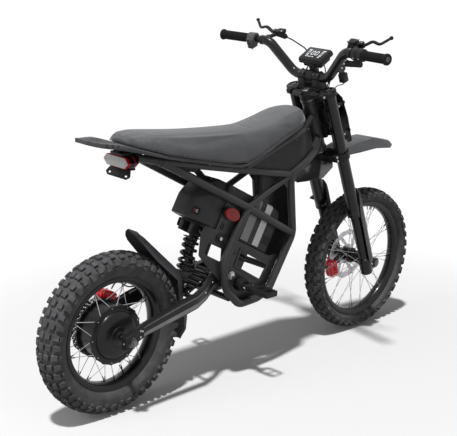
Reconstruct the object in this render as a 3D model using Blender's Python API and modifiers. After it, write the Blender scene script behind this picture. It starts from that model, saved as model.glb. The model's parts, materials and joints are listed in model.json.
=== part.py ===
"""Electric bicycle: a perimeter tube frame with a hub motor and two sprung wheels.

Positions are in metres. X runs forward from the rear axle, Y to the left and Z up from the ground.
One empty shifts everything so that the middle of the whole object stands over the origin.
"""

import math

import bmesh
import bpy
from mathutils import Matrix, Vector

OBJECT = "electric_bicycle"

# Fits between touching pieces
GAP = 0.0003
BORE_FIT = 0.0004
SLIDE_FIT = 0.0005

# Wheels
WHEELBASE = 1.247
REAR_RADIUS = 0.2726
FRONT_RADIUS = 0.284
WHEEL_STEPS = 24
REAR_TYRE_HALF = 0.046
FRONT_TYRE_HALF = 0.037
REAR_RIM_RADIUS = 0.190
FRONT_RIM_RADIUS = 0.230
REAR_RIM_HALF = 0.028
FRONT_RIM_HALF = 0.022
SPOKE_RADIUS = 0.0014
SPOKES_A_SIDE = 14
SPOKE_LEAN = 0.9
SPOKE_STAGGER = 0.0022
SPOKE_SEAT = 0.0013
SEAT_DEPTH = 0.011
BEAD_INSET = 0.0042
RIM_DEPTH = 0.022
PILOT_RADIUS = 0.0120
FRONT_FLANGE_RADIUS = 0.031
FRONT_FLANGE_Y = 0.0305
DISC_RADIUS = 0.1015
DISC_HALF = 0.001
REAR_DISC_Y = 0.075
FRONT_DISC_Y = 0.0565
AXLE_RADIUS = 0.0085

# Hub motor
MOTOR_RADIUS = 0.100
MOTOR_DRUM_RADIUS = 0.090
MOTOR_RIGHT_FLANGE = -0.029
MOTOR_LEFT_FLANGE = 0.048
MOTOR_RIGHT_END = -0.0605

# Steering axis: a point on it level with the front axle, and its lean
RAKE = math.radians(22.0)
AXLE_AHEAD = 0.072
FORK_AHEAD = 0.026
FORK_HALF = 0.083
FORK_TOP = 0.787
UPPER_CLAMP = (0.765, 0.785)
LOWER_CLAMP = (0.504, 0.534)
HEAD_TUBE = (0.538, 0.758)
CLAMP_BOSS_RADIUS = 0.029
FORK_TUBE_RADIUS = 0.023
FORK_FLARE_RADIUS = 0.025
FORK_SEAL_END = 0.249
STANCHION_RADIUS = 0.018
STANCHION_TOP = 0.600
FOOT_TOP = 0.053
FOOT_END = -0.020
FOOT_RADIUS = 0.0235
STEERER_RADIUS = 0.0142
STEERER_TOP = 0.7885
LUG_INNER = 0.0705
HUB_END = LUG_INNER - 0.0005
LUG_OUTER = 0.0965
HEAD_RADIUS = 0.025
FORK_TRAVEL = 0.10

# Handlebar, in the steering frame: ahead of the axis, to the left, along the axis
BAR_CENTRE = (0.0425, 0.8244)
BAR_LOW_Y = 0.080
BAR_HIGH = (0.047, 0.182, 0.9385)
BAR_END = (0.0168, 0.3945, 0.9538)
BAR_BENDS = [0.055, 0.060, 0.060, 0.055]
BAR_STEP_Y = 0.195
BAR_POST_TOP = 0.8410
BAR_THICK = 0.0143
BAR_THIN = 0.0111
GRIP_RADIUS = 0.0165
GRIP_FLARE_RADIUS = 0.0200
THROTTLE_LENGTH = 0.1160
LEFT_GRIP_LENGTH = 0.1265
GRIP_END_WALL = 0.003
MASTER_INWARD = 0.1845
LEVER_HALF = 0.0050
LEVER_FIT = 0.0005
LEVER_PIN_RADIUS = 0.0030
BUTTON_RADIUS = 0.0056
DISPLAY_TILT = math.radians(-8.0)
COWL_THICK = 0.003
LAMP_HEIGHT = 0.6554
PAD_FIT = 0.0012

# Frame side: distance of the tubes from the middle plane
SIDE_Y = 0.088
MAIN_TUBE = 0.014
RAIL_TUBE = 0.0125
UPPER_TUBE = 0.0105
BRACE_TUBE = 0.010
TUBE_SIDES_LEVEL = 1
ARC_STEP = math.radians(34.0)
DIAGONAL_TUBE = 0.0136

# Battery frame: rows lean down towards the front by this angle
BATTERY_LEAN = math.radians(28.8)
BATTERY_HALF = 0.0695
BATTERY_LOW = 0.6860
PLATE_REAR = 0.066
SWITCH_FACING = math.radians(-28.5)
SWITCH_SIZE = (0.0220, 0.0090, 0.0190)
WINDOW = ((0.2232, 0.6601), (0.3750, 0.6537), (0.3697, 0.5975), (0.2270, 0.6037))
CONTROLLER_POST = 0.0190
CRADLE_BAR = (0.655, 0.382)
PLATE_INNER = 0.0702
PLATE_OUTER = 0.0736

# Swingarm
PIVOT = (0.470, 0.388)
ARM_OUTER = 0.115
ARM_THICK = 0.025
SHOCK_TOP = (0.357, 0.5588)
SHOCK_BOTTOM = (0.301, 0.375)
SHOCK_PIN_RADIUS = 0.0050
OPEN_PIN_RADIUS = 0.0040
OPEN_PIN_ROOM = 0.0025
ARM_PIVOT_HALF = 0.0690
BOLT_RADIUS = 0.0080
CROSS_ROD = (0.2990, 0.3440)
CROSS_ROD_RADIUS = 0.0080
SPRING_RADIUS = 0.0218
SPRING_WIRE = 0.0047
SPRING_TURNS = 5.0
SPRING_POINTS = 10
SPRING_CLOSE = 0.5
SPRING_SEAT = 0.0450
PEG_PIVOT = (0.508, 0.120, 0.352)
PEG_REACH = 0.098
PEG_MOUNT_RADIUS = 0.025
PEG_DROOP = math.radians(4.0)
PEG_PIN_RADIUS = 0.0030
PANEL_Y = 0.0842
SEAT_REST = 0.0018

# Seat: station, low edge half width, crest half width, crest height, top height
SEAT_STATIONS = (
    (0.033, 0.045, 0.032, 0.9060, 0.9090),
    (0.055, 0.078, 0.054, 0.9170, 0.9260),
    (0.095, 0.097, 0.066, 0.9160, 0.9255),
    (0.150, 0.106, 0.070, 0.9100, 0.9200),
    (0.300, 0.110, 0.069, 0.8950, 0.9050),
    (0.490, 0.112, 0.067, 0.8830, 0.8960),
    (0.570, 0.109, 0.066, 0.8830, 0.9000),
    (0.660, 0.104, 0.065, 0.9000, 0.9150),
    (0.740, 0.098, 0.062, 0.9210, 0.9350),
    (0.790, 0.083, 0.054, 0.9290, 0.9400),
    (0.825, 0.058, 0.038, 0.9260, 0.9350),
    (0.848, 0.028, 0.018, 0.9120, 0.9200),
)
# Seat base: station, half width, top height, thickness
BASE_STATIONS = (
    (-0.118, 0.028, 0.9240, 0.013),
    (-0.080, 0.056, 0.9155, 0.0145),
    (-0.024, 0.083, 0.9075, 0.0155),
    (0.010, 0.096, 0.8990, 0.015),
    (0.040, 0.101, 0.8900, 0.013),
    (0.150, 0.107, 0.8560, 0.010),
    (0.300, 0.110, 0.8215, 0.010),
    (0.420, 0.111, 0.7945, 0.010),
    (0.490, 0.111, 0.7880, 0.010),
    (0.570, 0.108, 0.8115, 0.010),
    (0.660, 0.103, 0.8455, 0.010),
    (0.740, 0.096, 0.8730, 0.010),
    (0.790, 0.082, 0.8850, 0.011),
    (0.825, 0.057, 0.8910, 0.011),
    (0.848, 0.027, 0.8930, 0.010),
)

# Where the axles are, with the rear one over zero
REAR_AXLE = Vector((0.0, 0.0, REAR_RADIUS))
FRONT_AXLE = Vector((WHEELBASE, 0.0, FRONT_RADIUS))
STEER_FORWARD = Vector((math.cos(RAKE), 0.0, math.sin(RAKE)))
STEER_UP = Vector((-math.sin(RAKE), 0.0, math.cos(RAKE)))
STEER_POINT = FRONT_AXLE - STEER_FORWARD * AXLE_AHEAD
REAR_AXLE_X = -(WHEELBASE + FRONT_RADIUS - REAR_RADIUS) / 2
TURN_ONTO_Y = Matrix.Rotation(-math.pi / 2, 4, "X")


# Scene and materials


def clear_scene():
    for obj in list(bpy.data.objects):
        bpy.data.objects.remove(obj, do_unlink=True)
    for group in (bpy.data.meshes, bpy.data.curves, bpy.data.materials, bpy.data.collections):
        for item in list(group):
            group.remove(item)


def new_collection(name, hidden):
    made = bpy.data.collections.new(name)
    made.hide_render = hidden
    bpy.context.scene.collection.children.link(made)
    return made


def make_material(name, colour, roughness, metallic=0.0):
    made = bpy.data.materials.new(name)
    made.use_nodes = True
    shader = made.node_tree.nodes["Principled BSDF"]
    shader.inputs["Base Color"].default_value = (*colour, 1.0)
    shader.inputs["Roughness"].default_value = roughness
    shader.inputs["Metallic"].default_value = metallic
    made.diffuse_color = (*colour, 1.0)
    return made


# Pieces: each function returns a closed mesh


def mesh_from(obj):
    """The object's evaluated shape as a mesh with its seams welded, the object being removed."""
    bpy.context.view_layer.update()
    graph = bpy.context.evaluated_depsgraph_get()
    mesh = bpy.data.meshes.new_from_object(obj.evaluated_get(graph))
    mesh.transform(obj.matrix_world)
    bpy.data.objects.remove(obj, do_unlink=True)
    return tidy(mesh)


def tidy(mesh, weld=0.00002):
    work = bmesh.new()
    work.from_mesh(mesh)
    bmesh.ops.remove_doubles(work, verts=work.verts, dist=weld)
    bmesh.ops.recalc_face_normals(work, faces=work.faces)
    work.to_mesh(mesh)
    work.free()
    mesh.materials.clear()
    return mesh


def temporary(name, data):
    obj = bpy.data.objects.new(name, data)
    bpy.context.scene.collection.objects.link(obj)
    return obj


def from_bmesh(work, matrix):
    work.transform(matrix)
    mesh = bpy.data.meshes.new("piece")
    work.to_mesh(mesh)
    work.free()
    return mesh


def box(size, centre, matrix=None):
    """A block. The matrix, when given, is applied after the block is put at its centre."""
    work = bmesh.new()
    bmesh.ops.create_cube(work, size=1.0)
    place = Matrix.Translation(centre) @ Matrix.Diagonal((*size, 1.0))
    return from_bmesh(work, (matrix or Matrix()) @ place)


def rod(start, end, radius, sides=12, end_radius=None):
    """A cylinder, or a cone, from one point to another."""
    start, end = Vector(start), Vector(end)
    along = end - start
    work = bmesh.new()
    bmesh.ops.create_cone(
        work,
        cap_ends=True,
        segments=sides,
        radius1=radius,
        radius2=radius if end_radius is None else end_radius,
        depth=along.length,
    )
    turn = along.to_track_quat("Z", "Y").to_matrix().to_4x4()
    return from_bmesh(work, Matrix.Translation((start + end) / 2) @ turn)


def cross_rod(x, z, start_y, end_y, radius, sides=12):
    """A cylinder along Y with a corner straight above and below its middle."""
    return rod((x, start_y, z), (x, end_y, z), radius, sides)


def turned(profile, matrix=None, steps=16, closed=False):
    """A turned piece. The profile lists (radius, height) down its outer side, and closed joins its ends."""
    points = [(radius, 0.0, height) for radius, height in profile]
    edges = [(i, i + 1) for i in range(len(points) - 1)]
    if closed:
        edges.append((len(points) - 1, 0))
    mesh = bpy.data.meshes.new("profile")
    mesh.from_pydata(points, edges, [])
    obj = temporary("profile", mesh)
    screw = obj.modifiers.new("turn", "SCREW")
    screw.steps = steps
    screw.render_steps = steps
    screw.use_merge_vertices = True
    screw.merge_threshold = 0.00001
    made = mesh_from(obj)
    made.transform(matrix or Matrix())
    return made


def rounded_path(points, bend):
    """The points joined by straight lines with an arc at each corner. bend is one radius or one for each corner."""
    points = [Vector(p) for p in points]
    radii = bend if isinstance(bend, (list, tuple)) else [bend] * (len(points) - 2)
    path = [points[0]]
    for before, corner, after, radius in zip(points, points[1:], points[2:], radii):
        back, ahead = (before - corner).normalized(), (after - corner).normalized()
        turn = math.pi - back.angle(ahead)
        if turn < 0.02:
            path.append(corner)
            continue
        reach = min(radius * math.tan(turn / 2), 0.45 * min((before - corner).length, (after - corner).length))
        start, end = corner + back * reach, corner + ahead * reach
        count = max(2, round(turn / ARC_STEP))
        for step in range(count + 1):
            t = step / count
            path.append(start * (1 - t) ** 2 + corner * 2 * t * (1 - t) + end * t**2)
    path.append(points[-1])
    return path


def tube(points, radius, bend=0.05, level=TUBE_SIDES_LEVEL, scales=None):
    """A round bar along a path. scales, when given, widens the bar as a function of the point."""
    path = rounded_path(points, bend)
    curve = bpy.data.curves.new("tube", "CURVE")
    curve.dimensions = "3D"
    curve.bevel_depth = radius
    curve.bevel_resolution = level
    curve.use_fill_caps = True
    spline = curve.splines.new("POLY")
    spline.points.add(len(path) - 1)
    for place, point in zip(spline.points, path):
        place.co = (*point, 1.0)
        place.radius = scales(point) if scales else 1.0
    return mesh_from(temporary("tube", curve))


def plate(outline, thickness, matrix=None, holes=()):
    """A flat plate. Its outline and holes are in XY and its thickness is centred on Z."""
    curve = bpy.data.curves.new("plate", "CURVE")
    curve.dimensions = "2D"
    curve.fill_mode = "BOTH"
    curve.extrude = thickness / 2
    for ring in (outline, *holes):
        spline = curve.splines.new("POLY")
        spline.points.add(len(ring) - 1)
        for place, point in zip(spline.points, ring):
            place.co = (point[0], point[1], 0.0, 1.0)
        spline.use_cyclic_u = True
    made = mesh_from(temporary("plate", curve))
    made.transform(matrix or Matrix())
    return made


def circle(x, y, radius, count=16, start=0.0):
    steps = [start + 2 * math.pi * i / count for i in range(count)]
    return [(x + radius * math.cos(a), y + radius * math.sin(a)) for a in steps]


def upright(y):
    """Turns a plate drawn in XY up into XZ at this distance to the left."""
    return Matrix.Translation((0.0, y, 0.0)) @ Matrix.Rotation(math.pi / 2, 4, "X")


def loft(sections):
    """A closed skin over sections with the same number of points, with a flat face at each end."""
    work = bmesh.new()
    rings = [[work.verts.new(p) for p in section] for section in sections]
    count = len(rings[0])
    for first, second in zip(rings, rings[1:]):
        for i in range(count):
            j = (i + 1) % count
            work.faces.new((first[i], first[j], second[j], second[i]))
    work.faces.new(rings[0][::-1])
    work.faces.new(rings[-1])
    bmesh.ops.recalc_face_normals(work, faces=work.faces)
    return from_bmesh(work, Matrix())


def shell(rows, thickness):
    """A sheet over rows of points, thickened away from its outer side."""
    work = bmesh.new()
    grid = [[work.verts.new(p) for p in row] for row in rows]
    for first, second in zip(grid, grid[1:]):
        for i in range(len(first) - 1):
            work.faces.new((first[i], first[i + 1], second[i + 1], second[i]))
    mesh = from_bmesh(work, Matrix())
    obj = temporary("shell", mesh)
    solid = obj.modifiers.new("thickness", "SOLIDIFY")
    solid.thickness = thickness
    solid.offset = -1.0
    solid.use_even_offset = True
    return mesh_from(obj)


def bevelled(mesh, width, segments=1, angle=40.0):
    obj = temporary("bevel", mesh)
    bevel = obj.modifiers.new("bevel", "BEVEL")
    bevel.width = width
    bevel.segments = segments
    bevel.limit_method = "ANGLE"
    bevel.angle_limit = math.radians(angle)
    return mesh_from(obj)


def fused(pieces):
    """One closed mesh from pieces that run into each other."""
    pieces = list(pieces)
    if len(pieces) == 1:
        return pieces[0]
    base = temporary("base", pieces[0])
    others = [temporary("other", piece) for piece in pieces[1:]]
    for other in others:
        join = base.modifiers.new("join", "BOOLEAN")
        join.operation = "UNION"
        join.solver = "EXACT"
        join.object = other
    made = mesh_from(base)
    for other in others:
        bpy.data.objects.remove(other, do_unlink=True)
    return made


def mirrored(mesh):
    """The same piece on the other side of the middle plane."""
    copy = mesh.copy()
    copy.transform(Matrix.Diagonal((1.0, -1.0, 1.0, 1.0)))
    copy.flip_normals()
    return copy


# Objects


def add_empty(name, parent=None, at=(0.0, 0.0, 0.0), turn=None):
    made = bpy.data.objects.new(name, None)
    made.empty_display_size = 0.04
    PARTS.objects.link(made)
    made.parent = parent
    made.location = at
    if turn is not None:
        made.rotation_euler = turn.to_euler()
    return made


def add_part(name, parent, finish, pieces, cuts=(), at=(0.0, 0.0, 0.0), smooth=40.0):
    """A named object from fused pieces, with live cuts. at is its origin in the parent's frame."""
    mesh = fused(pieces)
    mesh.name = name
    mesh.transform(Matrix.Translation(-Vector(at)))
    mesh.shade_smooth()
    mesh.set_sharp_from_angle(angle=math.radians(smooth))
    mesh.materials.append(finish)
    part = bpy.data.objects.new(name, mesh)
    PARTS.objects.link(part)
    part.parent = parent
    part.location = at
    for number, piece in enumerate(cuts, 1):
        piece.name = f"{name}_cut_{number}"
        cutter = bpy.data.objects.new(f"{name}_cutter_{number}", piece)
        CUTTERS.objects.link(cutter)
        cutter.parent = parent
        cutter.display_type = "WIRE"
        cutter.hide_render = True
        cut = part.modifiers.new(f"cut_{number}", "BOOLEAN")
        cut.operation = "DIFFERENCE"
        cut.solver = "EXACT"
        cut.object = cutter
    return part


# Wheels


def tyre(radius, half, rim_radius, rim_half):
    """A tyre, open round the inside between its beads."""
    bead_half = rim_half - BEAD_INSET
    bead = rim_radius - SEAT_DEPTH
    tall = radius - rim_radius
    outer = [
        (bead, bead_half),
        (rim_radius + 0.0008, bead_half + 0.0008),
        (rim_radius + 0.50 * tall, half),
        (radius - 0.22 * tall, half * 0.90),
        (radius, half * 0.52),
    ]
    inner = [(radius - 0.016, -half * 0.50), (bead, -bead_half + 0.007)]
    ring = outer + [(r, -h) for r, h in reversed(outer)]
    ring += [(r, h) for r, h in reversed(inner)] + [(r, -h) for r, h in inner]
    return turned(ring, TURN_ONTO_Y, WHEEL_STEPS, closed=True)


def rim_ring(rim_radius, rim_half):
    seat = rim_radius - SEAT_DEPTH - GAP
    flange = [
        (rim_radius, rim_half),
        (rim_radius, rim_half - 0.0028),
        (seat, rim_half - BEAD_INSET + GAP * 2),
    ]
    inner = [(rim_radius - 0.016, rim_half - 0.0015), (rim_radius - RIM_DEPTH, rim_half * 0.42)]
    ring = flange + [(r, -h) for r, h in reversed(flange)]
    ring += [(r, -h) for r, h in inner] + [(r, h) for r, h in reversed(inner)]
    return turned(ring, TURN_ONTO_Y, WHEEL_STEPS, closed=True)


def wheel_point(radius, angle, y):
    return (radius * math.cos(angle), y, radius * math.sin(angle))


def spokes(hub_radius, flanges, rim_inner, rim_y):
    """Spokes from both hub flanges into the rim. Each crossed pair passes side by side."""
    made = []
    pitch = 2 * math.pi / SPOKES_A_SIDE
    for side, flange in enumerate(flanges):
        rim_side = rim_y if side == 0 else -rim_y
        for i in range(SPOKES_A_SIDE):
            turn, step = (1, SPOKE_STAGGER) if i % 2 else (-1, -SPOKE_STAGGER)
            hub_angle = pitch * (i + 0.5 * side)
            rim_angle = hub_angle + turn * SPOKE_LEAN * pitch
            start = wheel_point(hub_radius + SPOKE_SEAT, hub_angle, flange + step)
            end = wheel_point(rim_inner + 0.0045, rim_angle, rim_side + step)
            made.append(rod(start, end, SPOKE_RADIUS, 3))
    return made


def disc(y, hole_radius, hole_sides):
    """A brake disc: a ring, five arms and a centre ring."""
    windows = []
    for i in range(5):
        middle = 2 * math.pi * i / 5
        corners = [(0.076, -0.50), (0.076, 0.0), (0.076, 0.50), (0.036, 0.36), (0.036, -0.36)]
        windows.append([(r * math.cos(middle + a), r * math.sin(middle + a)) for r, a in corners])
    holes = [circle(0.0, 0.0, hole_radius, hole_sides), *windows]
    return plate(circle(0.0, 0.0, DISC_RADIUS, 24), 2 * DISC_HALF, upright(y), holes)


def build_rear_wheel(parent):
    hub = add_empty("rear_wheel_axis", parent, REAR_AXLE)
    left_end = REAR_DISC_Y - DISC_HALF - GAP
    motor = [
        (0.0310, left_end),
        (0.0310, left_end - 0.004),
        (0.0215, left_end - 0.004),
        (0.0215, MOTOR_LEFT_FLANGE + 0.014),
        (0.0620, MOTOR_LEFT_FLANGE + 0.011),
        (MOTOR_RADIUS, MOTOR_LEFT_FLANGE + 0.003),
        (MOTOR_RADIUS, MOTOR_LEFT_FLANGE - 0.003),
        (MOTOR_DRUM_RADIUS, MOTOR_LEFT_FLANGE - 0.004),
        (MOTOR_DRUM_RADIUS, MOTOR_RIGHT_FLANGE + 0.004),
        (MOTOR_RADIUS, MOTOR_RIGHT_FLANGE + 0.003),
        (MOTOR_RADIUS, MOTOR_RIGHT_FLANGE - 0.003),
        (0.0840, MOTOR_RIGHT_FLANGE - 0.009),
        (0.0600, MOTOR_RIGHT_FLANGE - 0.019),
        (0.0180, MOTOR_RIGHT_FLANGE - 0.024),
        (0.0180, MOTOR_RIGHT_END),
        (AXLE_RADIUS + BORE_FIT, MOTOR_RIGHT_END),
        (AXLE_RADIUS + BORE_FIT, left_end),
    ]
    rubber = tyre(REAR_RADIUS, REAR_TYRE_HALF, REAR_RIM_RADIUS, REAR_RIM_HALF)
    ring = rim_ring(REAR_RIM_RADIUS, REAR_RIM_HALF)
    flanges = (MOTOR_LEFT_FLANGE, MOTOR_RIGHT_FLANGE)
    wires = spokes(MOTOR_RADIUS, flanges, REAR_RIM_RADIUS - RIM_DEPTH, 0.008)
    add_part("rear_tyre", hub, RUBBER, [rubber])
    add_part("rear_rim", hub, GLOSS_BLACK, [ring, *wires])
    add_part("hub_motor", hub, SATIN_BLACK, [turned(motor, TURN_ONTO_Y, 20, closed=True)])
    add_part("rear_disc", hub, STEEL, [disc(REAR_DISC_Y, 0.0200, 16)], at=(0.0, REAR_DISC_Y, 0.0))


def build_front_wheel(parent):
    """The wheel's frame follows the fork, so it leans with the steering axis."""
    hub = add_empty("front_wheel_axis", parent, (AXLE_AHEAD, 0.0, 0.0))
    inner_face = FRONT_DISC_Y - DISC_HALF - GAP
    profile = [
        (PILOT_RADIUS, HUB_END),
        (PILOT_RADIUS, inner_face),
        (0.0270, inner_face),
        (0.0270, 0.048),
        (0.0190, 0.043),
        (FRONT_FLANGE_RADIUS, FRONT_FLANGE_Y + 0.003),
        (FRONT_FLANGE_RADIUS, FRONT_FLANGE_Y - 0.003),
        (0.0190, 0.022),
        (0.0190, -0.022),
        (FRONT_FLANGE_RADIUS, -FRONT_FLANGE_Y + 0.003),
        (FRONT_FLANGE_RADIUS, -FRONT_FLANGE_Y - 0.003),
        (0.0150, -0.042),
        (0.0150, -HUB_END),
        (AXLE_RADIUS + BORE_FIT, -HUB_END),
        (AXLE_RADIUS + BORE_FIT, HUB_END),
    ]
    rubber = tyre(FRONT_RADIUS, FRONT_TYRE_HALF, FRONT_RIM_RADIUS, FRONT_RIM_HALF)
    ring = rim_ring(FRONT_RIM_RADIUS, FRONT_RIM_HALF)
    flanges = (FRONT_FLANGE_Y, -FRONT_FLANGE_Y)
    wires = spokes(FRONT_FLANGE_RADIUS, flanges, FRONT_RIM_RADIUS - RIM_DEPTH, 0.006)
    add_part("front_tyre", hub, RUBBER, [rubber])
    add_part("front_rim", hub, GLOSS_BLACK, [ring, *wires])
    add_part("front_hub", hub, SATIN_BLACK, [turned(profile, TURN_ONTO_Y, 16, closed=True)])
    brake = disc(FRONT_DISC_Y, PILOT_RADIUS + GAP, 16)
    add_part("front_disc", hub, STEEL, [brake], at=(0.0, FRONT_DISC_Y, 0.0))


# Fork and steering


def build_fork_side(steering, slide, side, word):
    y = FORK_HALF * side
    across = Matrix.Translation((FORK_AHEAD, y, 0.0))
    bore = STANCHION_RADIUS + SLIDE_FIT
    outer = [
        (0.0, FORK_TOP - 0.002),
        (0.016, FORK_TOP - 0.002),
        (0.017, FORK_TOP),
        (0.0215, FORK_TOP),
        (FORK_TUBE_RADIUS, FORK_TOP - 0.002),
        (FORK_TUBE_RADIUS, FORK_SEAL_END + 0.055),
        (FORK_FLARE_RADIUS, FORK_SEAL_END + 0.045),
        (FORK_FLARE_RADIUS, FORK_SEAL_END),
        (bore, FORK_SEAL_END),
        (bore, STANCHION_TOP + FORK_TRAVEL + 0.01),
        (0.0, STANCHION_TOP + FORK_TRAVEL + 0.01),
    ]
    add_part(f"fork_tube_{word}", steering, GLOSS_BLACK, [turned(outer, across, 16)], at=(FORK_AHEAD, y, 0.0))
    stanchion = rod((FORK_AHEAD, y, STANCHION_TOP), (FORK_AHEAD, y, 0.0), STANCHION_RADIUS, 16)
    foot = [
        (0.0, FOOT_TOP),
        (FOOT_RADIUS - 0.002, FOOT_TOP),
        (FOOT_RADIUS, FOOT_TOP - 0.003),
        (FOOT_RADIUS, FOOT_END + 0.006),
        (FOOT_RADIUS - 0.006, FOOT_END),
        (0.0, FOOT_END),
    ]
    lug_in, lug_out = LUG_INNER * side, LUG_OUTER * side
    boss = rod((AXLE_AHEAD, lug_in, 0.0), (AXLE_AHEAD, lug_out, 0.0), 0.019, 16)
    web_centre = ((AXLE_AHEAD + FORK_AHEAD) / 2, 0.084 * side, 0.0)
    web = box((AXLE_AHEAD - FORK_AHEAD, 0.022, 0.032), web_centre)
    # The guard stands in front of the stanchion, clears the disc and laps the tube above it.
    rows = []
    for height, reach, wide, sweep in (
        (0.022, 0.0485, 0.0190, 0.010),
        (0.040, 0.0555, 0.0190, 0.012),
        (0.300, 0.0585, 0.0190, 0.009),
        (0.352, 0.0585, 0.0120, 0.004),
    ):
        spots = ((-wide, -sweep), (-wide * 0.62, 0.0), (wide * 0.62, 0.0), (wide, -sweep))
        rows.append([(reach + ahead, y + across_y, height) for across_y, ahead in spots])
    guard = shell(rows, 0.0025)
    bore_cut = rod((AXLE_AHEAD, 0.06 * side, 0.0), (AXLE_AHEAD, 0.11 * side, 0.0), AXLE_RADIUS + BORE_FIT, 12)
    add_part(
        f"fork_slider_{word}",
        slide,
        SATIN_BLACK,
        [turned(foot, across, 16), stanchion, boss, web, guard],
        [bore_cut],
        at=(FORK_AHEAD, y, 0.0),
    )


def clamp_bosses(low, high):
    return [
        rod((FORK_AHEAD, y, low), (FORK_AHEAD, y, high), CLAMP_BOSS_RADIUS, 16) for y in (-FORK_HALF, FORK_HALF)
    ]


def fork_tube_cuts():
    radius = FORK_TUBE_RADIUS + GAP
    return [
        rod((FORK_AHEAD, y, 0.45), (FORK_AHEAD, y, 0.82), radius, 16) for y in (-FORK_HALF, FORK_HALF)
    ]


def build_clamps(steering):
    low, high = LOWER_CLAMP
    middle, tall = (low + high) / 2, high - low
    bridge = box((0.050, 2 * FORK_HALF, tall - 0.004), (0.012, 0.0, middle))
    steerer = rod((0.0, 0.0, middle), (0.0, 0.0, STEERER_TOP), STEERER_RADIUS, 16)
    race = rod((0.0, 0.0, middle), (0.0, 0.0, HEAD_TUBE[0] - 0.0004), 0.024, 16)
    pieces = [bridge, *clamp_bosses(low, high), race, steerer]
    add_part("steering_stem", steering, SATIN_BLACK, pieces, fork_tube_cuts())
    low, high = UPPER_CLAMP
    middle, tall = (low + high) / 2, high - low
    bridge = box((0.046, 2 * FORK_HALF - 0.020, tall - 0.008), (0.008, 0.0, middle - 0.002))
    nose = rod((0.0, 0.0, HEAD_TUBE[1] + 0.0004), (0.0, 0.0, high - 0.0065), 0.028, 16)
    stem_cut = rod((0.0, 0.0, 0.70), (0.0, 0.0, 0.83), STEERER_RADIUS + GAP, 16)
    pieces = [bridge, *clamp_bosses(low, high), nose]
    add_part("upper_clamp", steering, SATIN_BLACK, pieces, [*fork_tube_cuts(), stem_cut])


def bar_points():
    left = [(BAR_CENTRE[0], BAR_LOW_Y, BAR_CENTRE[1]), BAR_HIGH, BAR_END]
    return [(n, -y, s) for n, y, s in reversed(left)] + left


def bar_line(side):
    """The outer end of the bar on one side and the direction outwards along it."""
    end = Vector((BAR_END[0], BAR_END[1] * side, BAR_END[2]))
    bend = Vector((BAR_HIGH[0], BAR_HIGH[1] * side, BAR_HIGH[2]))
    return end, (end - bend).normalized()


def bar_scale(point):
    """The bar is thick in the middle and thin where the grips and levers sit."""
    return 1.0 if abs(point[1]) > BAR_STEP_Y else BAR_THICK / BAR_THIN


def build_bar(steering):
    end, outward = bar_line(1)
    inset = outward * (GRIP_END_WALL + GAP)
    points = [Vector(p) for p in bar_points()]
    points[0] = points[0] - Vector((inset.x, -inset.y, inset.z))
    points[-1] = points[-1] - inset
    bar = tube(points, BAR_THIN, bend=BAR_BENDS, level=2, scales=bar_scale)
    add_part("handlebar", steering, GLOSS_BLACK, [bar])
    n, s = BAR_CENTRE
    clamp_cut = rod((n, -0.07, s), (n, 0.07, s), BAR_THICK + 0.0008, 16)
    base_low = UPPER_CLAMP[1] - 0.0060 + GAP
    posts = []
    for y in (-0.035, 0.035):
        post = box((0.042, 0.032, BAR_POST_TOP - base_low), (n - 0.006, y, (BAR_POST_TOP + base_low) / 2 + 0.001))
        posts.append(bevelled(post, 0.004))
    foot = box((0.040, 0.098, 0.009), (n - 0.008, 0.0, base_low + 0.0045))
    nut_cut = rod((0.0, 0.0, 0.70), (0.0, 0.0, 0.81), STEERER_RADIUS + 0.0008, 16)
    add_part("bar_clamp", steering, SATIN_BLACK, [foot, *posts], [clamp_cut, nut_cut])


def along_bar(side, inward, radius, length, sides=16):
    """A cylinder round the bar whose middle is this far in from the bar's end."""
    end, outward = bar_line(side)
    middle = end - outward * inward
    half = outward * (length / 2)
    return rod(middle - half, middle + half, radius, sides)


def build_grip(steering, side, name, length):
    end, outward = bar_line(side)
    turn = outward.to_track_quat("Z", "Y").to_matrix().to_4x4()
    axis = add_empty(f"{name}_axis", steering, end, turn)
    bore = BAR_THIN + BORE_FIT
    profile = [
        (0.0, 0.0),
        (GRIP_FLARE_RADIUS - 0.001, 0.0),
        (GRIP_FLARE_RADIUS, -0.003),
        (GRIP_FLARE_RADIUS, -0.008),
        (GRIP_RADIUS, -0.012),
        (GRIP_RADIUS, -length + 0.005),
        (GRIP_RADIUS + 0.002, -length + 0.004),
        (GRIP_RADIUS + 0.002, -length),
        (bore, -length),
        (bore, -GRIP_END_WALL),
        (0.0, -GRIP_END_WALL),
    ]
    add_part(name, axis, GRIP_RUBBER, [turned(profile, None, 14)])


def lever_points(side):
    """The brake lever from its pivot to its tip. It leaves the pivot level, between the fork's plates."""
    return [
        Vector((0.1073, 0.2101 * side, 0.9411)),
        Vector((0.1100, 0.2235 * side, 0.9416)),
        Vector((0.1171, 0.2538 * side, 0.9563)),
        Vector((0.1133, 0.2841 * side, 0.9481)),
        Vector((0.1398, 0.3181 * side, 0.9653)),
    ]


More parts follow.
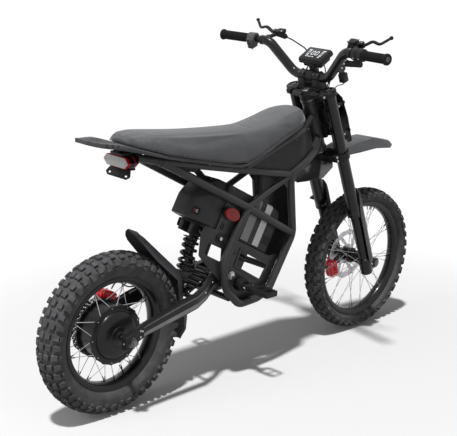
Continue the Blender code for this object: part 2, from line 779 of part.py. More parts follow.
def build_controls(steering, side, word):
    """The brake lever and its master cylinder."""
    end, outward = bar_line(side)
    bar_cut = along_bar(side, 0.17, BAR_THIN + BORE_FIT, 0.30)
    clamp_at = end - outward * MASTER_INWARD
    collar = along_bar(side, MASTER_INWARD, 0.0175, 0.015)
    points = lever_points(side)
    pivot = points[0]
    cylinder = rod((0.105, 0.1528 * side, 0.9315), (0.105, 0.1985 * side, 0.9395), 0.0105, 12)
    arm = rod(clamp_at + Vector((0.012, 0.0, 0.0)), (0.097, 0.1960 * side, 0.9385), 0.0075, 8)
    plate_z = LEVER_HALF + LEVER_FIT + 0.0025
    fork_top = box((0.020, 0.022, 0.005), (0.107, 0.2065 * side, pivot.z + plate_z))
    fork_low = box((0.020, 0.022, 0.005), (0.107, 0.2065 * side, pivot.z - plate_z))
    back = box((0.019, 0.0078, 0.019), (0.107, 0.1970 * side, pivot.z))
    pin_half = Vector((0, 0, plate_z + 0.0015))
    pin = rod(pivot - pin_half, pivot + pin_half, LEVER_PIN_RADIUS, 8)
    pieces = [collar, arm, cylinder, back, fork_top, fork_low, pin]
    add_part(f"brake_master_{word}", steering, SATIN_BLACK, pieces, [bar_cut])
    axis = add_empty(f"brake_lever_{word}_axis", steering, pivot)
    local = [p - pivot for p in points]
    blade = tube(local, 0.0045, bend=[0.012, 0.02, 0.012], level=1)
    eye = rod((0, 0, -LEVER_HALF), (0, 0, LEVER_HALF), 0.0078, 12)
    reach = Vector((0.002, 0.002 * side, 0.001))
    tip = rod(local[-1] - reach, local[-1] + reach, 0.0062, 8)
    eye_cut = rod((0, 0, -0.01), (0, 0, 0.01), LEVER_PIN_RADIUS + BORE_FIT, 8)
    add_part(f"brake_lever_{word}", axis, SATIN_BLACK, [blade, eye, tip], [eye_cut])


def build_switches(steering):
    for side, word, inward in ((-1, "right", 0.1415), (1, "left", 0.1425)):
        end, outward = bar_line(side)
        bar_cut = along_bar(side, 0.145, BAR_THIN + BORE_FIT, 0.12)
        middle = end - outward * inward
        if side < 0:
            housing = along_bar(side, inward, 0.0225, 0.0500)
            low = middle + Vector((-0.004, 0.030, -0.038))
            barrel = rod(low + Vector((0, 0.035, -0.002)), low + Vector((0, -0.033, 0.003)), 0.0110, 12)
            neck = box((0.016, 0.024, 0.024), middle + Vector((-0.003, 0.012, -0.026)))
            add_part("switch_right", steering, SATIN_BLACK, [housing, barrel, neck], [bar_cut])
            continue
        housing = along_bar(side, inward, 0.0225, 0.0310)
        pod = bevelled(box((0.032, 0.0270, 0.040), middle + Vector((-0.012, -0.001, -0.010))), 0.004)
        face = middle + Vector((-0.029, 0.0, -0.008))
        well = rod(face - Vector((0.004, 0, 0)), face + Vector((0.006, 0, 0)), BUTTON_RADIUS + 0.0006, 12)
        add_part("switch_left", steering, DARK_GREY, [housing, pod], [bar_cut, well])
        button_axis = add_empty("horn_button_axis", steering, face)
        button = rod((-0.0030, 0, 0), (0.0036, 0, 0), BUTTON_RADIUS, 12)
        add_part("horn_button", button_axis, BUTTON_GREY, [button])


def build_cockpit(steering):
    n, s = BAR_CENTRE
    lean = Matrix.Translation((0.0835, 0.0, 0.8810)) @ Matrix.Rotation(DISPLAY_TILT, 4, "Y")
    screen = bevelled(box((0.076, 0.110, 0.022), (0, 0, 0)), 0.007)
    lower = bevelled(box((0.058, 0.084, 0.018), (-0.002, 0.0, -0.0170)), 0.005)
    screen.transform(lean)
    lower.transform(lean)
    stalk = box((0.018, 0.028, 0.046), (n + 0.017, 0.0, 0.8500))
    ring = rod((n, -0.0145, s), (n, 0.0145, s), BAR_THICK + 0.0050, 16)
    bar_cut = rod((n, -0.05, s), (n, 0.05, s), BAR_THICK + 0.0008, 16)
    add_part("display", steering, DARK_GREY, [screen, lower, stalk, ring], [bar_cut])
    # The horn is carried by the rising part of the bar on the right.
    facing = Vector((-0.45, -0.80, 0.40)).normalized()
    centre = Vector((0.0530, -0.1420, 0.8700))
    head = rod(centre - facing * 0.012, centre + facing * 0.010, 0.0158, 8)
    block = bevelled(box((0.026, 0.026, 0.034), (0.064, -0.133, 0.8260)), 0.004)
    link = box((0.016, 0.016, 0.030), (0.060, -0.134, 0.8480))
    bracket = rod((0.053, -0.131, 0.866), (0.0455, -0.1200, 0.8700), 0.0090, 8)
    bar = tube(bar_points(), BAR_THICK + GAP * 1.4, bend=BAR_BENDS, level=2)
    add_part("horn", steering, DARK_GREY, [head, block, link, bracket], [bar])


COWL_ROWS = (
    (0.5350, 0.070, 0.0880, 0.1160),
    (0.5480, 0.090, 0.0865, 0.1170),
    (0.6500, 0.096, 0.0850, 0.1180),
    (0.7300, 0.090, 0.0830, 0.1120),
    (0.7480, 0.066, 0.0850, 0.1080),
)
COWL_SPLITS = (-1.0, -0.6, 0.0, 0.6, 1.0)


def cowl_reach(t, edge, middle):
    return edge + (middle - edge) * (1 - abs(t) ** 1.6)


def cowl_front(s, y):
    """How far ahead the cowl's faceted outside lies at this height and this distance to the left."""
    rows = list(zip(COWL_ROWS, COWL_ROWS[1:]))
    below, above = next((a, b) for a, b in rows if a[0] <= s <= b[0])
    part = (s - below[0]) / (above[0] - below[0])
    wide, edge, middle = (below[i] * (1 - part) + above[i] * part for i in (1, 2, 3))
    t = abs(y) / wide
    inner, outer = (0.0, 0.6) if t < 0.6 else (0.6, 1.0)
    share = (t - inner) / (outer - inner)
    return cowl_reach(inner, edge, middle) * (1 - share) + cowl_reach(outer, edge, middle) * share


def build_front_panels(steering):
    rows = []
    for s, wide, edge, middle in COWL_ROWS:
        rows.append([(cowl_reach(t, edge, middle), wide * t, s) for t in COWL_SPLITS])
    cowl = shell(rows, COWL_THICK)
    # Each arm runs from the fork tube into the cowl's wall.
    arms = []
    for side in (-1, 1):
        for s in (0.590, 0.705):
            start = FORK_AHEAD + FORK_TUBE_RADIUS + GAP
            sections = [[], []]
            for y, height in ((0.075, -0.006), (0.087, -0.006), (0.087, 0.006), (0.075, 0.006)):
                reach = cowl_front(s + height, y) - COWL_THICK * 0.45
                sections[0].append((start, y * side, s + height))
                sections[1].append((reach, y * side, s + height))
            arms.append(loft(sections))
    lamp_turn = Matrix.Rotation(math.pi / 2, 4, "Y")
    lamp_at = Matrix.Translation((0.0, 0.0, LAMP_HEIGHT)) @ lamp_turn
    lens_cut = rod((0.09, 0.0, LAMP_HEIGHT), (0.14, 0.0, LAMP_HEIGHT), 0.0420 + GAP, 16)
    add_part("front_cowl", steering, PANEL_BLACK, [cowl, *arms], [lens_cut])
    lamp = [
        (0.0, 0.1200),
        (0.034, 0.1180),
        (0.0420, 0.1150),
        (0.0420, 0.0900),
        (0.0480, 0.0850),
        (0.0500, 0.0650),
        (0.0430, 0.0440),
        (0.0240, 0.0325),
        (0.0, 0.0305),
    ]
    add_part("headlight", steering, SATIN_BLACK, [turned(lamp, lamp_at, 16)], at=(0.0, 0.0, LAMP_HEIGHT))


def steering_from_world(x, y, z):
    """The same place in the steering frame."""
    offset = Vector((x, y, z)) - STEER_POINT
    return (offset.dot(STEER_FORWARD), y, offset.dot(STEER_UP))


def build_front_fender(steering):
    stations = (
        (0.857, 0.6500, 0.0030, 0.0060, 0.002),
        (0.923, 0.6830, 0.0500, 0.0750, 0.012),
        (0.973, 0.7163, 0.0480, 0.0750, 0.012),
        (0.992, 0.7240, 0.0400, 0.0560, 0.008),
        (1.0332, 0.7405, 0.0400, 0.0560, 0.008),
        (1.056, 0.7480, 0.0440, 0.0640, 0.014),
        (1.139, 0.7680, 0.0480, 0.0700, 0.030),
        (1.240, 0.7750, 0.0420, 0.0600, 0.036),
        (1.360, 0.7480, 0.0240, 0.0340, 0.026),
        (1.4000, 0.7300, 0.0060, 0.0110, 0.006),
    )
    rows = []
    for x, z, flat, wide, drop in stations:
        spots = [(wide, z - drop), (flat, z), (-flat, z), (-wide, z - drop)]
        rows.append([steering_from_world(x, y, height) for y, height in spots])
    add_part("front_fender", steering, FENDER_GREY, [shell(rows, 0.0030)], smooth=15.0)


def build_hose(steering):
    """The hose runs from the left master cylinder behind the display and down outside the left fork tube."""
    path = [
        (0.1050, 0.1500, 0.9300),
        (0.1120, 0.1300, 0.9180),
        (0.1340, 0.0900, 0.8750),
        (0.1180, 0.0800, 0.8200),
        (0.0700, 0.1050, 0.7600),
        (0.0300, 0.1175, 0.7250),
        (0.0260, 0.1175, 0.2750),
    ]
    hose = tube(path, 0.0027, bend=[0.02, 0.03, 0.03, 0.03, 0.03], level=0)
    clips = []
    for s in (0.290, 0.640):
        radius = FORK_FLARE_RADIUS if s < FORK_SEAL_END + 0.05 else FORK_TUBE_RADIUS
        start = FORK_HALF + radius + GAP
        clips.append(box((0.012, 0.1205 - start, 0.008), (FORK_AHEAD, (0.1205 + start) / 2, s)))
    start = Vector((0.1050, 0.1528, 0.9315))
    master_cut = rod(start + Vector((0, 0.04, 0.0063)), start - Vector((0, GAP, 0)), 0.0125, 12)
    add_part("front_brake_hose", steering, HOSE_BLACK, [hose, *clips], [master_cut])


def disc_sweep(centre, y):
    """The room that a brake disc needs in its caliper."""
    x, z = centre
    reach = DISC_HALF + PAD_FIT
    return cross_rod(x, z, y - reach, y + reach, DISC_RADIUS + 0.002, 24)


def build_front_end(slide):
    axle = cross_rod(AXLE_AHEAD, 0.0, -LUG_OUTER - 0.001, LUG_OUTER, AXLE_RADIUS, 12)
    head = cross_rod(AXLE_AHEAD, 0.0, -LUG_OUTER - 0.004, -LUG_OUTER - GAP, 0.0125, 12)
    add_part("front_axle", slide, STEEL, [axle, head], at=(AXLE_AHEAD, 0.0, 0.0))
    body = bevelled(box((0.044, 0.032, 0.072), (-0.0250, FRONT_DISC_Y, -0.0080)), 0.006)
    lug = box((0.020, 0.024, 0.044), (-0.0070, 0.0740, 0.0100))
    foot_cut = rod((FORK_AHEAD, FORK_HALF, -0.08), (FORK_AHEAD, FORK_HALF, 0.12), FOOT_RADIUS + GAP, 16)
    cuts = [disc_sweep((AXLE_AHEAD, 0.0), FRONT_DISC_Y), foot_cut]
    add_part("front_caliper", slide, CALIPER_RED, [body, lug], cuts, at=(-0.0250, FRONT_DISC_Y, -0.0080))


# Frame


def side_points(points, side):
    return [(x, y * side, z) for x, y, z in points]


RAIL = ((0.068, 0.0475, 0.8507), (0.170, SIDE_Y, 0.8297), (0.7370, SIDE_Y, 0.7116))
RAIL_BEND = 0.2
DIAGONAL = ((0.128, 0.0725, 0.8390), (0.200, 0.0877, 0.8003), (0.523, SIDE_Y, 0.627), (0.757, SIDE_Y, 0.4925))
BRACE = ((0.520, SIDE_Y, 0.6265), (0.7260, SIDE_Y, 0.7110))
LOOP = (
    (0.525, SIDE_Y, 0.6290),
    (0.414, SIDE_Y, 0.446),
    (0.431, SIDE_Y, 0.348),
    (0.498, SIDE_Y, 0.280),
    (0.587, SIDE_Y, 0.284),
    (0.645, SIDE_Y, 0.306),
    (0.757, SIDE_Y, 0.4925),
    (0.7295, SIDE_Y, 0.7165),
)
LOOP_BENDS = [0.09, 0.08, 0.05, 0.09, 0.05, 0.07]
UPPER_BENDS = [0.2, 0.06, 0.1]
LOWER_BENDS = [0.06, 0.06]
UPPER = (
    (0.502, SIDE_Y, 0.768),
    (0.605, SIDE_Y, 0.805),
    (0.780, SIDE_Y, 0.865),
    (0.853, 0.050, 0.879),
    (0.9150, 0.0125, 0.892),
)
LOWER = (
    (0.7230, SIDE_Y, 0.7095),
    (0.815, SIDE_Y, 0.7535),
    (0.875, 0.070, 0.775),
    (0.9480, 0.0138, 0.8135),
)


def frame_tubes(side, extra=0.0):
    return [
        tube(side_points(LOOP, side), MAIN_TUBE + extra, bend=LOOP_BENDS),
        tube(side_points(RAIL, side), RAIL_TUBE + extra, bend=RAIL_BEND),
        tube(side_points(DIAGONAL, side), DIAGONAL_TUBE + extra, bend=0.3),
        tube(side_points(BRACE, side), BRACE_TUBE + extra),
        tube(side_points(UPPER, side), UPPER_TUBE + extra, bend=UPPER_BENDS),
        tube(side_points(LOWER, side), RAIL_TUBE + extra, bend=LOWER_BENDS),
    ]


def head_cylinder(radius, low, high, sides=16):
    start, end = STEER_POINT + STEER_UP * low, STEER_POINT + STEER_UP * high
    return rod(start, end, radius, sides)


def build_frame(root):
    for side, word in ((-1, "right"), (1, "left")):
        pieces = frame_tubes(side)
        if side > 0:
            pieces.append(cross_rod(0.4620, 0.3065, -SIDE_Y + MAIN_TUBE + GAP, SIDE_Y, 0.011))
        head_cut = head_cylinder(HEAD_RADIUS + GAP, 0.40, 0.80)
        add_part(f"frame_side_{word}", root, FRAME_BLACK, pieces, [head_cut])
    axis = add_empty("head_axis", root, STEER_POINT, Matrix.Rotation(-RAKE, 4, "Y"))
    low, high = HEAD_TUBE
    ring = [
        (HEAD_RADIUS + 0.0035, high),
        (HEAD_RADIUS + 0.0035, high - 0.014),
        (HEAD_RADIUS, high - 0.017),
        (HEAD_RADIUS, low + 0.017),
        (HEAD_RADIUS + 0.0035, low + 0.014),
        (HEAD_RADIUS + 0.0035, low),
        (STEERER_RADIUS + SLIDE_FIT, low),
        (STEERER_RADIUS + SLIDE_FIT, high),
    ]
    add_part("head_tube", axis, FRAME_BLACK, [turned(ring, None, 16, closed=True)])


def battery_frame(u, y, v):
    """A place in the battery's leaning frame as a place on the object."""
    c, s = math.cos(BATTERY_LEAN), math.sin(BATTERY_LEAN)
    return Vector((u * c + v * s, y, -u * s + v * c))


def leaning(points):
    """Places in the battery's side view as places in the object's side view."""
    made = [battery_frame(u, 0.0, v) for u, v in points]
    return [(p.x, p.z) for p in made]


def cradle_outline(side):
    """The side plate: beside the battery and round the lower end of the loop. The right one also runs back."""
    outline = leaning(((PLATE_REAR, BATTERY_LOW), (PLATE_REAR, 0.800), (0.135, 0.800)))
    outline += [(0.508, 0.5990)]
    outline += leaning(((0.140, BATTERY_LOW), (0.365, BATTERY_LOW)))
    outline += [(0.7080, 0.4210), (0.6560, 0.3330), (0.6350, 0.3020), (0.5850, 0.2860), (0.5000, 0.2830)]
    if side > 0:
        outline += [(0.4400, 0.3450), (0.4380, 0.3950), (0.5400, 0.4000), (0.5450, 0.4550)]
        return outline + leaning(((0.140, 0.6750), (0.0900, 0.6500), (0.030, 0.655), (0.028, 0.684)))
    outline += [(0.4400, 0.3450), (0.4240, 0.3700), (0.3560, 0.4500), (0.3300, 0.4860)]
    return outline + leaning(((0.030, 0.640), (0.028, 0.680)))


def build_cradle(root):
    gap_hole = [(0.3562, 0.5275), (0.4193, 0.4944), (0.4174, 0.4472), (0.3395, 0.4910)]
    window = leaning(WINDOW)
    bolt_hole = circle(PIVOT[0], PIVOT[1], BOLT_RADIUS + BORE_FIT, 12)
    middle_y = (PLATE_INNER + PLATE_OUTER) / 2
    thick = PLATE_OUTER - PLATE_INNER
    x, y, z = PEG_PIVOT
    pieces = []
    for side in (-1, 1):
        holes = [window, bolt_hole] + ([gap_hole] if side < 0 else [])
        pieces.append(plate(cradle_outline(side), thick, upright(side * middle_y), holes))
        pieces.append(cross_rod(x, z, side * (PLATE_INNER + 0.001), side * (y - 0.014), PEG_MOUNT_RADIUS, 14))
        for lug in (-0.0165, 0.0165):
            pieces.append(box((0.006, 0.024, 0.020), (x + lug, side * (y - 0.007), z)))
        pieces.append(rod((x - 0.0185, side * y, z), (x + 0.0185, side * y, z), PEG_PIN_RADIUS, 8))
    turn = Matrix.Rotation(BATTERY_LEAN, 4, "Y")
    span = 2 * PLATE_INNER + 0.003
    pieces.append(box((0.056, span, 0.011), (0.0620, 0.0, BATTERY_LOW - GAP - 0.0055), turn))
    for side in (-1, 1):
        pieces.append(box((0.090, 0.0165, 0.037), (0.0450, side * 0.0247, 0.6605), turn))
    pieces.append(cross_rod(*SHOCK_TOP, -0.028, 0.028, SHOCK_PIN_RADIUS, 10))
    pieces.append(cross_rod(*CRADLE_BAR, -PLATE_INNER - 0.001, PLATE_INNER + 0.001, 0.0115, 10))
    floor_v = BATTERY_LOW - GAP - 0.002
    pieces.append(box((0.150, span, 0.004), (0.285, 0.0, floor_v), turn))
    add_part("battery_cradle", root, FRAME_BLACK, pieces)


def build_battery(root):
    battery = add_empty("battery_frame", root, (0.0, 0.0, 0.0), Matrix.Rotation(BATTERY_LEAN, 4, "Y"))
    sections = []
    for u, wide, shoulder, neck, top in (
        (-0.0580, 0.0315, 0.7450, 0.0270, 0.7550),
        (-0.0450, 0.0450, 0.7550, 0.0360, 0.7760),
        (-0.0100, 0.0640, 0.7850, 0.0440, 0.8240),
        (0.0200, BATTERY_HALF, 0.7930, 0.0440, 0.8460),
        (PLATE_REAR - GAP, BATTERY_HALF, 0.7960, 0.0440, 0.8480),
    ):
        right = [(u, -wide, BATTERY_LOW), (u, -wide, shoulder), (u, -neck, top)]
        sections.append(right + [(u, -y, v) for _, y, v in reversed(right)])
    cap = loft(sections)
    start = PLATE_REAR - 0.010
    case = [
        (start, BATTERY_LOW),
        (start, 0.8460),
        (0.3200, 0.8490),
        (0.3440, 0.8400),
        (0.3540, 0.8180),
        (0.3540, BATTERY_LOW),
    ]
    body = plate(case, 2 * BATTERY_HALF - 0.001, Matrix.Rotation(math.pi / 2, 4, "X"))
    # The case is drawn along XZ, so its lean is only added with the frame that carries it.
    handle = box((0.036, 0.060, 0.030), (-0.004, 0.0, 0.8310))
    switch_at = Vector((-0.0333, -0.0513, 0.7145))
    switch_turn = Matrix.Translation(switch_at) @ Matrix.Rotation(SWITCH_FACING, 4, "Z")
    well = box((SWITCH_SIZE[0] + 0.0030, 0.0240, SWITCH_SIZE[2] + 0.0030), (0.0, 0.0, 0.0), switch_turn)
    pieces = [cap, bevelled(body, 0.008, 1, 60)]
    add_part("battery_pack", battery, BATTERY_GREY, pieces, [handle, well], smooth=25.0)
    pivot = switch_turn @ Vector((0.0, 0.0040, 0.0))
    axis = add_empty("power_switch_axis", battery, pivot, Matrix.Rotation(SWITCH_FACING, 4, "Z"))
    rocker = bevelled(box(SWITCH_SIZE, (0.0, -0.0010, 0.0)), 0.0015)
    reach = SWITCH_SIZE[2] / 2 + 0.0015 - GAP
    stub = rod((0.0, 0.0, -reach), (0.0, 0.0, reach), 0.0018, 8)
    add_part("power_switch", axis, SWITCH_BLACK, [rocker, stub])


def build_electrics(root):
    for side, word in ((-1, "right"), (1, "left")):
        centre = Vector((0.4500, side * (PLATE_OUTER + GAP + 0.009), 0.6136))
        outline = [(0.038 * x, 0.0225 * y) for x, y in circle(0.0, 0.0, 1.0, 12)]
        lean = Matrix.Rotation(BATTERY_LEAN, 4, "Y") @ Matrix.Rotation(math.pi / 2, 4, "X")
        body = bevelled(plate(outline, 0.018, Matrix.Translation(centre) @ lean), 0.003, 1, 60)
        add_part(f"side_reflector_{word}", root, REFLECTOR_RED, [body], at=centre)
    lock_at = Vector((0.4080, -PLATE_OUTER - GAP, 0.5335))
    lock_axis = add_empty("battery_lock_axis", root, lock_at)
    face = rod((0.0, 0.0, 0.0), (0.0, -0.0090, 0.0), 0.0105, 12)
    slot = box((0.0100, 0.0030, 0.0022), (0.0, -0.0090, 0.0))
    add_part("battery_lock", lock_axis, STEEL, [face], [slot])
    centre = (0.2620, 0.0, 0.8000)
    case = bevelled(box((0.130, 0.096, 0.030), (0, 0, 0)), 0.004)
    turn = Matrix.Translation(centre) @ Matrix.Rotation(math.radians(12.9), 4, "Y")
    case.transform(turn)
    posts = [rod((x, y, 0.0), (x, y, CONTROLLER_POST), 0.006, 8) for x in (-0.04, 0.04) for y in (-0.035, 0.035)]
    for post in posts:
        post.transform(turn)
    add_part("motor_controller", root, CASE_GREY, [case, *posts], at=centre)


# The right arm's centre line: station, distance out, height, half height
ARM_SECTIONS = (
    (-0.0245, 0.1025, 0.2700, 0.0215),
    (0.0600, 0.1025, 0.3008, 0.0198),
    (0.2100, 0.1025, 0.3320, 0.0250),
    (0.2800, 0.1025, 0.3460, 0.0240),
    (0.3400, 0.0800, 0.3560, 0.0240),
    (0.3950, 0.0535, 0.3760, 0.0290),
    (PIVOT[0], 0.0535, PIVOT[1], 0.0270),
)


def arm_top(x):
    below, above = next((a, b) for a, b in zip(ARM_SECTIONS, ARM_SECTIONS[1:]) if a[0] <= x <= b[0])
    part = (x - below[0]) / (above[0] - below[0])
    return below[2] + below[3] + (above[2] + above[3] - below[2] - below[3]) * part


def build_swingarm(parent):
    sections = []
    for x, y, z, half in ARM_SECTIONS:
        low, high = y - ARM_THICK / 2, y + ARM_THICK / 2
        sections.append([(x, -low, z - half), (x, -high, z - half), (x, -high, z + half), (x, -low, z + half)])
    arm = bevelled(loft(sections), 0.003, 1, 60)
    pieces = [arm, mirrored(arm)]
    pieces.append(cross_rod(PIVOT[0], PIVOT[1], -ARM_PIVOT_HALF, ARM_PIVOT_HALF, 0.0240, 16))
    cross_x, cross_z = CROSS_ROD
    pieces.append(cross_rod(cross_x, cross_z, -0.0880, 0.0880, CROSS_ROD_RADIUS, 10))
    slope = Matrix.Translation((0.3560, 0.0, 0.3780)) @ Matrix.Rotation(math.radians(-24.8), 4, "Y")
    pieces.append(box((0.136, 0.090, 0.006), (0, 0, 0), slope))
    x, z = SHOCK_BOTTOM
    for side in (-1, 1):
        pieces.append(box((0.025, 0.007, 0.056), (x + 0.0015, side * 0.0195, z - 0.012)))
    pieces.append(cross_rod(x, z, -0.0225, 0.0225, OPEN_PIN_RADIUS, 10))
    bolt_cut = cross_rod(PIVOT[0], PIVOT[1], -0.08, 0.08, BOLT_RADIUS + SLIDE_FIT, 12)
    axle_cuts = [
        cross_rod(0.0, REAR_RADIUS, side * 0.085, side * 0.125, AXLE_RADIUS + BORE_FIT, 12) for side in (-1, 1)
    ]
    add_part("swingarm", parent, SATIN_BLACK, pieces, [bolt_cut, *axle_cuts], at=(PIVOT[0], 0.0, PIVOT[1]))


def build_swing_parts(parent, root):
    nut = cross_rod(0.0, REAR_RADIUS, ARM_OUTER + GAP, 0.1270, 0.0140, 6)
    shaft = cross_rod(0.0, REAR_RADIUS, -0.1330, 0.1330, AXLE_RADIUS, 12)
    add_part("rear_axle", parent, STEEL, [shaft, nut, mirrored(nut)], at=(0.0, 0.0, REAR_RADIUS))
    at = (0.0420, REAR_DISC_Y, 0.3690)
    body = bevelled(box((0.070, 0.030, 0.040), at), 0.006)
    hanger = box((0.026, 0.010, 0.080), (0.0520, 0.0945, 0.3440))
    foot = box((0.026, 0.014, 0.024), (0.0520, 0.1000, 0.3250))
    link = box((0.025, 0.020, 0.020), (0.0520, 0.0880, 0.3700))
    stations = (0.0300, 0.0600, 0.0800)
    below_foot = loft(
        [
            [(x, 0.080, arm_top(x) + GAP), (x, 0.130, arm_top(x) + GAP), (x, 0.130, 0.240), (x, 0.080, 0.240)]
            for x in stations
        ]
    )
    cuts = [disc_sweep((0.0, REAR_RADIUS), REAR_DISC_Y), below_foot]
    add_part("rear_caliper", parent, CALIPER_RED, [body, link, hanger, foot], cuts, at=at)
    rows = []
    for x, z, flat, wide, back in (
        (0.0870, 0.6000, 0.022, 0.029, 0.010),
        (0.1120, 0.5770, 0.029, 0.043, 0.024),
        (0.1720, 0.5200, 0.030, 0.045, 0.030),
        (0.2720, 0.4260, 0.030, 0.045, 0.030),
        (0.2855, 0.3350, 0.030, 0.045, 0.028),
        (0.3060, 0.2650, 0.030, 0.044, 0.026),
        (0.3055, 0.2160, 0.026, 0.036, 0.016),
        (0.3004, 0.1770, 0.004, 0.007, 0.003),
    ):
        inward = (REAR_AXLE - Vector((x, 0.0, z))).normalized() * back
        spots = [(x + inward.x, -wide, z + inward.z), (x, -flat, z), (x, flat, z), (x + inward.x, wide, z + inward.z)]
        rows.append(spots)
    cross_x, cross_z = CROSS_ROD
    rod_cut = cross_rod(cross_x, cross_z, -0.09, 0.09, CROSS_ROD_RADIUS + GAP, 10)
    pads = [rod((0.2790, y, 0.3470), (0.2990, y, 0.3445), 0.0050, 8) for y in (-0.0292, 0.0292)]
    add_part("rear_fender", parent, FENDER_GREY, [shell(rows, 0.0030), *pads], [rod_cut], smooth=15.0)
    bolt = cross_rod(PIVOT[0], PIVOT[1], -0.0760, 0.0760, BOLT_RADIUS, 12)
    heads = [cross_rod(PIVOT[0], PIVOT[1], s * (PLATE_OUTER + GAP), s * 0.0810, 0.0150, 12) for s in (-1, 1)]
    add_part("swingarm_pivot_bolt", root, STEEL, [bolt, *heads], at=(PIVOT[0], 0.0, PIVOT[1]))


def spring_points(upper, lower):
    """The middle of one unbroken wire, with its curls closing up at both ends."""
    total = round(SPRING_TURNS * SPRING_POINTS)
    whole = SPRING_TURNS - 2 + 2 * SPRING_CLOSE
    points = []
    for i in range(total + 1):
        turn = i / SPRING_POINTS
        rise = min(turn, 1.0) * SPRING_CLOSE
        rise += min(max(turn - 1.0, 0.0), SPRING_TURNS - 2.0)
        rise += max(turn - (SPRING_TURNS - 1.0), 0.0) * SPRING_CLOSE
        a = 2 * math.pi * turn
        height = upper + (lower - upper) * rise / whole
        points.append(Vector((SPRING_RADIUS * math.cos(a), SPRING_RADIUS * math.sin(a), height)))
    return points


def least_self_gap(points, wire):
    """The smallest gap between wire surfaces at least half a curl apart."""
    gaps = []
    for i, first in enumerate(points):
        for second in points[i + SPRING_POINTS // 2 :]:
            gaps.append((first - second).length - 2 * wire)
    return min(gaps)


def build_shock(root):
    top = Vector((SHOCK_TOP[0], 0.0, SHOCK_TOP[1]))
    bottom = Vector((SHOCK_BOTTOM[0], 0.0, SHOCK_BOTTOM[1]))
    length = (top - bottom).length
    lean = math.atan2(top.x - bottom.x, top.z - bottom.z)
    axis = add_empty("shock_axis", root, top, Matrix.Rotation(lean, 4, "Y"))
    # Heights run up from the top eye's centre, so all are negative.
    eye = rod((0, -0.0155, 0), (0, 0.0155, 0), 0.0125, 14)
    eye_cut = rod((0, -0.03, 0), (0, 0.03, 0), SHOCK_PIN_RADIUS + BORE_FIT, 10)
    cup = SPRING_RADIUS + SPRING_WIRE
    spring_top = -0.0365
    body = [
        (0.0, -0.0080),
        (0.0125, -0.0080),
        (0.0125, -0.0280),
        (cup, -0.0290),
        (cup, spring_top + SPRING_WIRE + GAP),
        (0.0145, spring_top + SPRING_WIRE + GAP - 0.0010),
        (0.0145, -0.1000),
        (0.0068, -0.1000),
        (0.0068, -0.0450),
        (0.0, -0.0450),
    ]
    add_part("shock_body", axis, SATIN_BLACK, [turned(body, None, 16), eye], [eye_cut])
    rod_axis = add_empty("shock_rod_axis", axis, (0.0, 0.0, -length))
    seat = SPRING_SEAT
    rod_profile = [
        (0.0, length - 0.0900),
        (0.0062, length - 0.0900),
        (0.0062, seat + 0.0005),
        (cup, seat),
        (cup, seat - 0.0050),
        (0.0110, 0.0190),
        (0.0090, 0.0070),
        (0.0, 0.0070),
    ]
    low_eye = rod((0, -0.0150, 0), (0, 0.0150, 0), 0.0115, 14)
    low_cut = rod((0, -0.03, 0), (0, 0.03, 0), OPEN_PIN_RADIUS + OPEN_PIN_ROOM, 10)
    add_part("shock_rod", rod_axis, SATIN_BLACK, [turned(rod_profile, None, 16), low_eye], [low_cut])
    lower = -(length - seat - GAP - SPRING_WIRE - 0.0005)
    points = spring_points(spring_top, lower)
    print("spring: least gap between curls, mm:", round(1000 * least_self_gap(points, SPRING_WIRE), 2))
    curve = bpy.data.curves.new("spring", "CURVE")
    curve.dimensions = "3D"
    curve.bevel_depth = SPRING_WIRE
    curve.bevel_resolution = 1
    curve.use_fill_caps = True
    spline = curve.splines.new("POLY")
    spline.points.add(len(points) - 1)
    for place, point in zip(spline.points, points):
        place.co = (*point, 1.0)
    add_part("shock_spring", axis, SPRING_BLACK, [mesh_from(temporary("spring", curve))])


def build_pegs(root):
    for side, word in ((-1, "right"), (1, "left")):
        x, y, z = PEG_PIVOT
        axis = add_empty(f"foot_peg_{word}_axis", root, (x, side * y, z))
        outline = [
            (-0.0100, 0.0000),
            (-0.0100, 0.0120),
            (-0.0160, 0.0300),
            (-0.0060, PEG_REACH),
            (0.0480, PEG_REACH),
            (0.0440, 0.0300),
            (0.0100, 0.0120),
            (0.0100, 0.0000),
        ]
        holes = [[(0.000, 0.036), (0.002, 0.060), (0.037, 0.060), (0.035, 0.036)]]
        holes.append([(0.003, 0.068), (0.005, 0.089), (0.040, 0.089), (0.038, 0.068)])
        step = plate(outline, 0.016, Matrix.Translation((0.0, 0.0, -0.002)), holes)
        teeth = []
        for across in (0.0330, 0.0530, 0.0730, 0.0930):
            for ahead in (-0.008, 0.042):
                shift = 0.008 * (across - 0.03) / 0.08
                teeth.append(box((0.005, 0.005, 0.006), (ahead + shift, across, 0.0070)))
        for piece in (step, *teeth):
            piece.transform(Matrix.Rotation(-PEG_DROOP, 4, "X"))
        barrel = rod((-0.0130, 0, 0), (0.0130, 0, 0), 0.0095, 12)
        made = fused([step, barrel, *teeth])
        made.transform(Matrix.Diagonal((1.0, side, 1.0, 1.0)))
        tidy(made)
        pin_cut = rod((-0.02, 0, 0), (0.02, 0, 0), PEG_PIN_RADIUS + BORE_FIT, 8)
        add_part(f"foot_peg_{word}", axis, PEG_BLACK, [made], [pin_cut])


def base_top(x):
    """The height of the seat base's upper side."""
    below, above = next((a, b) for a, b in zip(BASE_STATIONS, BASE_STATIONS[1:]) if a[0] <= x <= b[0])
    part = (x - below[0]) / (above[0] - below[0])
    return below[2] + (above[2] - below[2]) * part


def cushion_ring(x, low_wide, crest_wide, crest, top):
    low = base_top(x) + SEAT_REST
    waist = low_wide * 0.55 + crest_wide * 0.45
    right = [
        (-low_wide * 0.55, low),
        (-low_wide, low),
        (-waist, low * 0.42 + crest * 0.58),
        (-crest_wide, crest),
        (-crest_wide * 0.5, top - 0.003),
    ]
    return [(x, y, z) for y, z in right + [(-y, z) for y, z in reversed(right)]]


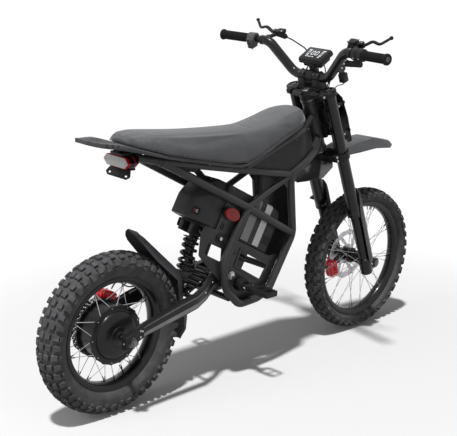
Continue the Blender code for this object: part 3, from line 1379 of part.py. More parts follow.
def build_seat(root):
    work = bmesh.new()
    rings = [[work.verts.new(p) for p in cushion_ring(*station)] for station in SEAT_STATIONS]
    count = len(rings[0])
    for first, second in zip(rings, rings[1:]):
        for i in range(count):
            j = (i + 1) % count
            work.faces.new((first[i], first[j], second[j], second[i]))
    work.faces.new(rings[0][::-1])
    work.faces.new(rings[-1])
    bmesh.ops.recalc_face_normals(work, faces=work.faces)
    # The low corners stay crisp, and the crest on each side keeps a soft fold.
    hold = work.edges.layers.float.new("crease_edge")
    sharpness = {0: 0.8, 1: 0.8, 3: 0.35, 6: 0.35, 8: 0.8, 9: 0.8}
    for first, second in zip(rings, rings[1:]):
        for i, amount in sharpness.items():
            edge = work.edges.get((first[i], second[i]))
            edge[hold] = amount
    obj = temporary("cushion", from_bmesh(work, Matrix()))
    soft = obj.modifiers.new("soft", "SUBSURF")
    soft.levels = 1
    soft.render_levels = 1
    cushion = mesh_from(obj)
    sections = [
        [(x, -wide, top), (x, wide, top), (x, wide * 0.97, top - thick), (x, -wide * 0.97, top - thick)]
        for x, wide, top, thick in BASE_STATIONS
    ]
    rails = []
    for side in (-1, 1):
        rails.append(tube(side_points(RAIL, side), RAIL_TUBE + GAP, bend=RAIL_BEND))
        rails.append(tube(side_points(UPPER, side), UPPER_TUBE + GAP, bend=UPPER_BENDS))
    add_part("seat_base", root, DARK_GREY, [loft(sections)], rails)
    add_part("seat_cushion", root, SEAT_VINYL, [cushion], smooth=60.0)


def build_panels(root):
    """Side panels fill the space between the rail, the upper tube and the lower head tube brace."""
    for side, word in ((-1, "right"), (1, "left")):
        rows = []
        for low, high in (
            ((0.520, 0.7690), (0.524, 0.7710)),
            ((0.600, 0.7440), (0.600, 0.7990)),
            ((0.735, 0.7200), (0.735, 0.8450)),
            ((0.7930, 0.7490), (0.7910, 0.8620)),
            ((0.830, 0.7650), (0.825, 0.8700)),
            ((0.874, 0.7800), (0.862, 0.8760)),
        ):
            near = PANEL_Y - max(0.0, low[0] - 0.790) * 0.28
            far = PANEL_Y - max(0.0, high[0] - 0.790) * 0.60
            rows.append([(low[0], side * near, low[1]), (high[0], side * far, high[1])])
        if side > 0:
            rows = [row[::-1] for row in rows]
        cuts = [
            tube(side_points(RAIL, side), RAIL_TUBE + GAP, bend=RAIL_BEND),
            tube(side_points(UPPER, side), UPPER_TUBE + GAP, bend=UPPER_BENDS),
            tube(side_points(LOWER, side), RAIL_TUBE + GAP, bend=LOWER_BENDS),
        ]
        add_part(f"side_panel_{word}", root, PANEL_BLACK, [shell(rows, 0.0025)], cuts)
    # A cover between the two front tubes, behind the fork.
    inner = SIDE_Y - MAIN_TUBE - GAP
    rows = [[(x, -inner, z), (x, inner, z)] for x, z in ((0.7000, 0.4000), (0.7540, 0.4920), (0.7500, 0.5500), (0.7320, 0.7000))]
    add_part("front_cover", root, PANEL_BLACK, [shell(rows, 0.003)])


def build_tail(root):
    """A bracket under the seat base's tail, the lamp behind it and the plate holder below the lamp."""
    inner = RAIL[0][1] - RAIL_TUBE + 0.0006
    lamp_at = Vector((0.0390, 0.0, 0.8385))
    lamp_half = 0.0215
    back = lamp_at.x + lamp_half + GAP
    cross = cross_rod(0.0700, 0.8503, -inner, inner, 0.0080, 12)
    arm = box((0.052, 0.060, 0.0100), (0.0440, 0.0, 0.8626))
    hanger = box((0.012, 0.060, 0.060), (back + 0.0060, 0.0, 0.8376))
    shelf = box((0.036, 0.060, 0.0050), (back - 0.0060, 0.0, 0.8110))
    lower_edge = Vector((0.0205, 0.0, 0.7875))
    upper_edge = Vector((0.0380, 0.0, 0.8155))
    across = (upper_edge - lower_edge).length
    lean = math.atan2(upper_edge.x - lower_edge.x, upper_edge.z - lower_edge.z)
    turn = Matrix.Translation(lower_edge) @ Matrix.Rotation(lean, 4, "Y")
    upright_x = Matrix.Rotation(math.pi / 2, 4, "Z") @ Matrix.Rotation(math.pi / 2, 4, "X")
    outline = [(-0.0460, 0.0), (-0.0600, 0.0110), (-0.0480, across), (0.0480, across), (0.0600, 0.0110), (0.0460, 0.0)]
    holes = [circle(y, 0.0100, 0.0032, 8) for y in (-0.0406, 0.0406)]
    holder = plate(outline, 0.003, turn @ upright_x, holes)
    add_part("tail_bracket", root, SATIN_BLACK, [cross, arm, hanger, shelf, holder])
    outline = [(-0.0635, 0.0), (-0.046, 0.0178), (0.046, 0.0178), (0.0635, 0.0), (0.046, -0.0178), (-0.046, -0.0178)]
    lamp = bevelled(plate(outline, 2 * lamp_half, Matrix.Translation(lamp_at) @ upright_x), 0.003, 1, 50)
    add_part("tail_light", root, REFLECTOR_RED, [lamp], at=lamp_at)


def build_all():
    root = add_empty("bicycle_root", None, (REAR_AXLE_X, 0.0, 0.0))
    swing_axis = add_empty("swingarm_axis", root, (PIVOT[0], 0.0, PIVOT[1]))
    swing = add_empty("swingarm_frame", swing_axis, (-PIVOT[0], 0.0, -PIVOT[1]))
    build_frame(root)
    build_cradle(root)
    build_battery(root)
    build_electrics(root)
    build_seat(root)
    build_panels(root)
    build_tail(root)
    build_swingarm(swing)
    build_swing_parts(swing, root)
    build_rear_wheel(swing)
    build_shock(root)
    build_pegs(root)
    steering = add_empty("steering_axis", root, STEER_POINT, Matrix.Rotation(-RAKE, 4, "Y"))
    slide = add_empty("fork_slide", steering)
    for side, word in ((-1, "right"), (1, "left")):
        build_fork_side(steering, slide, side, word)
        build_controls(steering, side, word)
    build_clamps(steering)
    build_bar(steering)
    build_grip(steering, 1, "grip_left", LEFT_GRIP_LENGTH)
    build_grip(steering, -1, "throttle_grip", THROTTLE_LENGTH)
    build_switches(steering)
    build_cockpit(steering)
    build_front_panels(steering)
    build_front_fender(steering)
    build_hose(steering)
    build_front_end(slide)
    build_front_wheel(slide)


clear_scene()
PARTS = new_collection(OBJECT, False)
CUTTERS = new_collection("cutters", True)
FRAME_BLACK = make_material("satin_black_frame", (0.020, 0.020, 0.022), 0.42)
GLOSS_BLACK = make_material("gloss_black", (0.012, 0.012, 0.013), 0.25)
SATIN_BLACK = make_material("satin_black", (0.016, 0.016, 0.017), 0.40)
PANEL_BLACK = make_material("panel_black", (0.022, 0.022, 0.024), 0.55)
SPRING_BLACK = make_material("spring_black", (0.014, 0.014, 0.015), 0.35)
PEG_BLACK = make_material("peg_black", (0.015, 0.015, 0.016), 0.60)
SWITCH_BLACK = make_material("switch_black", (0.010, 0.010, 0.010), 0.35)
HOSE_BLACK = make_material("hose_black", (0.012, 0.012, 0.012), 0.45)
DARK_GREY = make_material("dark_grey_plastic", (0.045, 0.045, 0.048), 0.55)
BATTERY_GREY = make_material("battery_grey", (0.035, 0.036, 0.039), 0.45)
CASE_GREY = make_material("case_grey", (0.060, 0.060, 0.064), 0.50, 0.6)
FENDER_GREY = make_material("fender_grey", (0.065, 0.066, 0.070), 0.50)
BUTTON_GREY = make_material("button_grey", (0.150, 0.150, 0.155), 0.50)
SEAT_VINYL = make_material("seat_vinyl", (0.060, 0.061, 0.064), 0.65)
RUBBER = make_material("tyre_rubber", (0.022, 0.022, 0.023), 0.80)
GRIP_RUBBER = make_material("grip_rubber", (0.014, 0.014, 0.014), 0.70)
STEEL = make_material("bright_steel", (0.550, 0.550, 0.560), 0.30, 1.0)
CALIPER_RED = make_material("caliper_red", (0.520, 0.012, 0.014), 0.35, 0.2)
REFLECTOR_RED = make_material("reflector_red", (0.480, 0.006, 0.010), 0.20)
build_all()
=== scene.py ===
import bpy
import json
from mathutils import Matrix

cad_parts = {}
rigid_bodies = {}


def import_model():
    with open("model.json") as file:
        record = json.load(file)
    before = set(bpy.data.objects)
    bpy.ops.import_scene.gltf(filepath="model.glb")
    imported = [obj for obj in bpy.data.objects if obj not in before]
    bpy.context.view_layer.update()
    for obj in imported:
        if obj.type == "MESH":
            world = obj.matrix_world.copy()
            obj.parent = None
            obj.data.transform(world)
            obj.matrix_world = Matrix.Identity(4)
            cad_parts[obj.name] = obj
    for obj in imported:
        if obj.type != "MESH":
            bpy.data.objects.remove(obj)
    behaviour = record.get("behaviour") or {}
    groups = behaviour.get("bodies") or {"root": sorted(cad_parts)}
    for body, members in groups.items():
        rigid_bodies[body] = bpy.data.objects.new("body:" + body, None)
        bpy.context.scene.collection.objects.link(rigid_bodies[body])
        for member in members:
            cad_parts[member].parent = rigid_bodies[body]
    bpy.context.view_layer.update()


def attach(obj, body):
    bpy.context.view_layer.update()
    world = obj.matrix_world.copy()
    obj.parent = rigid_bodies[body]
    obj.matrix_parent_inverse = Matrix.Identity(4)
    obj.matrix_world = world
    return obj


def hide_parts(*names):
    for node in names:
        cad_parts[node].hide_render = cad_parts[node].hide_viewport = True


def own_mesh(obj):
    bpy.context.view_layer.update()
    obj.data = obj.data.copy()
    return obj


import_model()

import json
import math

import bmesh
import bpy
import numpy as np
from mathutils import Matrix, Vector

bl_info = {
    "name": "Electric Bicycle",
    "version": (1, 0, 0),
    "blender": (4, 5, 0),
    "location": "3D View > Sidebar > Bicycle",
    "description": "Builds the bicycle's visible pieces and its studio",
    "category": "Add Mesh",
}

# Wheels
WHEELBASE = 1.247
REAR_RADIUS = 0.2726
FRONT_RADIUS = 0.284
REAR_RIM = (0.190, 0.028)
FRONT_RIM = (0.230, 0.022)
REAR_TYRE_HALF = 0.046
FRONT_TYRE_HALF = 0.037
DISC_RADIUS = 0.1015
REAR_DISC_Y = 0.075
FRONT_DISC_Y = 0.0565
AXLE_RADIUS = 0.0085
MOTOR_LEFT = 0.048
MOTOR_RIGHT = -0.029
MOTOR_END = -0.0605

# Steering
RAKE = math.radians(22.0)
AXLE_AHEAD = 0.072
FORK_AHEAD = 0.026
FORK_HALF = 0.083
FORK_TOP = 0.787
SEAL_END = 0.249
UPPER_CLAMP = (0.765, 0.785)
LOWER_CLAMP = (0.504, 0.534)
HEAD_TUBE = (0.538, 0.758)
BAR_CENTRE = (0.0425, 0.8244)
BAR_HIGH = (0.047, 0.182, 0.9385)
BAR_END = (0.0168, 0.3945, 0.9538)
BAR_LOW_Y = 0.080
BAR_THICK = 0.0143
BAR_THIN = 0.0111
THROTTLE_LENGTH = 0.1160
LEFT_GRIP_LENGTH = 0.1265
LAMP_HEIGHT = 0.6554

# Frame, battery and rear end
SIDE_Y = 0.088
MAIN_TUBE = 0.014
RAIL_TUBE = 0.0125
UPPER_TUBE = 0.0105
BRACE_TUBE = 0.010
LEAN = math.radians(28.8)
BATTERY_HALF = 0.0695
BATTERY_LOW = 0.6860
PLATE_REAR = 0.066
PLATE_INNER = 0.0702
PLATE_OUTER = 0.0736
PIVOT = (0.470, 0.388)
SHOCK_TOP = (0.357, 0.5588)
SHOCK_BOTTOM = (0.301, 0.375)
CROSS_ROD = (0.2990, 0.3440)
CRADLE_BAR = (0.655, 0.382)
PEG_PIVOT = (0.508, 0.120, 0.352)
PANEL_Y = 0.0842

# Cables and hoses
FRONT_HOSE_RADIUS = 0.0026
HOSE_RADIUS = 0.0024
POWER_CABLE_RADIUS = 0.0032

SIDES = ((-1, "right"), (1, "left"))

REAR_AXLE_X = -(WHEELBASE + FRONT_RADIUS - REAR_RADIUS) / 2
REAR_AXLE = Vector((0.0, 0.0, REAR_RADIUS))
STEER_FORWARD = Vector((math.cos(RAKE), 0.0, math.sin(RAKE)))
STEER_UP = Vector((-math.sin(RAKE), 0.0, math.cos(RAKE)))
STEER_POINT = Vector((WHEELBASE, 0.0, FRONT_RADIUS)) - STEER_FORWARD * AXLE_AHEAD

# Places of the groups
BIKE = Matrix.Translation((REAR_AXLE_X, 0.0, 0.0))
STEER = BIKE @ Matrix.Translation(STEER_POINT) @ Matrix.Rotation(-RAKE, 4, "Y")
BATTERY = BIKE @ Matrix.Rotation(LEAN, 4, "Y")
REAR_WHEEL = BIKE @ Matrix.Translation(REAR_AXLE)
FRONT_WHEEL = STEER @ Matrix.Translation((AXLE_AHEAD, 0.0, 0.0))
ONTO_Y = Matrix.Rotation(-math.pi / 2, 4, "X")
ONTO_X = Matrix.Rotation(math.pi / 2, 4, "Z") @ Matrix.Rotation(math.pi / 2, 4, "X")


# Shader maths


class Value:
    """A node's output that takes part in sums."""

    def __init__(self, shader, socket):
        self.shader = shader
        self.socket = socket

    def sum(self, operation, *values):
        return self.shader.node("ShaderNodeMath", {"operation": operation}, dict(enumerate(values)))

    def __add__(self, other):
        return self.sum("ADD", self, other)

    def __radd__(self, other):
        return self.sum("ADD", other, self)

    def __sub__(self, other):
        return self.sum("SUBTRACT", self, other)

    def __rsub__(self, other):
        return self.sum("SUBTRACT", other, self)

    def __mul__(self, other):
        return self.sum("MULTIPLY", self, other)

    def __rmul__(self, other):
        return self.sum("MULTIPLY", other, self)

    def __truediv__(self, other):
        return self.sum("DIVIDE", self, other)

    def __rtruediv__(self, other):
        return self.sum("DIVIDE", other, self)

    def __pow__(self, other):
        return self.sum("POWER", self, other)

    def above(self, other):
        return self.sum("GREATER_THAN", self, other)

    def below(self, other):
        return self.sum("LESS_THAN", self, other)

    def size(self):
        return self.sum("ABSOLUTE", self)

    def wave(self):
        return self.sum("SINE", self)

    def between(self, low, high):
        """0 below low, 1 above high and a smooth rise from one to the other."""
        named = {0: self, 1: low, 2: high, 3: 0.0, 4: 1.0}
        return self.shader.node("ShaderNodeMapRange", {"interpolation_type": "SMOOTHSTEP"}, named)


class Shader:
    """One material: a Principled surface and the nodes that feed it."""

    def __init__(self, name, colour, roughness, metallic=0.0, **constants):
        self.material = bpy.data.materials.new(name)
        self.material.use_nodes = True
        self.tree = self.material.node_tree
        self.tree.nodes.clear()
        self.output = self.tree.nodes.new("ShaderNodeOutputMaterial")
        self.surface = self.tree.nodes.new("ShaderNodeBsdfPrincipled")
        self.tree.links.new(self.surface.outputs[0], self.output.inputs[0])
        self.colour = (*colour, 1.0)
        self.material.diffuse_color = self.colour
        self.place = None
        self.set("Base Color", self.colour)
        self.set("Roughness", roughness)
        self.set("Metallic", metallic)
        for key, value in constants.items():
            self.set(key.replace("_", " "), value)

    def give(self, socket, value):
        if isinstance(value, Value):
            self.tree.links.new(value.socket, socket)
        else:
            socket.default_value = value

    def set(self, name, value):
        self.give(self.surface.inputs[name], value)
        return self

    def node(self, kind, settings=None, values=None, output=0):
        made = self.tree.nodes.new(kind)
        for name, value in (settings or {}).items():
            if name == "stops":
                ramp = made.color_ramp.elements
                while len(ramp) < len(value):
                    ramp.new(0.5)
                for element, (position, colour) in zip(ramp, value):
                    element.position = position
                    element.color = colour
            else:
                setattr(made, name, value)
        for name, value in (values or {}).items():
            self.give(made.inputs[name], value)
        return Value(self, made.outputs[output])

    def ray(self, kind):
        return self.node("ShaderNodeLightPath", {}, {}, kind)

    def object_place(self):
        if self.place is None:
            self.place = self.node("ShaderNodeTexCoord", output="Object")
        return self.place

    def parts(self, vector):
        split = self.tree.nodes.new("ShaderNodeSeparateXYZ")
        self.give(split.inputs[0], vector)
        return [Value(self, output) for output in split.outputs]

    def noise(self, scale, detail=3.0, rough=0.55, vector=None):
        values = {"Vector": vector or self.object_place(), "Scale": scale, "Detail": detail, "Roughness": rough}
        return self.node("ShaderNodeTexNoise", None, values)

    def cells(self, scale, feature="F1", vector=None):
        values = {"Vector": vector or self.object_place(), "Scale": scale}
        return self.node("ShaderNodeTexVoronoi", {"feature": feature}, values)

    def mix(self, factor, first, second):
        return self.node("ShaderNodeMix", {"data_type": "RGBA"}, {0: factor, 6: first, 7: second}, 2)

    def tone(self, amount):
        """The material's own colour, made lighter or darker."""
        return tuple(min(1.0, c * amount) for c in self.colour[:3]) + (1.0,)

    def bump(self, height, strength=0.3, distance=0.001):
        values = {"Strength": strength, "Distance": distance, "Height": height}
        return self.set("Normal", self.node("ShaderNodeBump", None, values))

    def cloudy(self, scale=14.0, low=0.85, high=1.18):
        """Slow variation of the colour over the surface."""
        cloud = self.noise(scale, 4.0).between(0.35, 0.68)
        return self.set("Base Color", self.mix(cloud, self.tone(low), self.tone(high)))

    def smudged(self, low, high, scale=22.0):
        """Slow variation of the gloss."""
        return self.set("Roughness", low + (high - low) * self.noise(scale, 5.0).between(0.3, 0.7))


def powder_coat(name, colour, low, high, coat=0.0):
    shader = Shader(name, colour, low, Coat_Roughness=0.12, Specular_IOR_Level=0.22)
    shader.cloudy(9.0)
    shader.smudged(low, high)
    shader.set("Coat Weight", coat)
    return shader.bump(shader.noise(700.0, 2.0), 0.18, 0.0003).material


def moulded(name, colour, low, high, grain=1500.0, depth=0.25):
    """Plastic from a textured mould."""
    shader = Shader(name, colour, low, Specular_IOR_Level=0.2)
    shader.cloudy(11.0, 0.9, 1.12)
    shader.smudged(low, high, 30.0)
    return shader.bump(shader.cells(grain), depth, 0.0003).material


def rubber(name, colour, dust):
    shader = Shader(name, colour, 0.8, Specular_IOR_Level=0.2)
    cloud = shader.noise(28.0, 6.0, 0.65).between(0.38, 0.72)
    fine = shader.noise(380.0, 3.0)
    shader.set("Base Color", shader.mix(cloud * 0.8 + fine * 0.25, shader.tone(0.82), shader.tone(dust)))
    shader.set("Roughness", 0.68 + fine * 0.25)
    return shader.bump(fine + shader.noise(60.0, 4.0) * 0.6, 0.35, 0.0006).material


def bare_metal(name, colour, low, high, stretch=(1.0, 1.0, 1.0)):
    """Metal with fine lines along its drawn direction."""
    shader = Shader(name, colour, low, 1.0)
    values = {"Vector": shader.object_place(), "Scale": stretch}
    drawn = shader.node("ShaderNodeMapping", None, values)
    lines = shader.noise(420.0, 4.0, 0.6, drawn)
    shader.set("Base Color", shader.mix(shader.noise(30.0).between(0.35, 0.7), shader.tone(0.86), shader.tone(1.06)))
    shader.set("Roughness", low + (high - low) * lines)
    return shader.bump(lines, 0.12, 0.0002).material


def round_lines(name, colour, low, high, centre):
    """A turned disc: fine rings round an axis along Y."""
    shader = Shader(name, colour, low, 0.95)
    x, _, z = shader.parts(shader.object_place())
    across, up = x - centre[0], z - centre[2]
    reach = (across * across + up * up) ** 0.5
    rings = (reach * 5200.0).wave() * 0.5 + shader.noise(240.0, 4.0)
    shader.set("Roughness", low + (high - low) * rings.between(0.1, 1.1))
    shader.set("Base Color", shader.mix(shader.noise(40.0).between(0.3, 0.7), shader.tone(0.82), shader.tone(1.08)))
    return shader.bump(rings, 0.15, 0.0002).material


def vinyl(name, colour, light):
    """Seat cover: a fine slanted weave pressed into the vinyl, with a soft nap, and painted top light: faces looking
    upwards are given a much lighter colour.
    """
    shader = Shader(name, colour, 0.6, Specular_IOR_Level=0.2, Sheen_Weight=0.5, Sheen_Roughness=0.4)
    x, y, z = shader.parts(shader.object_place())
    along = ((x + z * 0.4) * 1250.0 + y * 760.0).wave()
    across = ((x + z * 0.4) * 760.0 - y * 1250.0).wave()
    weave = along * across
    cloud = shader.noise(16.0, 5.0).between(0.3, 0.72)
    speck = shader.noise(900.0, 2.0).between(0.35, 0.75)
    upward = shader.node("ShaderNodeAttribute", {"attribute_name": "upward"})
    # Painted top light: the upward share of each point's normal pushes the colour towards the light tone, on top of the
    # cloud, speck and weave.
    grain = cloud * 0.12 + speck * 0.22 + weave * 0.26 + upward.between(0.45, 1.0) * 0.62
    shader.set("Base Color", shader.mix(grain, shader.tone(0.84), shader.tone(light)))
    shader.set("Roughness", 0.52 + speck * 0.18)
    return shader.bump(weave * 0.7 + speck * 0.6, 0.4, 0.0005).material


def lens(name, colour, pitch, roughness=0.12):
    """A moulded lens with small prisms behind its clear face."""
    shader = Shader(name, colour, roughness, Coat_Roughness=0.1, Specular_IOR_Level=0.2)
    prisms = shader.cells(pitch, "DISTANCE_TO_EDGE")
    shader.set("Base Color", shader.mix(prisms.between(0.02, 0.22), shader.tone(0.55), shader.tone(1.15)))
    shader.set("Coat Weight", 0.12)
    return shader.bump(prisms, 0.25, 0.0006).material


def glowing(name, colour, strength):
    shader = Shader(name, colour, 0.35)
    shader.set("Emission Color", shader.mix(shader.noise(300.0), shader.tone(0.9), shader.tone(1.0)))
    shader.set("Emission Strength", strength)
    return shader.material


PAINTS = {}


def shape():
    """The sizes and colours set in the sidebar."""
    return bpy.context.scene.bicycle_shape


def make_paints():
    """All finishes, made once."""
    rear_hub = REAR_WHEEL.translation
    front_hub = FRONT_WHEEL.translation
    PAINTS.update(
        frame=powder_coat("frame_satin_black", shape().frame_colour, 0.30, 0.40),
        gloss=powder_coat("rim_gloss_black", (0.006, 0.006, 0.0065), 0.24, 0.34, 0.15),
        guard=moulded("fork_guard_grey", (0.15, 0.15, 0.155), 0.34, 0.46, 1500.0, 0.2),
        fork=powder_coat("fork_anodised_black", (0.006, 0.006, 0.0065), 0.22, 0.34, 0.15),
        arm=powder_coat("swingarm_black", (0.014, 0.014, 0.015), 0.28, 0.40),
        motor=powder_coat("motor_cast_black", (0.007, 0.007, 0.0075), 0.30, 0.42, 0.1),
        coil=powder_coat("coil_black", (0.011, 0.011, 0.012), 0.22, 0.32, 0.15),
        cast=moulded("cast_black", (0.013, 0.013, 0.014), 0.42, 0.58, 900.0, 0.3),
        black=moulded("fine_black_plastic", (0.012, 0.012, 0.013), 0.40, 0.55),
        panel=moulded("panel_black_plastic", (0.020, 0.020, 0.022), 0.46, 0.60),
        grey=moulded("tail_grey_plastic", (0.075, 0.076, 0.080), 0.48, 0.62),
        fender=moulded("mudguard_grey_plastic", (0.072, 0.073, 0.078), 0.44, 0.58, 1200.0),
        case=moulded("battery_grey_plastic", (0.034, 0.0345, 0.037), 0.42, 0.56, 1700.0, 0.3),
        switch=moulded("switch_grey_plastic", (0.11, 0.11, 0.115), 0.42, 0.55),
        tyre=rubber("tyre_rubber", shape().tyre_colour, 1.4),
        block=rubber("tread_rubber", (0.074, 0.074, 0.077), 1.7),
        grip=rubber("grip_rubber", (0.010, 0.010, 0.0105), 1.4),
        hose=rubber("hose_rubber", (0.014, 0.014, 0.015), 1.3),
        zinc=bare_metal("zinc_bolts", (0.62, 0.62, 0.64), 0.22, 0.36),
        spoke=bare_metal("spoke_steel", (0.50, 0.50, 0.52), 0.22, 0.34),
        steel=bare_metal("machined_steel", (0.50, 0.50, 0.52), 0.25, 0.42, (1.0, 0.1, 1.0)),
        chrome=bare_metal("bright_edge", (0.78, 0.78, 0.80), 0.10, 0.20),
        alloy=bare_metal("dark_alloy", (0.16, 0.16, 0.17), 0.32, 0.46),
        rear_disc=round_lines("rear_disc_steel", (0.52, 0.52, 0.54), 0.24, 0.42, rear_hub),
        front_disc=round_lines("front_disc_steel", (0.52, 0.52, 0.54), 0.24, 0.42, front_hub),
        red=powder_coat("caliper_red", shape().caliper_colour, 0.28, 0.40, 0.4),
        # 3.4: the painted top light lifts the seat's upward faces towards 3.4 times the seat colour.
        vinyl=vinyl("seat_vinyl", shape().seat_colour, 3.4),
        thread=rubber("seat_thread", (0.060, 0.060, 0.063), 1.4),
        stripe=bare_metal("silver_stripe", (0.17, 0.172, 0.178), 0.36, 0.50),
        bright_stripe=moulded("bright_reflective_band", (0.80, 0.80, 0.81), 0.35, 0.5, 2400.0, 0.15),
        dim_stripe=moulded("dim_reflective_band", (0.30, 0.30, 0.31), 0.35, 0.5, 2400.0, 0.15),
        red_lens=lens("red_prism_lens", shape().reflector_colour, 420.0),
        tail_lens=lens("tail_milky_lens", (0.60, 0.60, 0.61), 520.0, 0.3),
        red_edge=lens("tail_red_edge", (0.62, 0.006, 0.012), 300.0),
        glass=lens("screen_black_glass", (0.006, 0.006, 0.007), 90.0, 0.06),
        lamp_glass=lens("headlight_lens", (0.55, 0.57, 0.60), 260.0, 0.05),
        white=glowing("screen_white_segments", (0.85, 0.88, 0.90), 0.6),
        mark_red=moulded("switch_mark_red", (0.65, 0.012, 0.012), 0.4, 0.5, 2000.0, 0.1),
        mark_white=moulded("switch_mark_white", (0.75, 0.75, 0.75), 0.4, 0.5, 2000.0, 0.1),
    )


# Shapes: each function returns a closed mesh


def temporary(name, data):
    made = bpy.data.objects.new(name, data)
    bpy.context.scene.collection.objects.link(made)
    return made


def mesh_from(made, weld=0.00002):
    """The object's evaluated shape as a mesh facing outwards, the object being removed."""
    bpy.context.view_layer.update()
    graph = bpy.context.evaluated_depsgraph_get()
    mesh = bpy.data.meshes.new_from_object(made.evaluated_get(graph))
    bpy.data.objects.remove(made, do_unlink=True)
    work = bmesh.new()
    work.from_mesh(mesh)
    if weld:
        bmesh.ops.remove_doubles(work, verts=work.verts, dist=weld)
    bmesh.ops.recalc_face_normals(work, faces=work.faces)
    work.to_mesh(mesh)
    work.free()
    return mesh


def from_bmesh(work, matrix=None):
    if matrix is not None:
        work.transform(matrix)
    bmesh.ops.recalc_face_normals(work, faces=work.faces)
    mesh = bpy.data.meshes.new("piece")
    work.to_mesh(mesh)
    work.free()
    return mesh


def moved(mesh, matrix):
    """The mesh put somewhere else, turned right side out again where the matrix mirrors it."""
    made = mesh.copy()
    made.transform(matrix)
    if matrix.determinant() < 0:
        made.flip_normals()
    return made


def mirrored(mesh):
    return moved(mesh, Matrix.Diagonal((1.0, -1.0, 1.0, 1.0)))


def both(mesh):
    return [mesh, mirrored(mesh)]


def along(x, y=0.0, z=0.0):
    return Matrix.Translation((x, y, z))


def turn(degrees, axis="Z"):
    return Matrix.Rotation(math.radians(degrees), 4, axis)


def facing(point, direction, roll=0.0):
    """A place at the point whose Z looks along the direction."""
    quat = Vector(direction).to_track_quat("Z", "Y")
    return Matrix.Translation(point) @ quat.to_matrix().to_4x4() @ Matrix.Rotation(roll, 4, "Z")


def round_angles(count):
    """Equal steps round a full circle, from zero."""
    return [2 * math.pi * i / count for i in range(count)]


def bevelled(mesh, width, segments=2, angle=32.0):
    made = temporary("bevel", mesh)
    bevel = made.modifiers.new("bevel", "BEVEL")
    bevel.width = width
    bevel.segments = segments
    bevel.limit_method = "ANGLE"
    bevel.angle_limit = math.radians(angle)
    return mesh_from(made)


def box(size, centre=(0.0, 0.0, 0.0), edge=0.0, matrix=None):
    """A block with rounded edges. The matrix, when given, is applied after the block is centred."""
    work = bmesh.new()
    bmesh.ops.create_cube(work, size=1.0)
    mesh = from_bmesh(work, (matrix or Matrix()) @ along(*centre) @ Matrix.Diagonal((*size, 1.0)))
    return bevelled(mesh, edge, 3) if edge else mesh


def rod(start, end, radius, sides=32, end_radius=None, edge=0.0):
    """A round bar, or a cone, from one point to another."""
    start, end = Vector(start), Vector(end)
    reach = (end - start).length
    tip = radius if end_radius is None else end_radius
    profile = [(0.0, 0.0), (radius - edge, 0.0)]
    if edge:
        profile += [(radius, edge), (tip, reach - edge)]
    profile += [(tip - edge, reach), (0.0, reach)]
    return turned(profile, facing(start, end - start), sides)


def turned(profile, matrix=None, steps=64, closed=False):
    """A turned piece from (radius, height) points. closed joins the ends of the profile."""
    work = bmesh.new()
    rings = []
    for radius, height in profile:
        if radius < 1e-6:
            rings.append([work.verts.new((0.0, 0.0, height))])
            continue
        angles = round_angles(steps)
        rings.append([work.verts.new((radius * math.cos(a), radius * math.sin(a), height)) for a in angles])
    pairs = list(zip(rings, rings[1:])) + ([(rings[-1], rings[0])] if closed else [])
    for first, second in pairs:
        for i in range(steps):
            j = (i + 1) % steps
            corners = [first[i % len(first)], first[j % len(first)], second[j % len(second)], second[i % len(second)]]
            kept = list(dict.fromkeys(corners))
            if len(kept) > 2:
                work.faces.new(kept)
    return from_bmesh(work, matrix)


def curved(points, steps=6, closed=False):
    """A smooth line through the points."""
    points = [Vector(p) for p in points]
    count = len(points)
    path = []
    for i in range(count if closed else count - 1):
        if closed:
            a, b, c, d = (points[(i + k) % count] for k in (-1, 0, 1, 2))
        else:
            a, b, c, d = points[max(i - 1, 0)], points[i], points[i + 1], points[min(i + 2, count - 1)]
        for step in range(steps):
            t = step / steps
            path.append(
                0.5 * ((2 * b) + (c - a) * t + (2 * a - 5 * b + 4 * c - d) * t**2 + (3 * b - a - 3 * c + d) * t**3)
            )
    if not closed:
        path.append(points[-1])
    return path


def rounded_path(points, bend, step=math.radians(6.0)):
    """Straight lines with an arc at each corner. bend is one radius or one for each corner."""
    points = [Vector(p) for p in points]
    radii = bend if isinstance(bend, (list, tuple)) else [bend] * (len(points) - 2)
    path = [points[0]]
    for before, corner, after, radius in zip(points, points[1:], points[2:], radii):
        back, ahead = (before - corner).normalized(), (after - corner).normalized()
        angle = math.pi - back.angle(ahead)
        if angle < 0.02:
            path.append(corner)
            continue
        reach = min(radius * math.tan(angle / 2), 0.45 * min((before - corner).length, (after - corner).length))
        start, end = corner + back * reach, corner + ahead * reach
        count = max(3, round(angle / step))
        for i in range(count + 1):
            t = i / count
            path.append(start * (1 - t) ** 2 + corner * 2 * t * (1 - t) + end * t**2)
    path.append(points[-1])
    return path


def tube(points, radius, bend=0.05, level=7, scales=None, path=None):
    """A round bar along a path. scales, when given, widens the bar as a function of the point."""
    path = path or rounded_path(points, bend)
    curve = bpy.data.curves.new("tube", "CURVE")
    curve.dimensions = "3D"
    curve.bevel_depth = radius
    curve.bevel_resolution = level
    curve.use_fill_caps = True
    spline = curve.splines.new("POLY")
    spline.points.add(len(path) - 1)
    for place, point in zip(spline.points, path):
        place.co = (*point, 1.0)
        place.radius = scales(point) if scales else 1.0
    return mesh_from(temporary("tube", curve))


def cable(points, radius=0.0022, steps=8):
    """A thin cable that runs smoothly through the points."""
    return tube(None, radius, level=3, path=curved(points, steps))


def plate(outline, thickness, matrix=None, holes=(), edge=0.0, segments=2):
    """A flat plate. Its outline and holes are in XY and its thickness is centred on Z."""
    curve = bpy.data.curves.new("plate", "CURVE")
    curve.dimensions = "2D"
    curve.fill_mode = "BOTH"
    curve.extrude = thickness / 2
    for ring in (outline, *holes):
        spline = curve.splines.new("POLY")
        spline.points.add(len(ring) - 1)
        for place, point in zip(spline.points, ring):
            place.co = (point[0], point[1], 0.0, 1.0)
        spline.use_cyclic_u = True
    mesh = mesh_from(temporary("plate", curve))
    if edge:
        mesh = bevelled(mesh, edge, segments)
    return moved(mesh, matrix) if matrix is not None else mesh


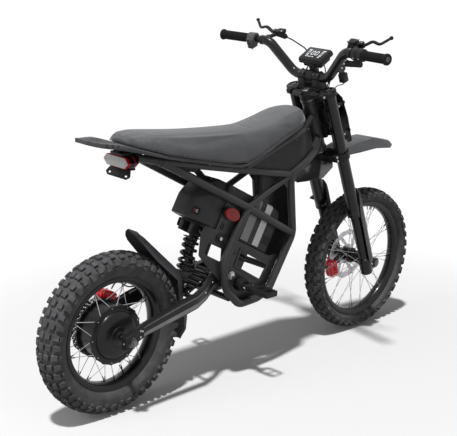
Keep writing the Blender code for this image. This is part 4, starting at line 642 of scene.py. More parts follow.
def rounded(corners, radius, steps=5):
    """A flat outline with rounded corners. radius is one value or one for each corner."""
    count = len(corners)
    radii = radius if isinstance(radius, (list, tuple)) else [radius] * count
    outline = []
    for i, r in enumerate(radii):
        before, corner, after = (Vector(corners[(i + k) % count][:2]) for k in (-1, 0, 1))
        back, ahead = (before - corner).normalized(), (after - corner).normalized()
        angle = back.angle(ahead)
        if r <= 0.0 or angle > 3.10:
            outline.append(tuple(corner))
            continue
        reach = min(r / math.tan(angle / 2), 0.48 * min((before - corner).length, (after - corner).length))
        start, end = corner + back * reach, corner + ahead * reach
        for step in range(steps + 1):
            t = step / steps
            outline.append(tuple(start * (1 - t) ** 2 + corner * 2 * t * (1 - t) + end * t**2))
    return outline


def circle(x, y, radius, count=32, start=0.0):
    angles = [start + 2 * math.pi * i / count for i in range(count)]
    return [(x + radius * math.cos(a), y + radius * math.sin(a)) for a in angles]


def slot_outline(start, end, radius, count=8):
    """A long hole with round ends."""
    start, end = Vector(start), Vector(end)
    lean = math.atan2(end.y - start.y, end.x - start.x)
    ring = []
    for centre, offset in ((end, -math.pi / 2), (start, math.pi / 2)):
        for i in range(count + 1):
            a = lean + offset + math.pi * i / count
            ring.append((centre.x + radius * math.cos(a), centre.y + radius * math.sin(a)))
    return ring


def upright(y):
    """Turns a plate drawn in XY up into XZ at this distance to the left."""
    return Matrix.Translation((0.0, y, 0.0)) @ Matrix.Rotation(math.pi / 2, 4, "X")


def loft(sections, closed=False, caps=True):
    """A skin over sections with the same number of points, with a flat face at each end."""
    work = bmesh.new()
    rings = [[work.verts.new(p) for p in section] for section in sections]
    count = len(rings[0])
    pairs = list(zip(rings, rings[1:])) + ([(rings[-1], rings[0])] if closed else [])
    for first, second in pairs:
        for i in range(count):
            j = (i + 1) % count
            work.faces.new((first[i], first[j], second[j], second[i]))
    if caps and not closed:
        work.faces.new(rings[0][::-1])
        work.faces.new(rings[-1])
    return from_bmesh(work)


def shell(rows, thickness, edge=0.0):
    """A sheet over rows of points, thickened away from its outer side."""
    work = bmesh.new()
    grid = [[work.verts.new(p) for p in row] for row in rows]
    for first, second in zip(grid, grid[1:]):
        for i in range(len(first) - 1):
            work.faces.new((first[i], first[i + 1], second[i + 1], second[i]))
    made = bpy.data.meshes.new("sheet")
    work.to_mesh(made)
    work.free()
    sheet = temporary("shell", made)
    solid = sheet.modifiers.new("thickness", "SOLIDIFY")
    solid.thickness = thickness
    solid.offset = -1.0
    solid.use_even_offset = True
    mesh = mesh_from(sheet)
    return bevelled(mesh, edge, 2, 50.0) if edge else mesh


def spread(rows, steps):
    """The rows of a sheet with smooth rows put between them."""
    lines = [curved(column, steps) for column in zip(*rows)]
    return [list(row) for row in zip(*lines)]


def dome(radius, height, matrix=None, steps=32, rings=6):
    """A rounded cap with a flat back."""
    arc = [(radius * math.cos(a), height * math.sin(a)) for a in np.linspace(0, math.pi / 2, rings)]
    return turned([(0.0, 0.0), *arc[:-1], (0.0, height)], matrix, steps)


def hexagon(radius, height, matrix=None, edge=0.0006):
    """A nut or bolt head with bevelled corners."""
    return plate(circle(0, 0, radius, 6), height, (matrix or Matrix()) @ along(0, 0, height / 2), edge=edge)


def socket_screw(radius, height):
    """A cap screw with a hexagon hole, looking along Z from its seat at the origin."""
    hole = radius * 0.55
    profile = [(0.0, -0.002), (radius, -0.002), (radius, height * 0.8), (radius * 0.88, height), (hole, height)]
    profile += [(hole * 0.98, height * 0.35), (0.0, height * 0.35)]
    return turned(profile, None, 18)


def button_screw(radius, height):
    hole = radius * 0.42
    profile = [(0.0, -0.001), (radius, -0.001), (radius * 0.92, height * 0.5), (radius * 0.62, height * 0.95)]
    profile += [(hole, height), (hole * 0.98, height * 0.4), (0.0, height * 0.4)]
    return turned(profile, None, 18)


def weld(at, direction, radius, size=0.0022):
    """The bead where one tube is welded to another."""
    angles = round_angles(8)
    profile = [(radius + size * math.cos(a), size * math.sin(a)) for a in angles]
    return turned(profile, facing(at, direction), 40, closed=True)


# Node trees for what repeats


class Tree:
    """A geometry tree that ends by realising its instances and giving them a material."""

    def __init__(self, name, inputs):
        self.group = bpy.data.node_groups.new(name, "GeometryNodeTree")
        interface = self.group.interface
        interface.new_socket("Geometry", in_out="OUTPUT", socket_type="NodeSocketGeometry")
        interface.new_socket("Geometry", in_out="INPUT", socket_type="NodeSocketGeometry")
        for label, kind in [*inputs, ("Item", "Object"), ("Material", "Material")]:
            interface.new_socket(label, in_out="INPUT", socket_type=f"NodeSocket{kind}")
        self.start = self.group.nodes.new("NodeGroupInput")
        self.item = self.add("GeometryNodeObjectInfo", Object=self.input("Item"))

    def input(self, label):
        return self.start.outputs[label]

    def add(self, kind, settings=None, **links):
        made = self.group.nodes.new(kind)
        for key, value in (settings or {}).items():
            setattr(made, key, value)
        for key, value in links.items():
            socket = made.inputs[int(key[1:]) if key[0] == "n" and key[1:].isdigit() else key.replace("_", " ")]
            if isinstance(value, bpy.types.NodeSocket):
                self.group.links.new(value, socket)
            else:
                socket.default_value = value
        return made

    def close(self, points, **links):
        geometry = self.item.outputs["Geometry"]
        copies = self.add("GeometryNodeInstanceOnPoints", Points=points, Instance=geometry, **links)
        real = self.add("GeometryNodeRealizeInstances", Geometry=copies.outputs[0])
        painted = self.add("GeometryNodeSetMaterial", Geometry=real.outputs[0], Material=self.input("Material"))
        end = self.group.nodes.new("NodeGroupOutput")
        self.group.links.new(painted.outputs[0], end.inputs[0])
        return self.group


def round_tree():
    """Copies an item round the Z axis, each turned by the same angle from the one before."""
    tree = Tree("copies_round_an_axis", [("Count", "Int"), ("Angle", "Float")])
    points = tree.add("GeometryNodePoints", Count=tree.input("Count"))
    index = tree.add("GeometryNodeInputIndex")
    settings = {"operation": "MULTIPLY"}
    angle = tree.add("ShaderNodeMath", settings, n0=index.outputs[0], n1=tree.input("Angle"))
    turning = tree.add("ShaderNodeCombineXYZ", Z=angle.outputs[0])
    return tree.close(points.outputs[0], Rotation=turning.outputs[0])


def line_tree():
    """Copies an item along a straight line."""
    tree = Tree("copies_along_a_line", [("Count", "Int"), ("Step", "Vector")])
    points = tree.add("GeometryNodePoints", Count=tree.input("Count"))
    index = tree.add("GeometryNodeInputIndex")
    settings = {"operation": "SCALE"}
    offset = tree.add("ShaderNodeVectorMath", settings, n0=tree.input("Step"), Scale=index.outputs[0])
    placed = tree.add("GeometryNodeSetPosition", Geometry=points.outputs[0], Position=offset.outputs[0])
    return tree.close(placed.outputs[0])


def place_tree():
    """Puts an item at each vertex of the mesh, turned as the vertex attribute turning says."""
    tree = Tree("copies_at_places", [("Size", "Float")])
    named = tree.add("GeometryNodeInputNamedAttribute", {"data_type": "FLOAT_VECTOR"}, Name="turning")
    return tree.close(tree.input("Geometry"), Rotation=named.outputs[0], Scale=tree.input("Size"))


TREES = {}


def copies(kind, item, finish, base=None, **inputs):
    """The copies that a tree makes of an item mesh, as one plain mesh."""
    thing = temporary("item", item)
    thing.hide_render = True
    host = temporary("host", base or bpy.data.meshes.new("host"))
    tree = TREES[kind]
    modifier = host.modifiers.new("copies", "NODES")
    modifier.node_group = tree
    found = {each.name: each.identifier for each in tree.interface.items_tree if each.in_out == "INPUT"}
    for label, value in {**inputs, "Item": thing, "Material": PAINTS[finish]}.items():
        modifier[found[label]] = value
    made = mesh_from(host, 0.0)
    bpy.data.objects.remove(thing, do_unlink=True)
    return made


def ring_of(item, count, finish="frame", matrix=None, angle=None):
    step = 2 * math.pi / count if angle is None else angle
    made = copies("round", item, finish, Count=count, Angle=step)
    return moved(made, matrix) if matrix is not None else made


def row_of(item, count, step, finish="frame", matrix=None):
    made = copies("line", item, finish, Count=count, Step=step)
    return moved(made, matrix) if matrix is not None else made


def at_places(item, places, finish="frame", size=1.0):
    """One copy of the item at each matrix in the list."""
    base = bpy.data.meshes.new("places")
    base.from_pydata([place.translation for place in places], [], [])
    turning = base.attributes.new("turning", "FLOAT_VECTOR", "POINT")
    for entry, place in zip(turning.data, places):
        entry.vector = place.to_euler()
    return copies("places", item, finish, base, Size=size)


# Finished pieces

SHOWN = {}


def joined(meshes):
    work = bmesh.new()
    for mesh in meshes:
        work.from_mesh(mesh)
    made = bpy.data.meshes.new("piece")
    work.to_mesh(made)
    work.free()
    return made


def show(name, body, finish, meshes, place=BIKE, stands_for=(), smooth=35.0):
    """Joins the meshes into one finished piece that moves with the body."""
    mesh = joined(meshes)
    mesh.name = name
    mesh.transform(place)
    mesh.materials.clear()
    mesh.materials.append(PAINTS[finish])
    mesh.polygons.foreach_set("material_index", [0] * len(mesh.polygons))
    mesh.shade_smooth()
    mesh.set_sharp_from_angle(angle=math.radians(smooth))
    made = bpy.data.objects.new(name, mesh)
    bpy.context.scene.collection.objects.link(made)
    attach(made, body)
    if stands_for:
        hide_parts(*stands_for)
    SHOWN[name] = made
    return made


# Wheels


class Carcass:
    """Half of a tyre's outer line, by the distance along it from the middle of the tread."""

    def __init__(self, points):
        line = [Vector((r, h, 0.0)) for r, h in points]
        self.line = curved(line, 8)
        self.reach = [0.0]
        for before, after in zip(self.line, self.line[1:]):
            self.reach.append(self.reach[-1] + (after - before).length)

    def at(self, s, height=0.0):
        """Radius and distance to the left, raised off the line by the height."""
        side = -1.0 if s < 0 else 1.0
        s = min(abs(s), self.reach[-2])
        i = next(k for k, reach in enumerate(self.reach[1:]) if reach >= s)
        first, second = self.line[i], self.line[i + 1]
        t = (s - self.reach[i]) / (self.reach[i + 1] - self.reach[i])
        point, run = first.lerp(second, t), (second - first).normalized()
        outward = Vector((run.y, -run.x, 0.0))
        point = point + outward * height
        return point.x, point.y * side


def tread_block(carcass, corners, height):
    """A knob over corners given as (distance round, distance across), with a chamfered top."""
    middle = (sum(c[0] for c in corners) / len(corners), sum(c[1] for c in corners) / len(corners))
    rings = []
    for lift, keep in ((-0.002, 1.06), (height - 0.0012, 1.0), (height, 0.91)):
        ring = []
        for around, across in corners:
            u = middle[0] + (around - middle[0]) * keep
            s = middle[1] + (across - middle[1]) * keep
            radius, y = carcass.at(s, lift)
            angle = u / carcass.line[0].x
            ring.append((radius * math.cos(angle), y, radius * math.sin(angle)))
        rings.append(ring)
    return loft(rings)


def zigzag(start, length, low, high, zig, steps=3):
    """A knob's corners: its two long sides step to and fro."""
    offsets = [(zig if i % 2 else 0.0) for i in range(steps + 1)]
    across = [low + (high - low) * i / steps for i in range(steps + 1)]
    first = [(start + o, a) for o, a in zip(offsets, across)]
    second = [(start + length + o, a) for o, a in zip(offsets, across)]
    return first + second[::-1]


def tyre(radius, half, rim, tiles, height, blocks):
    """The carcass and its knobs. blocks lists each knob's corners, in shares of the pitch and metres."""
    rim_radius, rim_half = rim
    bead = rim_half - 0.0042
    tall = radius - rim_radius
    outer = [
        (radius - height, 0.0),
        (radius - height - 0.0012, half * 0.34),
        (radius - height - 0.007 - tall * 0.03, half * 0.70),
        (radius - height * 1.2 - tall * 0.19, half * 0.925),
        (rim_radius + tall * 0.50, half * 0.985),
        (rim_radius + tall * 0.24, half * 0.90),
        (rim_radius + 0.0075, bead + 0.0075),
        (rim_radius + 0.0045, bead + 0.0022),
        (rim_radius - 0.006, bead + 0.0006),
    ]
    carcass = Carcass(outer)
    line = [(p.x, p.y) for p in carcass.line]
    ridge = []
    for r, h in line:
        share = (r - rim_radius) / tall
        lift = 0.0009 if 0.285 < share < 0.33 or 0.12 < share < 0.15 else 0.0
        ridge.append((r, h + lift))
    inner = [(rim_radius - 0.007, -bead + 0.006), (radius - 0.016, -half * 0.5)]
    inner += [(r, -h) for r, h in reversed(inner)]
    ring = ridge + inner[::-1] + [(r, -h) for r, h in reversed(ridge[1:])]
    pitch = 2 * math.pi * carcass.line[0].x / tiles
    tile = []
    for block in blocks:
        corners = [(share * pitch, across) for share, across in block]
        tile.append(tread_block(carcass, corners, height))
        other = [(u + 0.5 * pitch, -s) for u, s in corners]
        tile.append(tread_block(carcass, other, height))
    body = turned(ring, ONTO_Y, 144, closed=True)
    onto_z = ONTO_Y.inverted()
    knobs = ring_of(moved(joined(tile), onto_z), tiles, "block", ONTO_Y)
    return body, knobs


def rim_ring(rim):
    radius, half = rim
    side = [
        (radius - 0.0005, half - 0.0030),
        (radius + 0.0008, half - 0.0018),
        (radius + 0.0008, half - 0.0004),
        (radius - 0.0012, half),
        (radius - 0.0100, half - 0.0008),
        (radius - 0.0145, half - 0.0032),
        (radius - 0.0185, half * 0.62),
        (radius - 0.0212, half * 0.40),
        (radius - 0.0220, half * 0.22),
    ]
    floor = [(radius - 0.0110, -half + 0.0050), (radius - 0.0110, half - 0.0050)]
    ring = side + [(r, -h) for r, h in reversed(side)] + floor
    return turned(ring, ONTO_Y, 144, closed=True)


def wheel_point(radius, angle, y):
    return Vector((radius * math.cos(angle), y, radius * math.sin(angle)))


def spoke_set(hub_radius, flanges, rim_inner, rim_y, lean):
    """Crossed spokes from both flanges, with an elbow at the hub and a nipple at the rim."""
    count = shape().spoke_count
    wires, nipples = [], []
    pairs = count // 4
    onto_z = ONTO_Y.inverted()
    for side, flange in enumerate(flanges):
        wire, nipple = [], []
        far = rim_y if side == 0 else -rim_y
        for turning, step in ((1, 0.0022), (-1, -0.0022)):
            start_angle = math.pi / pairs * (0.5 * side + (0.5 if turning > 0 else 0.0))
            end_angle = start_angle + turning * lean
            hub = wheel_point(hub_radius, start_angle, flange + step)
            inward = wheel_point(hub_radius, start_angle, flange - step)
            end = wheel_point(rim_inner + 0.001, end_angle, far + step)
            wire.append(tube([inward, hub, end], 0.00115, 0.004, 2))
            wire.append(dome(0.0023, 0.0016, facing(inward, inward - hub), 10, 3))
            run = (end - hub).normalized()
            wire.append(rod(end - run * 0.03, end, 0.00125, 8))
            nipple.append(rod(end - run * 0.014, end + run * 0.004, 0.0021, 8, 0.0026))
        for made, parts, finish in ((wires, wire, "spoke"), (nipples, nipple, "chrome")):
            made.append(ring_of(moved(joined(parts), onto_z), pairs, finish, ONTO_Y))
    return wires, nipples


def brake_disc(y, bore, radius=DISC_RADIUS):
    """A wavy rotor with drilled holes, bent arms and its own carrier."""
    waves = []
    for i in range(144):
        a = 2 * math.pi * i / 144
        r = radius - 0.0016 + 0.0016 * math.cos(12 * a)
        waves.append((r * math.cos(a), r * math.sin(a)))
    windows = []
    for i in range(6):
        middle = 2 * math.pi * i / 6
        corners = []
        for r, low, high, steps in ((0.0795, -0.42, 0.42, 9), (0.040, 0.28, -0.40, 5)):
            shift = 0.10 if r > 0.05 else -0.22
            corners += [(r, middle + shift + low + (high - low) * k / steps) for k in range(steps + 1)]
        windows.append([(r * math.cos(a), r * math.sin(a)) for r, a in corners])
    holes = [circle(0.0, 0.0, bore, 32), *windows]
    for i in range(36):
        a = 2 * math.pi * i / 36
        for k, reach in enumerate((0.0845, 0.0900, 0.0952)):
            spot = a + 0.05 * k
            holes.append(circle(reach * math.cos(spot), reach * math.sin(spot), 0.0021, 7))
    rotor = plate(waves, 0.0018, upright(y), holes)
    screws = ring_of(moved(button_screw(0.0042, 0.0022), along(0.027, 0, 0)), 6)
    return rotor, screws


def build_rear_wheel():
    blocks = [
        [(0.04, -0.0080), (0.04, 0.0060), (0.09, 0.0120), (0.30, 0.0120), (0.34, 0.0040), (0.30, -0.0080)],
        [(0.55, 0.0130), (0.52, 0.0210), (0.57, 0.0290), (0.80, 0.0280), (0.77, 0.0200), (0.80, 0.0130)],
        [(0.06, 0.0200), (0.03, 0.0280), (0.08, 0.0360), (0.30, 0.0360), (0.33, 0.0280), (0.29, 0.0200)],
        [(0.52, 0.0370), (0.50, 0.0440), (0.55, 0.0530), (0.82, 0.0530), (0.78, 0.0440), (0.82, 0.0370)],
        [(0.06, 0.0430), (0.03, 0.0500), (0.08, 0.0600), (0.34, 0.0600), (0.30, 0.0510), (0.33, 0.0430)],
        [(0.60, 0.0570), (0.62, 0.0660), (0.80, 0.0660), (0.82, 0.0570)],
    ]
    body, knobs = tyre(REAR_RADIUS, REAR_TYRE_HALF, REAR_RIM, 24, shape().rear_tread, blocks)
    show("rear_tyre_carcass", "rear_wheel", "tyre", [body], REAR_WHEEL, ["rear_tyre"], 50)
    show("rear_tread", "rear_wheel", "block", [knobs], REAR_WHEEL, (), 25)
    wires, nipples = spoke_set(0.0945, (MOTOR_LEFT, MOTOR_RIGHT), 0.168, 0.008, math.radians(15))
    show("rear_rim_ring", "rear_wheel", "gloss", [rim_ring(REAR_RIM)], REAR_WHEEL, ["rear_rim"])
    show("rear_spokes", "rear_wheel", "spoke", wires, REAR_WHEEL)
    show("rear_nipples", "rear_wheel", "alloy", nipples, REAR_WHEEL)
    valve = [rod((0.172, 0, 0), (0.140, 0.004, 0), 0.0028, 12), rod((0.150, 0.003, 0), (0.138, 0.0045, 0), 0.0042, 12)]
    show("rear_valve", "rear_wheel", "black", valve, REAR_WHEEL @ turn(70, "Y"))
    left, right, end = MOTOR_LEFT, MOTOR_RIGHT, MOTOR_END
    cover = [
        (0.0, right - 0.024),
        (0.0, end),
        (0.0165, end),
        (0.0180, end + 0.0015),
        (0.0180, right - 0.0265),
        (0.0215, right - 0.0245),
        (0.0330, right - 0.0235),
        (0.0345, right - 0.0215),
        (0.0460, right - 0.0215),
        (0.0580, right - 0.0205),
        (0.0670, right - 0.0188),
        (0.0740, right - 0.0160),
        (0.0790, right - 0.0124),
        (0.0822, right - 0.0080),
        (0.0835, right - 0.0046),
        (0.0850, right - 0.0040),
        (0.0862, right - 0.0030),
        (0.0990, right - 0.0030),
        (0.1000, right - 0.0020),
        (0.1000, right + 0.0020),
        (0.0990, right + 0.0030),
        (0.0915, right + 0.0032),
        (0.0900, right + 0.0055),
        (0.0900, left - 0.0055),
        (0.0915, left - 0.0032),
        (0.0990, left - 0.0030),
        (0.1000, left - 0.0020),
        (0.1000, left + 0.0020),
        (0.0990, left + 0.0030),
        (0.0880, left + 0.0034),
        (0.0860, left + 0.0060),
        (0.0640, left + 0.0105),
        (0.0400, left + 0.0130),
        (0.0240, left + 0.0145),
        (0.0225, left + 0.0165),
        (0.0225, 0.0695),
        (0.0310, 0.0700),
        (0.0310, 0.0737),
        (0.0, 0.0737),
    ]
    motor = [turned(cover, ONTO_Y, 128)]
    notch = plate(rounded([(0.096, -0.006), (0.1022, -0.0042), (0.1022, 0.0042), (0.096, 0.006)], 0.002), 0.0056)
    for height in (left, right):
        motor.append(ring_of(moved(notch, along(0, 0, height)), 18, "motor", ONTO_Y))
    show("motor_housing", "rear_wheel", "motor", motor, REAR_WHEEL, ["hub_motor"], smooth=32)
    screws = []
    left_cap = moved(socket_screw(0.0034, 0.0030), along(0.0760, 0, left + 0.0080) @ turn(8, "Y"))
    screws.append(ring_of(left_cap, 8, "zinc", ONTO_Y))
    show("motor_screws", "rear_wheel", "zinc", screws, REAR_WHEEL)
    rotor, bolts = brake_disc(REAR_DISC_Y, 0.0200)
    show("rear_rotor", "rear_wheel", "rear_disc", [rotor], REAR_WHEEL, ["rear_disc"], 20)
    seat = ONTO_Y @ along(0, 0, REAR_DISC_Y + 0.001)
    show("rear_rotor_bolts", "rear_wheel", "zinc", [moved(bolts, seat)], REAR_WHEEL)


def build_front_wheel():
    blocks = [
        zigzag(0.02, 0.50, -0.003, 0.0120, 0.06),
        zigzag(0.40, 0.52, 0.0150, 0.0262, -0.07),
        zigzag(0.05, 0.56, 0.0292, 0.0385, 0.08),
        zigzag(0.40, 0.42, 0.0405, 0.0480, 0.0),
    ]
    body, knobs = tyre(FRONT_RADIUS, FRONT_TYRE_HALF, FRONT_RIM, 42, shape().front_tread, blocks)
    show("front_tyre_carcass", "front_wheel", "tyre", [body], FRONT_WHEEL, ["front_tyre"], 50)
    show("front_tread", "front_wheel", "block", [knobs], FRONT_WHEEL, (), 25)
    wires, nipples = spoke_set(0.0285, (0.0305, -0.0305), 0.208, 0.006, math.radians(38))
    show("front_rim_ring", "front_wheel", "gloss", [rim_ring(FRONT_RIM)], FRONT_WHEEL, ["front_rim"])
    show("front_spokes", "front_wheel", "spoke", wires, FRONT_WHEEL)
    show("front_nipples", "front_wheel", "alloy", nipples, FRONT_WHEEL)
    valve = [rod((0.212, 0, 0), (0.180, 0.003, 0), 0.0028, 12), rod((0.190, 0.002, 0), (0.178, 0.0035, 0), 0.0042, 12)]
    show("front_valve", "front_wheel", "black", valve, FRONT_WHEEL @ turn(200, "Y"))
    face = FRONT_DISC_Y - 0.0013
    side = [
        (0.0118, 0.0698),
        (0.0120, face),
        (0.0262, face),
        (0.0270, face - 0.001),
        (0.0270, 0.0485),
        (0.0205, 0.0455),
        (0.0190, 0.0425),
        (0.0200, 0.0385),
        (0.0295, 0.0345),
        (0.0310, 0.0330),
        (0.0310, 0.0285),
        (0.0295, 0.0270),
        (0.0210, 0.0250),
        (0.0190, 0.0220),
    ]
    other = [(0.0100, 0.0698), (0.0145, 0.0690), (0.0150, 0.0420), (0.0210, 0.0390), *side[8:]]
    profile = [(0.0, 0.0698), *side, *[(r, -h) for r, h in reversed(other)], (0.0, -0.0698)]
    hub = [turned(profile, ONTO_Y, 64)]
    hub.append(ring_of(box((0.006, 0.004, 0.040), (0.0205, 0, 0), 0.0008), 12, "motor", ONTO_Y))
    show("front_hub_shell", "front_wheel", "motor", hub, FRONT_WHEEL, ["front_hub"])
    rotor, bolts = brake_disc(FRONT_DISC_Y, 0.0123)
    show("front_rotor", "front_wheel", "front_disc", [rotor], FRONT_WHEEL, ["front_disc"], 20)
    seat = ONTO_Y @ along(0, 0, FRONT_DISC_Y + 0.001)
    show("front_rotor_bolts", "front_wheel", "zinc", [moved(bolts, seat)], FRONT_WHEEL)


# Fork and steering


def build_fork():
    for side, word in SIDES:
        y = FORK_HALF * side
        across = along(FORK_AHEAD, y)
        outer = [
            (0.0, FORK_TOP - 0.0045),
            (0.0130, FORK_TOP - 0.0045),
            (0.0135, FORK_TOP - 0.0010),
            (0.0150, FORK_TOP),
            (0.0208, FORK_TOP),
            (0.0230, FORK_TOP - 0.0022),
            (0.0230, SEAL_END + 0.060),
            (0.0236, SEAL_END + 0.055),
            (0.0250, SEAL_END + 0.046),
            (0.0250, SEAL_END + 0.016),
            (0.0244, SEAL_END + 0.0150),
            (0.0244, SEAL_END + 0.0135),
            (0.0252, SEAL_END + 0.0125),
            (0.0252, SEAL_END + 0.0015),
            (0.0240, SEAL_END),
            (0.0185, SEAL_END - 0.0005),
            (0.0185, SEAL_END + 0.05),
            (0.0, SEAL_END + 0.05),
        ]
        cap = [hexagon(0.0105, 0.0050, across @ along(0, 0, FORK_TOP - 0.0048))]
        cap.append(rod((FORK_AHEAD, y, FORK_TOP - 0.005), (FORK_AHEAD, y, FORK_TOP + 0.0018), 0.0042, 20, edge=0.0006))
        node = [f"fork_tube_{word}"]
        show(f"fork_tube_{word}_outer", "steering", "fork", [turned(outer, across, 96)], STEER, node)
        show(f"fork_cap_{word}", "steering", "alloy", cap, STEER)
        stanchion = rod((FORK_AHEAD, y, 0.60), (FORK_AHEAD, y, 0.03), 0.0180, 64)
        foot = [
            (0.0, 0.053),
            (0.0190, 0.053),
            (0.0215, 0.0515),
            (0.0235, 0.0480),
            (0.0235, -0.0130),
            (0.0215, -0.0175),
            (0.0170, -0.0200),
            (0.0, -0.0200),
        ]
        inward, outward = 0.0705 * side, 0.0965 * side
        lug = [rod((AXLE_AHEAD, inward, 0.0), (AXLE_AHEAD, outward, 0.0), 0.0190, 48, edge=0.0022)]
        for height, wide in ((0.016, 0.018), (-0.006, 0.022)):
            lug.append(box((AXLE_AHEAD - FORK_AHEAD, wide, 0.018), (0.049, 0.084 * side, height * 0.5), 0.004))
        lug.append(box((0.030, 0.019, 0.014), (0.049, 0.084 * side, -0.0120), 0.004))
        body = [turned(foot, across, 64), stanchion, *lug]
        show(f"fork_leg_{word}", "fork_lower", "fork", body, STEER, [f"fork_slider_{word}"])
        rows = []
        for height, reach, wide, sweep in (
            (0.0225, 0.0485, 0.0190, 0.012),
            (0.0300, 0.0515, 0.0255, 0.020),
            (0.0420, 0.0556, 0.0272, 0.030),
            (0.1500, 0.0575, 0.0274, 0.029),
            (0.2600, 0.0590, 0.0272, 0.027),
            (0.3100, 0.0590, 0.0268, 0.018),
            (0.3400, 0.0590, 0.0230, 0.009),
            (0.3560, 0.0585, 0.0100, 0.003),
        ):
            line = []
            for share, back in ((1.0, 1.0), (1.0, 0.60), (0.97, 0.28), (0.80, 0.08), (0.45, 0.0), (0.0, -0.03)):
                line.append((wide * share, sweep * back))
            line = [(-w, b) for w, b in line] + [(w, b) for w, b in reversed(line[:-1])]
            rows.append([(reach - back, y + w, height) for w, back in line])
        guard = [shell(rows, 0.0015, 0.0003)]
        guard.append(box((0.016, 0.010, 0.020), (0.0440, y, 0.0360), 0.002))
        show(f"fork_guard_{word}", "fork_lower", "guard", guard, STEER)
        spot = facing((0.0560, y, 0.0560), (1, 0, 0.02))
        screws = at_places(socket_screw(0.0040, 0.0026), [spot, facing((0.0556, y, 0.0420), (1, 0, 0.1))])
        pinch = [facing((0.049, 0.0950 * side, h), (0, side, 0)) for h in (0.0105, -0.0105)]
        bolts = [screws, at_places(socket_screw(0.0036, 0.0030), pinch)]
        show(f"fork_screws_{word}", "fork_lower", "zinc", bolts, STEER)
    end = -0.0965
    axle = [rod((AXLE_AHEAD, -0.098, 0.0), (AXLE_AHEAD, 0.0963, 0.0), AXLE_RADIUS, 32)]
    axle.append(rod((AXLE_AHEAD, end - 0.0038, 0.0), (AXLE_AHEAD, end - 0.0002, 0.0), 0.0125, 40, edge=0.0010))
    axle.append(hexagon(0.0085, 0.0030, facing((AXLE_AHEAD, end - 0.0030, 0.0), (0, -1, 0))))
    axle.append(hexagon(0.0100, 0.0030, facing((AXLE_AHEAD, 0.0962, 0.0), (0, 1, 0))))
    show("front_axle_bolt", "fork_lower", "alloy", axle, STEER, ["front_axle"])


def caliper(size, place):
    """Two bolted halves with pockets astride the disc, the middle's X pointing away from the hub."""
    long, wide, tall = size
    pieces, bolts = [], []
    for side in (-1, 1):
        y = side * (wide / 4 + 0.0012)
        corners = [(-long / 2, -tall * 0.36), (-long * 0.22, -tall / 2), (long * 0.34, -tall / 2),
            (long / 2, -tall * 0.30)]
        corners += [(long / 2, tall * 0.30), (long * 0.34, tall / 2), (-long * 0.22, tall / 2),
            (-long / 2, tall * 0.36)]
        pocket = slot_outline((-long * 0.02, -tall * 0.20), (-long * 0.02, tall * 0.20), long * 0.13)
        half = plate(rounded(corners, 0.004), wide / 2 - 0.0034, upright(y), [pocket], 0.0016)
        pieces.append(half)
        pieces.append(box((long * 0.5, wide / 4, tall * 0.72), (-long * 0.06, side * (wide / 4 - 0.0012), 0), 0.002))
        for height in (-0.20, 0.20):
            boss_at = Vector((-long * 0.02, side * (wide / 2 - 0.0052), tall * height))
            pieces.append(rod(boss_at, boss_at + Vector((0, side * 0.0042, 0)), long * 0.19, 28, edge=0.0010))
        for height in (-0.41, 0.41):
            bolts.append(facing((long * 0.20, side * (wide / 2 - 0.0026), tall * height), (0, side, 0)))
    pieces.append(box((long * 0.20, wide * 0.62, tall * 0.80), (long * 0.36, 0, 0), 0.002))
    return [moved(p, place) for p in pieces], [moved(at_places(socket_screw(0.0034, 0.0026), bolts), place)]


def build_front_caliper():
    middle = Vector((-0.0250, FRONT_DISC_Y, -0.0080))
    place = along(*middle) @ Matrix.Rotation(math.pi + 0.08, 4, "Y")
    body, bolts = caliper((0.042, 0.031, 0.070), place)
    lug = box((0.020, 0.013, 0.042), (-0.0050, 0.0742, 0.0090), 0.003)
    show("front_caliper_body", "fork_lower", "red", [*body, lug], STEER, ["front_caliper"])
    bolts.append(at_places(socket_screw(0.0040, 0.003),
        [facing((-0.006, 0.0806, h), (0, 1, 0)) for h in (-0.006, 0.024)]))
    show("front_caliper_bolts", "fork_lower", "zinc", bolts, STEER)


